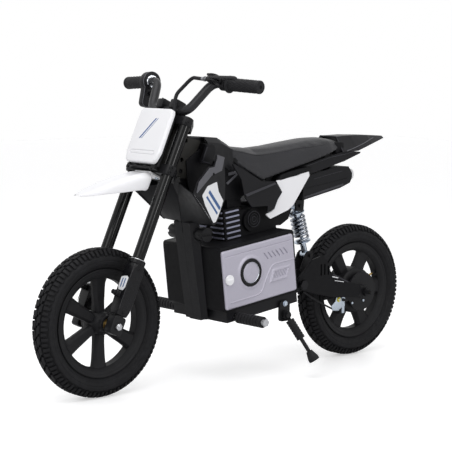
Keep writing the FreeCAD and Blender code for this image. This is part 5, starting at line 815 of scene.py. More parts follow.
LEG_OUT = 64.6
TUBE_LINE = [(11.6, 168), (13.9, 168), (14.5, 168.6), (14.5, 527.2), (13.7, 528), (11.6, 528)]
TUBE_CAP = [(0, 521), (11.6, 521), (11.6, 522), (5.0, 522.5), (4.4, 524.5), (0, 524.5)]
GUARD_RINGS = ((26, 14.0, 10.6, 2), (28, 16.0, 12.8, 2.4), (40, 17.8, 15.4, 2.6), (60, 18.6, 16.8, 2.6),
               (96, 18.8, 17.2, 2.6), (128, 18.4, 17.2, 2.8), (142, 17.8, 17.0, 4), (150, 17.4, 17.2, 9),
               (153, 17.6, 17.6, 17))
GUARD_COLLAR = [(15.6, 153), (18.2, 153), (20.2, 155), (20.4, 156), (20.4, 163), (19.4, 164), (15.6, 164)]
GUARD_BOLTS = ((34, 14.4), (142, 16.6))
# Line of the thin lighter bead on each guard's front corner: painted highlight.
GUARD_EDGE_HIGHLIGHT = ((18.0, 81.0, 40), (18.1, 81.2, 90), (17.8, 81.2, 130), (17.0, 80.8, 146))
LUG_SPOT = 73.5
STUD_LINE = [(0, 0), (7.0, 0), (7.4, 0.6), (7.4, 8.0), (6.6, 9.0), (4.4, 9.2), (4.2, 12.0), (5.6, 12.4),
             (5.6, 16.4), (4.8, 17.2), (0, 17.2)]
WIPER_LINE = [(14.55, 164.2), (17.6, 164.2), (17.8, 164.8), (17.2, 166.0), (14.55, 166.4)]
SLIDER_LINE = [(0, 20), (11.0, 20), (11.0, 334), (10.2, 335), (0, 335)]
SLIDER_FOOT = [(-17.4, -19.8), (17.4, -19.8), (17.4, 25), (-17.4, 25)]
LABEL = [(-18, -8), (-10, -13), (14, -13), (18, -6), (14, 13), (-10, 13), (-18, 8)]
CLAMP_BOLTS = (384.5, 395.5, 513)


def guard_ring(along, deep, wide, corner, side):
    """One section of a fork guard: a rounded rectangle about the leg's line."""
    outline = rounded([(deep, -wide), (deep, wide), (-deep, wide), (-deep, -wide)], corner, 5)
    return [Vector((point.x, side * LEG_OUT + point.y, along)) for point in outline]


class MakeFork(bpy.types.Operator):
    """Fork tubes, guards with their lugs and plain labels, axle ends and clamp bolts."""

    bl_idname = "motorbike.fork"
    bl_label = "Fork"

    def execute(self, context):
        bm = bmesh.new()
        for side in (1, -1):
            place = Matrix.Translation((0, side * LEG_OUT, 0))
            turned(bm, place, TUBE_LINE, 56, closed=True)
            turned(bm, place, TUBE_CAP, 32)
        dressed(finished("fork_upper_tubes", bm, FORK), "steering", FINISHES["black_paint"], "black_steel",
                "fork_tubes")

        bm = bmesh.new()
        for side in (1, -1):
            rings = [guard_ring(along, deep, wide, corner, side) for along, deep, wide, corner in GUARD_RINGS]
            bm.faces.new(skin(bm, rings, caps=False)[0])
            place = Matrix.Translation((0, side * LEG_OUT, 0))
            turned(bm, place, GUARD_COLLAR, 48, closed=True)
            lug = Matrix.Translation((16, side * LEG_OUT, LUG_SPOT))
            brick(bm, (-2, -7.2, -7.5), (8, 7.2, 7.5), lambda u, v, w, m=lug: m @ Vector((u, v, w)), 1.4)
        guards = rounded_edges(finished("fork_leg_guards", bm, FORK), 0.7, 2)
        dressed(guards, "front_fork", FINISHES["smooth_plastic"], "black_plastic", "fork_guards")

        bm = bmesh.new()
        for side in (1, -1):
            turned(bm, pointing((23.4, side * LEG_OUT, LUG_SPOT), (1, 0, 0)), STUD_LINE, 32)
            for along, out in GUARD_BOLTS:
                socket_bolt(bm, (0, side * (LEG_OUT + out), along), (0, side, 0), 3.4, 1.8)
        dressed(finished("guard_bolts", bm, FORK), "front_fork", FINISHES["satin_black"], "black_steel")

        bm = bmesh.new()
        for side in (1, -1):
            place = Matrix.Translation((0, side * LEG_OUT, 0))
            turned(bm, place, WIPER_LINE, 48, closed=True)
        dressed(finished("fork_wiper_rings", bm, FORK), "front_fork", FINISHES["bright_steel"],
                "bright_steel")

        bm = bmesh.new()
        for side in (1, -1):
            place = Matrix.Translation((0, side * LEG_OUT, 0))
            turned(bm, place, SLIDER_LINE, 40)
            plate(bm, rounded(SLIDER_FOOT, 8, 5), lengthwise(side), 51.7, 77.5, 2.0, 3)
        sliders = finished("fork_lower_legs", bm, FORK)
        dressed(sliders, "front_fork", FINISHES["satin_black"], "black_steel", "fork_sliders")

        bm = bmesh.new()
        for side in (1, -1):
            hex_head(bm, (0, side * 77.6, 0), (0, side, 0), 8.8, 6.4)
            pin(bm, (0, side * 83.0, 0), (0, side * 86.0, 0), 5.0, 0.8)
            pin(bm, (0, side * 40.4, 0), (0, side * 51.8, 0), 9.8, 0.6)
        pin(bm, (0, -51.0, 0), (0, 51.0, 0), 5.9)
        dressed(finished("front_spindle", bm, FORK), "front_fork", FINISHES["bright_steel"], "bright_steel",
                "front_axle")

        bm = bmesh.new()
        for side in (1, -1):
            out = pointing((18.2, side * LEG_OUT, 102), (1, 0, 0), (0, 0, 1))
            plate(bm, rounded(LABEL, 3, 3), on_face(out), 0.2, 1.2, 0.2, 1)
            for shift in (-4.6, 4.6):
                points = [(-11, shift - 1.6), (11, shift - 1.6), (11, shift + 1.6), (-11, shift + 1.6)]
                plate(bm, points, on_face(out), 1.0, 1.5, 0.1, 1, material=1)
        dressed(finished("guard_labels", bm, FORK), "front_fork",
                [FINISHES["decal_and_highlight_white"], FINISHES["stripe_blue"]], "white_plastic")

        # Thin beads in the bar paint along the guards' front corners: painted highlight.
        bm = bmesh.new()
        for side in (1, -1):
            swept(bm, [(x, side * y, along) for x, y, along in GUARD_EDGE_HIGHLIGHT], 0.8, 8)
        dressed(finished("guard_edge_highlights", bm, FORK, 60), "front_fork", FINISHES["bar_paint_and_guard_highlight"], "black_plastic")

        bm = bmesh.new()
        for along in CLAMP_BOLTS:
            for side in (1, -1):
                socket_bolt(bm, (8.5, side * 79.2, along), (0, side, 0), 4.4, 3.6)
        dressed(finished("clamp_bolts", bm, FORK), "steering", FINISHES["satin_black"], "black_steel")
        return {"FINISHED"}


# Handlebar.

BAR_RADIUS = 11.0
BAR_BEND = 36
BAR_RUN = 142.0
BAR_FOOT = (9, 68, 540)
RISERS = ((526.2, 538.4, 2.0), (541.6, 565.8, 4.5))
RISER_DEEP = 16.8
GRIP_START = 51.0
GRIP_LENGTH = 96.2
GRIP_RADIUS = 15.2
GRIP_PAD = 0.75
PAD_PITCH = 7.4
PADS_ROUND = 16
GRIP_FLANGE = [(11.2, 0), (20.0, 0), (20.9, 0.9), (20.9, 3.0), (20.0, 3.9), (15.8, 4.6), (14.6, 6.0),
               (11.2, 6.0)]
GRIP_END = [(14.75, GRIP_LENGTH), (4.6, GRIP_LENGTH + 0.1), (3.8, GRIP_LENGTH - 2.5), (0, GRIP_LENGTH - 2.5)]
CASE_HOLLOW = [(-19, -13), (-19, 13), (-61, 13), (-61, -13)]
CASE_LEAN = math.radians(-12)
CASE_COLLAR = [(11.1, -2.4), (14.4, -2.4), (15.4, -1.6), (15.6, 2.8), (11.1, 2.8)]
BOOT_LENGTH = 24.0
BOOT_STEPS = 28
BUTTON_CAP = [(0, 0), (5.9, 0), (5.9, 8.4), (5.2, 9.6), (2.5, 10.0), (0, 10.0)]
PERCH_HEIGHT = 623.38
PERCH_RING = [(11.1, 0), (15.6, 0), (16.5, 0.9), (16.5, 15.1), (15.6, 16.0), (11.1, 16.0)]
PERCH = [(-6, 115.5), (10, 114.7), (30.2, 114.7), (30.2, 138.5), (24, 146.5), (-6, 146.5)]
PERCH_JAWS = ((-9, -4.4), (4.4, 9))
LEVER_PIN = (20.3, 124.57)
LEVER = [(14.8, 116.5), (27, 115.3), (30.2, 128), (30.2, 205.5), (29.2, 216.9), (18.8, 216.9), (18.4, 205.5),
         (19.4, 154.5), (15.4, 133.5)]
ADJUSTER_LENGTH = 15.6
ADJUSTER_STEPS = 14
BAR_CABLE = [(24.3, 98.0, 619.4), (24.3, 80, 620.6), (24.3, 62, 622.4), (29, 46, 594), (33, 34, 572),
             (28.5, 41, 541), (24, 48, 510), (24, 48, 450), (24, 48, 391)]


def bar_run(side):
    """Start and direction of the outer run of the handlebar."""
    return Vector((-7.0, side * 104.0, 623.0)), Vector((-22.2, side * 146.8, 1.5)).normalized()


def make_grip(name, side, body, node):
    """A grip with rings of small pads, a flange at its root and a capped end."""
    start, line = bar_run(side)
    place = pointing(start + line * GRIP_START, line)
    bm = bmesh.new()
    turned(bm, place, GRIP_FLANGE, 56, closed=True)
    rows = []
    count = 96
    steps = 110
    for k in range(steps + 1):
        along = 5.0 + (GRIP_LENGTH - 5.0) * k / steps
        ribbed = ease(10, 13, along) * (1 - ease(84, 87, along))
        shift = math.pi * math.floor((along - 10) / PAD_PITCH)
        step = (along - 10) % PAD_PITCH
        ring = ease(0.6, 1.6, step) * (1 - ease(5.8, 6.8, step))
        end = GRIP_PAD * ease(87, 89, along) * (1 - ease(GRIP_LENGTH - 1.8, GRIP_LENGTH, along) * 1.6)
        row = []
        for i in range(count):
            turn = 2 * math.pi * i / count
            pads = max(math.sin(turn * PADS_ROUND + shift), 0) ** 0.5
            radius = GRIP_RADIUS + ribbed * GRIP_PAD * pads * ring + end
            row.append(place @ Vector((radius * math.cos(turn), radius * math.sin(turn), along)))
        rows.append(row)
    skin(bm, rows, caps=False)
    turned(bm, place, GRIP_END, count)
    grip = finished(name, bm, FORK, 40)
    return dressed(grip, body, FINISHES["grip_rubber"], "rubber", node)


class MakeHandlebar(bpy.types.Operator):
    """Bent bar, risers, grips, brake lever with its perch, throttle housing, button and brake cable."""

    bl_idname = "motorbike.handlebar"
    bl_label = "Handlebar"

    def execute(self, context):
        bm = bmesh.new()
        ends = []
        for side in (-1, 1):
            start, line = bar_run(side)
            run = [start + line * BAR_RUN, start, Vector((BAR_FOOT[0], side * BAR_FOOT[1], BAR_FOOT[2]))]
            ends += run if side < 0 else run[::-1]
        swept(bm, bent(ends, BAR_BEND, 14), BAR_RADIUS, 32)
        dressed(finished("bent_handlebar", bm, FORK), "steering", FINISHES["bar_paint_and_guard_highlight"], "grey_bar",
                "handlebar")

        bm = bmesh.new()
        for side in (1, -1):
            for low, high, corner in RISERS:
                back, front = BAR_FOOT[0] - RISER_DEEP, BAR_FOOT[0] + RISER_DEEP
                outline = rounded([(back, low), (front, low), (front, high), (back, high)], corner, 4)
                plate(bm, outline, lengthwise(side), 13.2, 34.8, 1.2, 2)
            for shift in (-12, 12):
                socket_bolt(bm, (BAR_FOOT[0] + shift, side * 24, 565.4), (0, 0, 1), 2.8, 2.2)
        risers = finished("handlebar_risers", bm, FORK)
        dressed(risers, "steering", FINISHES["satin_black"], "black_steel", "bar_risers")

        make_grip("left_hand_grip", 1, "steering", "grip_left")
        make_grip("twist_grip", -1, "throttle", "throttle_grip")

        start, line = bar_run(-1)
        place = pointing(start + line * 28.0, line, (0, 0, 1))
        lean = Matrix.Rotation(CASE_LEAN, 2)
        bm = bmesh.new()
        plate(bm, [lean @ point for point in case_outline(24.9, 17.6, 65.5, 11)], on_face(place), 0.2, 21.8,
              2.2, 3)
        housing = finished("throttle_case", bm, FORK)
        bm = bmesh.new()
        plate(bm, [lean @ point for point in rounded(CASE_HOLLOW, 9, 6)], on_face(place), -3.0, 2.6, 0)
        carved(housing, finished("hollow", bm, FORK))
        rounded_edges(housing, 0.6, 2)
        dressed(housing, "steering", FINISHES["black_plastic"], "black_plastic", "throttle_housing")

        bm = bmesh.new()
        rim = [lean @ point for point in case_outline(24.4, 17.0, 65.0, 10.6)]
        swept(bm, [on_face(place)(point.x, point.y, 1.1) for point in rim + rim[:1]], 0.9, 8)
        dressed(finished("throttle_case_rim", bm, FORK, 60), "steering", FINISHES["grey_plastic"],
                "grey_plastic")

        bm = bmesh.new()
        turned(bm, place, CASE_COLLAR, 40, closed=True, material=1)
        spot = lean @ Vector((-64.0, 4.0))
        foot = place @ Vector((spot.x, spot.y, 9.0))
        boot = []
        for k in range(BOOT_STEPS + 1):
            share = k / BOOT_STEPS
            boot.append((6.2 - 2.6 * share - (1.0 if k % 4 in (2, 3) else 0), BOOT_LENGTH * share))
        turned(bm, pointing(foot, (0.1, 0.42, -1)), [(0, 0)] + boot + [(0, BOOT_LENGTH)], 24)
        collar = finished("throttle_collar", bm, FORK)
        dressed(collar, "steering", [FINISHES["grip_rubber"], FINISHES["chrome"]], "rubber")

        low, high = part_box("power_button")
        centre = FORK.inverted() @ ((low + high) / 2) / MM
        bm = bmesh.new()
        turned(bm, pointing(centre - Vector((0, 5, 0)), (0, 1, 0)), BUTTON_CAP, 32)
        dressed(finished("push_button", bm, FORK), "button", FINISHES["smooth_plastic"], "black_plastic",
                "power_button")

        start, line = bar_run(1)
        bm = bmesh.new()
        turned(bm, pointing(start + line * 30, line), PERCH_RING, 48, closed=True)
        height = PERCH_HEIGHT
        for low, high in PERCH_JAWS:
            plate(bm, rounded(PERCH, 5, 4), straight, height + low, height + high, 1.0, 2)
        brick(bm, (-7, 115.5, height - 8.6), (10.2, 146.5, height + 8.6), straight, 1.2)
        socket_bolt(bm, (*LEVER_PIN, height + 8.8), (0, 0, 1), 5.4, 2.6)
        pin(bm, (*LEVER_PIN, height - 9.4), (*LEVER_PIN, height + 9), 3.9)
        dressed(rounded_edges(finished("lever_perch", bm, FORK), 0.4), "steering", FINISHES["satin_black"],
                "black_steel", "brake_perch")

        bm = bmesh.new()
        pitch = ADJUSTER_LENGTH / ADJUSTER_STEPS
        barrel = [(4.8 if k % 3 else 4.0, pitch * k) for k in range(ADJUSTER_STEPS + 1)]
        turned(bm, pointing((24.3, 114.7, height - 4.0), (0, -1, 0)),
               [(0, 0)] + barrel + [(0, ADJUSTER_LENGTH)], 24)
        nut = [(4.9, 0), (6.2, 0.4), (6.2, 3.4), (4.9, 3.8)]
        turned(bm, pointing((24.3, 111.9, height - 4.0), (0, -1, 0)), nut, 24, closed=True)
        dressed(finished("cable_adjuster", bm, FORK), "steering", FINISHES["grey_steel"], "black_steel")

        bm = bmesh.new()
        plate(bm, rounded(LEVER, 3.2, 4), straight, height - 3.9, height + 3.9, 2.4, 3)
        dressed(finished("brake_lever_blade", bm, FORK), "lever", FINISHES["bar_paint_and_guard_highlight"], "grey_bar",
                "brake_lever")

        make_cable("handlebar_brake_cable", FORK, BAR_CABLE, 4.5, "steering", "bar_cable")
        return {"FINISHED"}


def case_outline(head, half, drop, corner):
    """A round head with a straight-sided foot under it, in a frame whose x points up."""
    meet = math.pi - math.asin(half / head)
    turns = [meet * (i / 18 - 1) for i in range(37)]
    points = [Vector((head * math.cos(a), head * math.sin(a))) for a in turns]
    for start in (0, 90):
        for k in range(7):
            turn = math.radians(start + 15 * k)
            across = half - corner if start == 0 else corner - half
            points.append(Vector((corner - drop - corner * math.sin(turn), across + corner * math.cos(turn))))
    return points


def make_cable(name, place, points, radius, body, node):
    """A brake cable on one smooth line."""
    data = bpy.data.curves.new(name, "CURVE")
    data.dimensions = "3D"
    spline = data.splines.new("NURBS")
    spline.points.add(len(points) - 1)
    for point, spot in zip(spline.points, points):
        point.co = (*(place @ (Vector(spot) * MM)), 1)
    spline.order_u = 3
    spline.use_endpoint_u = True
    spline.resolution_u = 16
    cable = bpy.data.objects.new(name, data)
    bpy.context.scene.collection.objects.link(cable)
    graph = bpy.context.evaluated_depsgraph_get()
    run = bpy.data.meshes.new_from_object(cable.evaluated_get(graph))
    line = [vertex.co.copy() for vertex in run.vertices]
    length = sum((b - a).length for a, b in zip(line, line[1:]))
    data.bevel_depth = radius * MM
    data.bevel_resolution = 6
    data.use_fill_caps = True
    dressed(cable, body, FINISHES["grip_rubber"], "rubber", node)
    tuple(line[0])
    return cable


# Number plate and front fender.

PLATE_HALF = [(53.75, 391.4), (62.4, 419.2), (61.25, 531.8)]
PLATE_SLOT = [(-46, 412), (46, 412), (46, 423), (-46, 423)]
SLOT_FLOOR = [(-44, 414), (44, 414), (44, 421), (-44, 421)]
PLATE_STRIPES = ((0, 5.0), (9, 2.2))
HOLDER = [(17.4, -50), (36, -52), (42, -46), (42, 46), (36, 52), (17.4, 50)]
FENDER_START = 22
FENDER_LENGTH = 160
FENDER_LOW = 250
FENDER_RISE = 126
FENDER_HALF = 42
FENDER_SHARES = (
    (0.0, 1.0, 0.62, 1.0, 0.60), (0.06, 0.975, 0.60, 1.0, 0.58), (0.16, 0.90, 0.555, 1.0, 0.55),
    (0.30, 0.785, 0.455, 0.985, 0.53), (0.48, 0.62, 0.34, 0.95, 0.50), (0.66, 0.425, 0.225, 0.86, 0.44),
    (0.80, 0.26, 0.13, 0.74, 0.36), (0.90, 0.145, 0.06, 0.56, 0.26), (0.97, 0.07, 0.02, 0.38, 0.16),
    (1.0, 0.04, 0.0, 0.24, 0.09))


class MakeFrontPlastics(bpy.types.Operator):
    """White number plate with its slot, the bracket under it and the front fender."""

    bl_idname = "motorbike.front_plastics"
    bl_label = "Number plate and fender"

    def execute(self, context):
        outline = rounded(PLATE_HALF + [(-across, along) for across, along in reversed(PLATE_HALF)], 17, 7)
        face = lambda u, v, w: Vector((w, u, v))
        bm = bmesh.new()
        plate(bm, outline, face, 34.2, 45.9, 5.0, 4, 1.5)
        shield = finished("white_number_plate", bm, FORK, 40)
        bm = bmesh.new()
        plate(bm, rounded(PLATE_SLOT, 5.4, 6), face, 44.3, 48, 0)
        carved(shield, finished("slot", bm, FORK))
        rounded_edges(shield, 0.6, 3)
        dressed(shield, "steering", FINISHES["white_plastic"], "white_plastic", "number_plate")

        bm = bmesh.new()
        plate(bm, rounded(SLOT_FLOOR, 3.4, 5), face, 44.2, 45.4, 0.6, 2)
        for shift, wide in PLATE_STRIPES:
            points = [(-30 + shift, 452), (-30 + shift + wide, 452), (8 + shift + wide, 505),
                      (8 + shift, 505)]
            plate(bm, points, face, 45.6, 46.0, 0.1, 1, material=1)
        dressed(finished("plate_slot_floor", bm, FORK), "steering",
                [FINISHES["white_plastic"], FINISHES["stripe_blue"]], "white_plastic")

        bm = bmesh.new()
        plate(bm, rounded(HOLDER, 5, 3), straight, 381.8, 384.4, 0.8)
        for side in (1, -1):
            for shift in (18, 46):
                brick(bm, (24, side * shift - 5, 384), (38, side * shift + 5, 391.2), straight, 1.0)
                socket_bolt(bm, (31, side * shift, 384.0), (0, 0, 1), 4.0, 2.0)
        brick(bm, (17.2, -20, 506.5), (34.4, 20, 525.5), straight, 1.5)
        for start in (-48, 40):
            brick(bm, (36, start, 377.6), (41, start + 8, 384), straight, 1.0)
        dressed(finished("plate_holder", bm, FORK), "steering", FINISHES["satin_black"], "black_steel",
                "plate_bracket")

        bm = bmesh.new()
        rings = []
        for along, top, low, half, ridge in FENDER_SHARES:
            ahead, half, ridge = FENDER_START + along * FENDER_LENGTH, half * FENDER_HALF, ridge * FENDER_HALF
            top, low = FENDER_LOW + top * FENDER_RISE, FENDER_LOW + low * FENDER_RISE
            tall = top - low
            left = [(half, low), (half, low + tall * 0.45), (half * 0.985, low + tall * 0.80)]
            left += [(ridge + (half - ridge) * 0.25, top - tall * 0.03), (ridge, top),
                     (ridge * 0.55, top - tall * 0.045)]
            ring = left + [(0, top - tall * 0.05)] + [(-across, high) for across, high in reversed(left)]
            rings.append([Vector((ahead, across, high)) for across, high in ring])
        skin(bm, rings, closed=False, caps=False)
        fender = finished("white_front_fender", bm, FORK, 60)
        wall = fender.modifiers.new("Wall", "SOLIDIFY")
        wall.thickness = 2.6 * MM
        wall.offset = -1.0
        soft_surface(fender, 2)
        dressed(fender, "steering", FINISHES["white_plastic"], "white_plastic", "front_fender")

        bm = bmesh.new()
        brick(bm, (-20, -29, 372.5), (25, 29, 377.8), straight, 1.2)
        for side in (1, -1):
            socket_bolt(bm, (-8, side * 20, 372.6), (0, 0, -1), 5.0, 3.0, 1)
        dressed(finished("fender_mount", bm, FORK), "steering", [FINISHES["white_plastic"], FINISHES["zinc"]],
                "white_plastic")
        return {"FINISHED"}


# Battery covers.

COVER_LONG = 120
COVER_TALL = 73
COVER_CORNER = 6
COVER_FACE = 114.6
COVER_BACK = 108.1
RING_SPOT = (33.0, 5.0)
CREASE = [(-119, 9.3), (-50, 9.3), (-41, 6.5), (-32, -1), (-14.4, -26), (-3, -45), (3, -51), (12, -55),
          (24, -56.5), (104, -57)]
RAISED = [(-42, -1.5), (-104.4, -1.5), (-87.8, -36), (-25, -36)]
DISC_LINE = [(0, 0), (25.0, 0), (25.2, 2.6), (24.4, 3.4), (22.2, 3.7), (21.8, 3.2), (20.6, 3.2), (20.2, 3.7),
             (0, 3.9)]
RING_LINE = [(25.6, 0), (34.8, 0), (35.0, 2.6), (33.4, 4.6), (29.0, 4.9), (26.8, 4.0), (25.6, 2.2)]
RING_TRIM = [(25.3, 2.8), (25.8, 3.6), (26.2, 3.7), (26.0, 2.8)]
KNOB_LINE = ((12.0, 0), (12.9, 0.8), (12.9, 4.6), (12.0, 5.7), (10.0, 6.0))
KNOB_POINTS = 60
KNOB_WING = [(-10, -2.8), (10, -2.8), (10, 2.8), (-10, 2.8)]
SOCKET_LINE = [(0, -7.8), (5.5, -7.8), (5.5, 2.6), (6.6, 3.6), (11.0, 3.8), (12.0, 2.8), (12.0, 0), (13.2, 0),
               (13.2, -0.4), (0, -10)]


def cover_height(x, z):
    """Height of the battery cover's face above its flat, in millimetres."""
    edge = min(COVER_LONG - abs(x), COVER_TALL - abs(z))
    height = -3.2 * (1 - ease(0.0, 3.2, edge)) ** 1.6
    height -= 1.3 * (1 - ease(0.5, 1.8, abs(z - 58.4))) * ease(2, 4, 118 - abs(x))
    height += 1.5 * (1 - ease(0.6, 2.2, run_distance(x, z, CREASE)))
    far = math.hypot(x - RING_SPOT[0], z - RING_SPOT[1])
    height += 2.2 * (1 - ease(37.0, 46.0, far)) - 2.0 * (1 - ease(34.6, 35.6, far))
    inside = 1e9
    count = len(RAISED)
    for i in range(count):
        (ax, az), (bx, bz) = RAISED[i], RAISED[(i + 1) % count]
        dx, dz = bx - ax, bz - az
        inside = min(inside, ((x - ax) * dz - (z - az) * dx) / math.hypot(dx, dz) * -1)
    height += 3.2 * ease(0.0, 3.4, inside) - 2.0 * ease(6.4, 7.4, inside)
    if inside > 9:
        slant = x - (z + 18) * 0.5
        height -= 2.1 * (1 - ease(0.9, 1.9, abs((slant + 66) % 9.0 - 4.5)))
    slant = x - (z - 35) * 0.72
    if abs(z - 35) < 9.5 and -97 < slant < -16:
        slit = 1 - ease(1.1, 2.2, abs((slant + 97) % 13.5 - 6.75))
        height -= 3.0 * slit * (1 - ease(7.6, 9.4, abs(z - 35)))
    return height


class MakeBattery(bpy.types.Operator):
    """Silver battery covers with pressed relief, black rings, discs, turn knob and charging socket."""

    bl_idname = "motorbike.battery"
    bl_label = "Battery covers"

    def execute(self, context):
        step = context.scene.motorbike_sizes.cover_grid * 1
        bm = bmesh.new()
        wide, tall = int(2 * COVER_LONG / step), int(2 * COVER_TALL / step)
        inner_x, inner_z = COVER_LONG - COVER_CORNER, COVER_TALL - COVER_CORNER
        for side in (1, -1):
            rows = []
            for i in range(wide + 1):
                row = []
                for k in range(tall + 1):
                    x, z = COVER_LONG * (2 * i / wide - 1), COVER_TALL * (2 * k / tall - 1)
                    height = cover_height(x, z)
                    dx, dz = max(abs(x) - inner_x, 0), max(abs(z) - inner_z, 0)
                    if dx and dz:
                        reach = max(dx, dz) / math.hypot(dx, dz)
                        x, z = math.copysign(inner_x + dx * reach, x), math.copysign(inner_z + dz * reach, z)
                    row.append(bm.verts.new((x, side * (COVER_FACE + height), z)))
                rows.append(row)
            for low, high in zip(rows, rows[1:]):
                for k in range(tall):
                    bm.faces.new((low[k], low[k + 1], high[k + 1], high[k]))
            border = rows[0] + [row[-1] for row in rows[1:]]
            border += rows[-1][-2::-1] + [row[0] for row in rows[-2:0:-1]]
            back = [bm.verts.new((vertex.co.x, side * COVER_BACK, vertex.co.z)) for vertex in border]
            for i in range(len(border)):
                j = (i + 1) % len(border)
                bm.faces.new((border[i], border[j], back[j], back[i]))
            bm.faces.new(back)
        cover = finished("silver_battery_covers", bm, BOX, 40)
        dressed(cover, "chassis", FINISHES["silver_paint"], "silver_plastic", "battery_covers")

        bm = bmesh.new()
        for side in (1, -1):
            place = pointing((RING_SPOT[0], side * 114.0, RING_SPOT[1]), (0, side, 0))
            turned(bm, place, DISC_LINE, 72)
            for turn in (0, 120, 240):
                spin = Matrix.Rotation(math.radians(turn), 4, "Z")
                points = [(10 * math.cos(a) + 9,
                           5 * math.sin(a)) for a in [2 * math.pi * i / 20 for i in range(20)]]
                plate(bm, [(spin @ Vector((u * 0.8, v * 0.7, 0)))[:2] for u, v in points], on_face(place),
                      3.2, 4.3, 0.5, 2)
        dressed(finished("cover_discs", bm, BOX, 40), "chassis", FINISHES["silver_paint"], "silver_plastic")

        bm = bmesh.new()
        for side in (1, -1):
            place = pointing((RING_SPOT[0], side * 114.0, RING_SPOT[1]), (0, side, 0))
            turned(bm, place, RING_LINE, 96, closed=True)
            turned(bm, place, RING_TRIM, 96, closed=True, material=1)
        rings = finished("black_cover_rings", bm, BOX, 40)
        dressed(rings, "chassis", [FINISHES["smooth_plastic"], FINISHES["chrome"]], "black_plastic",
                "cover_rings")

        place = pointing((106.0, 115.4, 1.5), (0, 1, 0), (0, 0, 1))
        bm = bmesh.new()
        rows = []
        for radius, depth in KNOB_LINE:
            row = []
            for i in range(KNOB_POINTS):
                turn = 2 * math.pi * i / KNOB_POINTS
                size = radius - (0.5 if i % 5 == 0 and radius > 12 else 0)
                row.append(place @ Vector((size * math.cos(turn), size * math.sin(turn), depth)))
            rows.append(row)
        skin(bm, rows)
        plate(bm, rounded(KNOB_WING, 2.6, 4), on_face(place @ Matrix.Rotation(math.pi / 2, 4, "Z")), 5.5, 8.3,
              1.0, 2)
        dressed(finished("cover_turn_knob", bm, BOX, 40), "knob", FINISHES["white_plastic"], "white_plastic",
                "cover_knob")

        place = pointing((-88.0, -115.0, 38.0), (0, -1, 0))
        bm = bmesh.new()
        turned(bm, place, SOCKET_LINE, 48)
        pin(bm, place @ Vector((0, 0, -7.8)), place @ Vector((0, 0, -1)), 1.0, 0.3, 12)
        dressed(finished("charging_socket", bm, BOX), "chassis", FINISHES["socket_black"], "black_plastic",
                "charge_socket")
        return {"FINISHED"}


# Seat.

SEAT_VOXEL = 0.004
SEAT_SHRINK = 0.0012
SEAT_UNDERSIDE = -0.6
FILL_PRESSURE = 4.0
FILL_FRAMES = 20
WELT_STEPS = 60
WELT_TILT = 0.66
WELT_RADIUS = 0.7
WELT_PASSES = 12


def welt_spot(tree, x, side):
    """Where the seat's top turns into its flank at one place along it, or None past its ends."""
    crown = tree.ray_cast(Vector((x, 0, 1.0)), Vector((0, 0, -1)))[0]
    if crown is None:
        return None
    for step in range(8, 44):
        lean = math.radians(step * 2)
        way = Vector((0, -side * math.sin(lean), -math.cos(lean)))
        spot, normal = tree.ray_cast(Vector((x, 0, crown.z - 0.06)) - way * 0.2, way)[:2]
        if spot is not None and normal.z < WELT_TILT:
            return (spot + normal * 0.0002) / MM
    return None


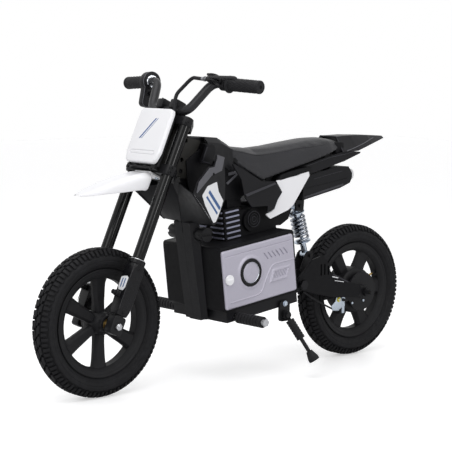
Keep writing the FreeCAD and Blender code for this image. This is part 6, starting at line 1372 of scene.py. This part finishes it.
class MakeSeat(bpy.types.Operator):
    """Vinyl seat: foam fills the cover in a cloth run, then the welts are laid on its seams."""

    bl_idname = "motorbike.seat"
    bl_label = "Seat"

    def execute(self, context):
        scene = context.scene
        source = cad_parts["seat_cushion"]
        cushion = bpy.data.objects.new("vinyl_seat", source.data.copy())
        cushion.data.materials.clear()
        scene.collection.objects.link(cushion)
        weld = cushion.modifiers.new("Weld", "WELD")
        weld.merge_threshold = 0.00005
        remesh = cushion.modifiers.new("Remesh", "REMESH")
        remesh.mode = "VOXEL"
        remesh.voxel_size = SEAT_VOXEL
        settled(cushion)
        mesh = cushion.data
        normals = [vertex.normal.copy() for vertex in mesh.vertices]
        for vertex, normal in zip(mesh.vertices, normals):
            if normal.z > SEAT_UNDERSIDE:
                vertex.co -= normal * SEAT_SHRINK
        start = [vertex.co.copy() for vertex in mesh.vertices]
        held = cushion.vertex_groups.new(name="held")
        underside = [v.index for v, n in zip(mesh.vertices, normals) if n.z < SEAT_UNDERSIDE]
        held.add(underside, 1.0, "REPLACE")
        cloth = cushion.modifiers.new("Cloth", "CLOTH")
        cloth.settings.quality = 4
        cloth.settings.mass = 0.3
        cloth.settings.tension_stiffness = 20
        cloth.settings.compression_stiffness = 20
        cloth.settings.shear_stiffness = 8
        cloth.settings.bending_stiffness = 2
        cloth.settings.use_pressure = True
        cloth.settings.uniform_pressure_force = FILL_PRESSURE
        cloth.settings.effector_weights.gravity = 0
        cloth.settings.vertex_group_mass = "held"
        cloth.point_cache.frame_start = 1
        cloth.point_cache.frame_end = FILL_FRAMES
        for step in range(1, FILL_FRAMES + 1):
            scene.frame_set(step)
        settled(cushion)
        scene.frame_set(1)
        cap = scene.motorbike_sizes.seat_swell
        for vertex, old in zip(cushion.data.vertices, start):
            move = vertex.co - old
            if move.length > cap:
                vertex.co = old + move.normalized() * cap
        cushion.vertex_groups.clear()
        ease_out = cushion.modifiers.new("Ease", "SMOOTH")
        ease_out.factor = 0.5
        ease_out.iterations = 2
        settled(cushion)
        soft_surface(cushion, 1)
        settled(cushion)
        cushion.data.shade_smooth()
        dressed(cushion, "chassis", FINISHES["seat_vinyl"], "seat_cover", "seat_cushion")

        tree = surface_of(cushion)
        bm = bmesh.new()
        low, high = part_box("seat_cushion")
        for side in (1, -1):
            reach = high.x - low.x - 0.05
            places = [high.x - 0.016 - reach * k / WELT_STEPS for k in range(WELT_STEPS + 1)]
            spots = [welt_spot(tree, x, side) for x in places]
            points = [spot for spot in spots if spot is not None]
            for _ in range(WELT_PASSES):
                middle = [(a + b + b + c) / 4 for a, b, c in zip(points, points[1:], points[2:])]
                points = points[:1] + middle + points[-1:]
            swept(bm, points, WELT_RADIUS, 10)
        dressed(finished("seat_welts", bm, BIKE, 60), "chassis", FINISHES["seat_vinyl"], "seat_cover")
        return {"FINISHED"}


# Shock.

SHOCK_TOP = Vector((-217, 0, 419))
SHOCK_LOW = Vector((-258, 0, 285))
SHOCK_LENGTH = (SHOCK_LOW - SHOCK_TOP).length
SPRING_RADIUS = 17.5
SPRING_WIRE = 3.5
SPRING_START = 25.0
SPRING_END = 95.0
EYE_HALF = 11
DAMPER_LINE = [(0, 17), (20.0, 17), (21.8, 17.8), (21.8, 20.4), (20.4, 21.0), (12.4, 21.2), (11.0, 22.0),
               (11.0, 72), (10.0, 74), (5.2, 74), (5.2, 28), (0, 28)]
DAMPER_NECK = [(8.0, 6), (8.0, 17.5)]
ROD_LINE = [(0, 48), (4.9, 48), (4.9, 99), (12, 99), (12.6, 98.4), (20.2, 98.8), (21.8, 99.8), (21.8, 102.2),
            (20.6, 103), (8.0, 103), (8.0, SHOCK_LENGTH - 7)]


def shock_eye(bm, spot, bore):
    """One of the shock's eyes, across the bike."""
    line = [(bore, 0), (10.2, 0), (11.0, 0.8), (11.0, 21.2), (10.2, 22), (bore, 22)]
    turned(bm, pointing(spot - Vector((0, EYE_HALF, 0)), (0, 1, 0)), line, 40, closed=True)


class MakeShock(bpy.types.Operator):
    """Coil spring of the rear shock, with its damper, seats and eyes."""

    bl_idname = "motorbike.shock"
    bl_label = "Shock"

    def execute(self, context):
        line = (SHOCK_LOW - SHOCK_TOP).normalized()
        place = pointing(SHOCK_TOP, line, (1, 0, 0))
        turns = context.scene.motorbike_sizes.spring_turns
        bm = bmesh.new()
        points = []
        steps = int(turns * 36)
        for k in range(steps + 1):
            share = k / steps
            turn = share * turns * 2 * math.pi
            flat = ease(0, 0.10, share) * 0.5 + ease(0.90, 1.0, share) * 0.5
            eased = share + (flat - share) * 0.07
            along = SPRING_START + (SPRING_END - SPRING_START) * eased
            x, y = SPRING_RADIUS * math.cos(turn), SPRING_RADIUS * math.sin(turn)
            points.append(place @ Vector((x, y, along)))
        swept(bm, points, SPRING_WIRE, 14)
        spring = finished("chrome_spring", bm, BIKE, 60)
        dressed(spring, "shock_upper", FINISHES["spring_steel"], "chrome", "shock_spring")
        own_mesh(spring)

        bm = bmesh.new()
        turned(bm, place, DAMPER_LINE, 48)
        turned(bm, place, DAMPER_NECK, 32)
        shock_eye(bm, SHOCK_TOP, 5.1)
        dressed(finished("damper_body", bm, BIKE), "shock_upper", FINISHES["zinc"], "chrome", "shock_body")
        bm = bmesh.new()
        turned(bm, place, ROD_LINE, 48)
        shock_eye(bm, SHOCK_LOW, 5.8)
        dressed(finished("damper_rod", bm, BIKE), "shock_lower", FINISHES["zinc"], "chrome", "shock_rod")
        return {"FINISHED"}


# Trims on the body, with painted highlight and painted shade lines among them.

def flank_at(surface, side, x, z):
    """How far out a flank of the surface lies at one place, in millimetres."""
    spot = surface.ray_cast(Vector((x * MM, side * 0.4, z * MM)), Vector((0, -side, 0)))[0]
    if spot is None:
        raise RuntimeError(f"no surface under the trim at {x}, {z}")
    return abs(spot.y) / MM


def laid(bm, surface, points, side, proud, sunk=0.4, material=0):
    """A thin trim laid on a flank: its outline in x and z, and how far it or each point stands proud."""
    low, high = [], []
    for x, z, *own in points:
        out = flank_at(surface, side, x, z)
        low.append(Vector((x, side * (out - sunk), z)))
        high.append(Vector((x, side * (out + (own[0] if own else proud)), z)))
    skin(bm, [low, high], material=material)


KITE = [(137, 504), (129, 480), (109, 456), (117, 441), (126, 426), (135, 413), (140, 406.5), (150, 405),
        (184.5, 450), (197, 475), (175, 496)]
KITE_STRIPES = ([(120, 440), (126, 434), (172, 480), (166, 486)],
                [(132, 428), (136, 424), (181, 469), (177, 473)])
CHEVRON = [(61.9, 519.5), (19.4, 526.5), (18, 521.2), (62.6, 490.2), (67.9, 494.9), (33, 516.7), (60, 512.5)]
INNER_COVER = [(84, 556), (36, 556), (-14, 512), (-6, 470), (20, 452), (84, 452)]
TAIL_LINE = [(-353.4, 54.8, 560), (-381.5, 49.6, 564.8), (-405.8, 44.6, 570.2), (-431.1, 38.9, 575.5),
             (-458.2, 31.6, 582.4), (-489.4, 20.6, 589.6)]
TRAY_EDGE_HIGHLIGHT = [(-177.9, 519.3), (-235.6, 532.5), (-290.6, 544.8), (-346.8, 551.9), (-380.9, 557.4)]
MUFFLER_RIDGE_HIGHLIGHT = [(-240, 490.2), (-251.8, 492.2), (-314.8, 502.5), (-345, 506.5)]
MUFFLER_GROOVE_SHADE = [(-212, 467.5), (-237.6, 470.6), (-300.4, 478.1), (-364.4, 487)]
RAIL_COVER = [(-66, 470), (-72, 502), (-120, 514), (-186, 524), (-196, 508), (-140, 490), (-100, 470)]
SEAT_RAIL = [(-85, 494.1), (-105.9, 498.2), (-126.9, 502.4), (-162.2, 508.4), (-205.2, 515.6), (-201.4, 526),
             (-162, 521.3), (-126.7, 515.1), (-98.7, 508.7)]
PANEL_BACK = [(-112, 420), (-127, 430), (-143, 450), (-159, 470), (-174, 490), (-182, 500), (-184, 512),
              (-203, 512), (-202, 500), (-194, 490), (-179, 470), (-163, 450), (-147, 430), (-132, 420),
              (-118, 413)]
BRAKE_BRACKET = [(-298.1, 150.9), (-313, 160.1), (-318, 172), (-333, 172), (-338, 158), (-349.3, 153.7),
                 (-349.5, 145.6), (-338.1, 144.1), (-326.8, 135.8), (-304.1, 138.2)]

TRIMMED = ("shrouds", "shroud_strips", "tank_cover", "side_panels", "mock_engine", "swingarm_covers",
           "muffler", "tail_fender", "front_shells", "kickstand_bracket")
# Thin white strip along each shroud's lower front edge: painted highlight.
SHROUD_HIGHLIGHT_LINE = [(226.5, 477.5), (228, 478.8), (166, 418.4), (164.8, 416.6)]
STRIP_BOLT = (152.5, 523.5)
ARM_BARS = ([(-290, 233), (-312, 227.5), (-312, 225), (-290, 230.5)],
            [(-300, 221), (-334, 214.5), (-334, 213), (-300, 219.5)])
ARM_PANEL = [(-283, 245), (-291, 226), (-304, 211), (-350, 210), (-322, 226)]
ARM_EDGE_HIGHLIGHT = [(-293.4, 239), (-324.4, 225), (-351, 213.4), (-350, 210.6), (-323.6, 222), (-292.2, 236.2)]
TANK_EDGE_HIGHLIGHTS = ([(149.6, 549.6), (146.6, 550.4), (130.6, 586), (134, 586.6)],
              [(149.6, 549.6), (124, 544.4), (124.4, 547.8), (147.4, 552.6)])
PANEL_EDGE_HIGHLIGHT = [(29, 461.5, 4.0), (-71, 488, 4.0), (-69, 491.5, 0.2), (31, 467, 0.2)]
ENGINE_COVER = (-12.5, 401.5)
ENGINE_RINGS = ((18.8, 20.6), (12.6, 13.8), (6.0, 7.4))
COVER_PINS = ((25, 505), (38, 495))
TOOTH_START = (-208, 443.5)
TOOTH_PITCH = 3.8
TOOTH_RISE = 0.19
TEETH = 38
BRACKET_NUT = (-325.5, 166)
BRAKE_BOLTS = ((-388, 149), (-431, 152))
STAND_BOLT = (-82, 186)
REAR_CABLE = [(-196, 59, 200), (-235, 56, 173), (-327.75, 56, 133)]


class MakeTrims(bpy.types.Operator):
    """Shroud stripes, inner covers, rails, seams, muffler teeth, brake bracket and other thin trims, among
    them beads of lit plastic on edges, ridges and rings as painted highlight and a dark bead in the muffler's
    groove as painted shade.
    """

    bl_idname = "motorbike.trims"
    bl_label = "Body trims"

    def execute(self, context):
        surface = {node: surface_of(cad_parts[node]) for node in TRIMMED}
        shrouds, covers, muffler = surface["shrouds"], surface["swingarm_covers"], surface["muffler"]
        # light collects the painted highlight beads and rings in the lit plastic, and the stand bolt; dark
        # collects the dark plastic pieces and the painted groove shade.
        decals_and_highlight, edges, dark, light, teeth, arm = (bmesh.new() for k in range(6))
        for side in (1, -1):
            laid(decals_and_highlight, shrouds, rounded(KITE, 3, 3), side, 0.5)
            for stripe in KITE_STRIPES:
                laid(decals_and_highlight, shrouds, stripe, side, 0.8, material=1)
            # The white strip along the shroud's lower front edge is a painted highlight.
            laid(decals_and_highlight, shrouds, SHROUD_HIGHLIGHT_LINE, side, 0.3)
            for bar in ARM_BARS:
                laid(arm, covers, bar, side, 0.9)
            x, z = STRIP_BOLT
            out = flank_at(surface["shroud_strips"], side, x, z)
            socket_bolt(dark, (x, side * (out - 0.4), z), (-0.26, side * 0.97, 0), 3.6, 1.4)
            laid(arm, covers, ARM_PANEL, side, 0.4, material=1)
            # Beads of lit plastic on the tank cover's edges: painted highlight.
            for edge in TANK_EDGE_HIGHLIGHTS:
                laid(light, surface["tank_cover"], edge, side, 0.9)
            # Strip of lit plastic on the side panel's bevel: painted highlight.
            laid(light, surface["side_panels"], PANEL_EDGE_HIGHLIGHT, side, 0.2)
            # Strip of lit plastic along the arm cover's edge: painted highlight.
            laid(arm, covers, ARM_EDGE_HIGHLIGHT, side, 0.8, material=2)
            x, z = ENGINE_COVER
            place = pointing((x, side * (flank_at(surface["mock_engine"], side, x, z) - 0.3), z),
                             (0, side, 0))
            # Raised rings on the engine cover in the lit plastic: painted highlight on their ridges.
            for inner, outer in ENGINE_RINGS:
                turned(light, place, [(inner, 0), (outer, 0), (outer - 0.3, 1.2), (inner + 0.3, 1.2)], 56,
                       closed=True)
            plate(dark, rounded(INNER_COVER, 8, 4), lengthwise(side), 45.5, 48.0, 1.0)
            plate(edges, CHEVRON, lengthwise(side), 47.6, 50.2, 0.6)
            brick(dark, (127, 28.8, 566), (133, 44.6, 594), lambda u, v, w, s=side: Vector((u, s * v, w)),
                  0.8)
            for x, z in COVER_PINS:
                pin(dark, (x, side * 21.6, z), (x, side * 46, z), 5.0)
            swept(edges, [(x, side * y, z) for x, y, z in TAIL_LINE], 1.1, 8)
            # Bead of lit plastic along the undertray's top edge: painted highlight.
            swept(light, [(x, side * 54, z) for x, z in TRAY_EDGE_HIGHLIGHT], 1.0, 8)
            # The ridge is a bead in the lit plastic and the groove a bead in the darker plastic: painted
            # highlight and painted shade along the muffler's moulding.
            for line, mesh in ((MUFFLER_RIDGE_HIGHLIGHT, light), (MUFFLER_GROOVE_SHADE, dark)):
                swept(mesh, [(x, side * flank_at(muffler, side, x, z), z) for x, z in line], 0.8, 8)
            plate(dark, rounded(RAIL_COVER, 4, 3), lengthwise(side), 43.0, 45.0, 0.6)
            plate(dark, rounded(PANEL_BACK, 3, 3), lengthwise(side), 62.0, 68.0, 1.0)
            plate(dark, rounded(SEAT_RAIL, 3, 3), lengthwise(side), 50.0, 76.4, 1.0)
            for k in range(TEETH):
                x = TOOTH_START[0] - TOOTH_PITCH * k
                z = TOOTH_START[1] + TOOTH_PITCH * k * TOOTH_RISE
                out = flank_at(muffler, side, x, z)
                brick(teeth, (x - 0.9, z - 2.6, out - 1.0), (x + 0.9, z + 2.6, out + 0.9), lengthwise(side),
                      0.3)
        plate(arm, BRAKE_BRACKET, lengthwise(1), 58.7, 61.0, 0.5, material=3)
        x, z = BRACKET_NUT
        pin(arm, (x, 58, z), (x, 65, z), 3.0, 0.5, 20, material=3)
        hex_head(arm, (x, 61, z), (0, 1, 0), 5.4, 3.4, material=4, washer=6.4)
        for x, z in BRAKE_BOLTS:
            hex_head(arm, (x, 50, z), (0, 1, 0), 3.8, 2.6, material=3)
        x, z = STAND_BOLT
        out = flank_at(surface["kickstand_bracket"], 1, x, z)
        hex_head(light, (x, out, z), (0, 1, 0), 6.0, 4.2, material=1, washer=7.2)
        brick(dark, (-348, -50, 553), (-316, 50, 584), straight, 3.0)
        # Bead of lit plastic along the tail fender's front edge: painted highlight.
        tail, down = surface["tail_fender"], Vector((0, 0, -1))
        front = [tail.ray_cast(Vector((-337, 57 - 3 * k, 700)) * MM, down)[0] for k in range(39)]
        swept(light, [spot / MM for spot in front if spot is not None], 1.0, 8)
        shells, back = surface["front_shells"], Vector((-1, 0, 0))
        seam = [shells.ray_cast(Vector((400, 1, 450 - 4 * k)) * MM, back)[0] for k in range(20)]
        swept(dark, [spot / MM - Vector((0.2, 1, 0)) for spot in seam if spot is not None], 0.8, 8)
        for name, bm, body, slot, *finishes in (
                ("shroud_decals_and_highlight", decals_and_highlight, "chassis", "white_plastic", "decal_and_highlight_white", "stripe_blue"),
                ("chevrons_and_tail_lines", edges, "chassis", "grey_plastic", "grey_plastic"),
                ("inner_covers_and_groove_shade", dark, "chassis", "black_plastic", "dark_plastic_and_groove_shade"),
                ("edge_highlights_and_stand_bolt", light, "chassis", "black_plastic", "highlight_plastic", "zinc"),
                ("muffler_teeth", teeth, "chassis", "grey_plastic", "grey_plastic"),
                ("arm_cover_trims_and_highlight", arm, "rear_arm", "black_plastic", "decal_and_highlight_white", "dark_plastic_and_groove_shade",
                 "highlight_plastic", "zinc", "nut_yellow")):
            dressed(finished(name, bm, BIKE), body, [FINISHES[item] for item in finishes], slot)
        make_cable("rear_wheel_brake_cable", BIKE, REAR_CABLE, 2.5, "rear_arm", "rear_brake_cable")
        return {"FINISHED"}


# Nodes that keep their own solid.

KEPT = {
    "main_frame": ("satin_black", 0.6), "headstock": ("gusset_paint", 0.5), "cradle": ("black_plastic", 1.0),
    "battery_box": ("dark_plastic_and_groove_shade", 1.2), "battery_pack": ("dark_plastic_and_groove_shade", 0.8),
    "motor_controller": ("grey_steel", 0.8), "mock_engine": ("dark_plastic_and_groove_shade", 1.2),
    "engine_fins": ("fin_alloy", 0.5), "front_shells": ("black_plastic", 1.0),
    "shrouds": ("black_plastic", 1.0), "shroud_strips": ("grey_plastic", 0.8),
    "tank_cover": ("black_plastic", 1.0), "side_panels": ("black_plastic", 1.0),
    "white_panels": ("white_plastic", 1.0), "seat_base": ("dark_plastic_and_groove_shade", 0.6),
    "tail_fender": ("black_plastic", 0.8), "tail_undertray": ("black_plastic", 0.8),
    "muffler": ("black_plastic", 1.2), "muffler_caps": ("white_plastic", 0.8),
    "footpeg_bars": ("bright_steel", 0.6), "footpeg_rubbers": ("grip_rubber", 0.5),
    "kickstand_bracket": ("satin_black", 0.8), "lower_clamp": ("satin_black", 1.2),
    "upper_clamp": ("satin_black", 1.2), "swingarm": ("satin_black", 0.8),
    "swingarm_covers": ("dark_plastic_and_groove_shade", 1.0), "rear_axle": ("satin_black", 0.6),
    "brake_plate": ("satin_black", 0.5), "brake_arm": ("zinc", 0.5), "kickstand_leg": ("satin_black", 0.5),
    "kickstand_rubbers": ("grip_rubber", 0.4),
}


class DressSolids(bpy.types.Operator):
    """Finish the solids that need no more form than their own, with rounded edges."""

    bl_idname = "motorbike.solids"
    bl_label = "Kept solids"

    def execute(self, context):
        for node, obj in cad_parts.items():
            if obj.hide_render:
                continue
            name, width = KEPT[node]
            obj.data.materials.clear()
            obj.data.materials.append(FINISHES[name])
            if width:
                weld = obj.modifiers.new("Weld", "WELD")
                weld.merge_threshold = 0.00002
                rounded_edges(obj, width, 2, 30)
        return {"FINISHED"}


# Stage.

CAMERA_TURN = math.radians(138.3972)
CAMERA_RISE = math.radians(6.388)
CAMERA_ROLL = math.radians(0.558)
CAMERA_SPOT = (2.577, 2.876, 0.811)
FLOOR_GLOW = 0.42
FLOOR_HALF = 9000


def area_light(name, spot, target, size, power, tall=None):
    data = bpy.data.lights.new(name, "AREA")
    data.shape = "RECTANGLE"
    data.size = size
    data.size_y = tall or size
    data.energy = power
    lamp = bpy.data.objects.new(name, data)
    lamp.matrix_world = pointing(spot, Vector(spot) - Vector(target))
    bpy.context.scene.collection.objects.link(lamp)
    return lamp


def white_to_eye(nodes, links):
    """A value of one where the camera, a reflection or glass looks: they see the plain white room."""
    path = nodes.new("ShaderNodeLightPath")
    seen = path.outputs["Is Camera Ray"]
    for name in ("Is Glossy Ray", "Is Transmission Ray"):
        most = nodes.new("ShaderNodeMath")
        most.operation = "MAXIMUM"
        links.new(seen, most.inputs[0])
        links.new(path.outputs[name], most.inputs[1])
        seen = most.outputs["Value"]
    return seen


class MakeStage(bpy.types.Operator):
    """White floor, soft lights and the camera."""

    bl_idname = "motorbike.stage"
    bl_label = "Stage"

    def execute(self, context):
        scene = context.scene
        stage = scene.motorbike_stage
        world = bpy.data.worlds.new("Room")
        scene.world = world
        world.use_nodes = True
        nodes, links = world.node_tree.nodes, world.node_tree.links
        room = nodes["Background"]
        room.inputs["Color"].default_value = (1, 1, 1, 1)
        level = nodes.new("ShaderNodeMapRange")
        level.inputs["To Min"].default_value = stage.fill
        level.inputs["To Max"].default_value = 1.0
        links.new(white_to_eye(nodes, links), level.inputs["Value"])
        links.new(level.outputs["Result"], room.inputs["Strength"])

        bm = bmesh.new()
        bmesh.ops.create_grid(bm, x_segments=8, y_segments=8, size=FLOOR_HALF)
        floor = finished("floor", bm, BIKE)
        floor.location.z = CAD_BOX[0][2] - 0.0005
        material, nodes, links = new_finish("floor_white", tuple(stage.floor))
        shader = nodes["Principled BSDF"]
        where = nodes.new("ShaderNodeTexCoord").outputs["Object"]
        tone = tuple(stage.floor)
        links.new(ramp(nodes, links, noise(nodes, links, where, 0.8),
                       [(0.3, tuple(c * 0.985 for c in tone)), (0.7, tone)]),
                  shader.inputs["Base Color"])
        shader.inputs["Roughness"].default_value = 0.4
        glow = nodes.new("ShaderNodeEmission")
        eye = nodes.new("ShaderNodeLightPath").outputs["Is Camera Ray"]
        lift = nodes.new("ShaderNodeMapRange")
        lift.inputs["To Max"].default_value = FLOOR_GLOW
        links.new(eye, lift.inputs["Value"])
        links.new(lift.outputs["Result"], glow.inputs["Strength"])
        both = nodes.new("ShaderNodeAddShader")
        links.new(shader.outputs["BSDF"], both.inputs[0])
        links.new(glow.outputs["Emission"], both.inputs[1])
        links.new(both.outputs["Shader"], nodes["Material Output"].inputs["Surface"])
        floor.data.materials.append(material)

        area_light("overhead", (0.6, 0.5, 2.9), (0, 0, 0.3), 2.6, stage.key)
        area_light("front", (2.6, 1.0, 1.7), (0, 0, 0.4), 1.4, stage.key * 0.35)
        area_light("strip", (-0.2, 3.0, 1.2), (0.2, 0, 0.4), 0.22, stage.strip, 2.2)

        data = bpy.data.cameras.new("Camera")
        data.lens = stage.lens
        data.sensor_width = 36.0
        data.clip_end = 60
        camera = bpy.data.objects.new("Camera", data)
        level = math.cos(CAMERA_RISE)
        back = Vector((math.sin(CAMERA_TURN) * level, -math.cos(CAMERA_TURN) * level, math.sin(CAMERA_RISE)))
        right = Vector((0, 0, 1)).cross(back).normalized()
        right = right * math.cos(CAMERA_ROLL) + back.cross(right) * math.sin(CAMERA_ROLL)
        turn = Matrix((right, back.cross(right), back)).transposed().to_4x4()
        camera.matrix_world = Matrix.Translation(CAMERA_SPOT) @ turn
        scene.collection.objects.link(camera)
        scene.camera = camera
        scene.view_settings.view_transform = "Standard"
        return {"FINISHED"}


STEPS = (MakeFinishes, MakeWheels, MakeFork, MakeHandlebar, MakeFrontPlastics, MakeBattery, MakeSeat,
         MakeShock, MakeTrims, DressSolids, MakeStage)
GROUPS = (BikeColours, BikeSizes, BikeStage)


class MotorbikePanel(bpy.types.Panel):
    """Lists the pieces in the order they are made."""

    bl_idname = "VIEW3D_PT_motorbike"
    bl_label = "Motorbike"
    bl_space_type = "VIEW_3D"
    bl_region_type = "UI"
    bl_category = "Motorbike"

    def draw(self, context):
        for step in STEPS:
            self.layout.operator(step.bl_idname)
        for group in (context.scene.motorbike_colours, context.scene.motorbike_sizes,
                      context.scene.motorbike_stage):
            for name in group.bl_rna.properties.keys():
                if name not in ("rna_type", "name"):
                    self.layout.prop(group, name)


def register():
    for item in GROUPS + STEPS + (MotorbikePanel,):
        bpy.utils.register_class(item)
    bpy.types.Scene.motorbike_colours = PointerProperty(type=BikeColours)
    bpy.types.Scene.motorbike_sizes = PointerProperty(type=BikeSizes)
    bpy.types.Scene.motorbike_stage = PointerProperty(type=BikeStage)


def unregister():
    del bpy.types.Scene.motorbike_colours
    del bpy.types.Scene.motorbike_sizes
    del bpy.types.Scene.motorbike_stage
    for item in reversed(GROUPS + STEPS + (MotorbikePanel,)):
        bpy.utils.unregister_class(item)


def main():
    register()
    bpy.ops.motorbike.finishes()
    bpy.ops.motorbike.wheels()
    bpy.ops.motorbike.fork()
    bpy.ops.motorbike.handlebar()
    bpy.ops.motorbike.front_plastics()
    bpy.ops.motorbike.battery()
    bpy.ops.motorbike.seat()
    bpy.ops.motorbike.shock()
    bpy.ops.motorbike.trims()
    bpy.ops.motorbike.solids()
    bpy.ops.motorbike.stage()


if __name__ == "__main__":
    main()
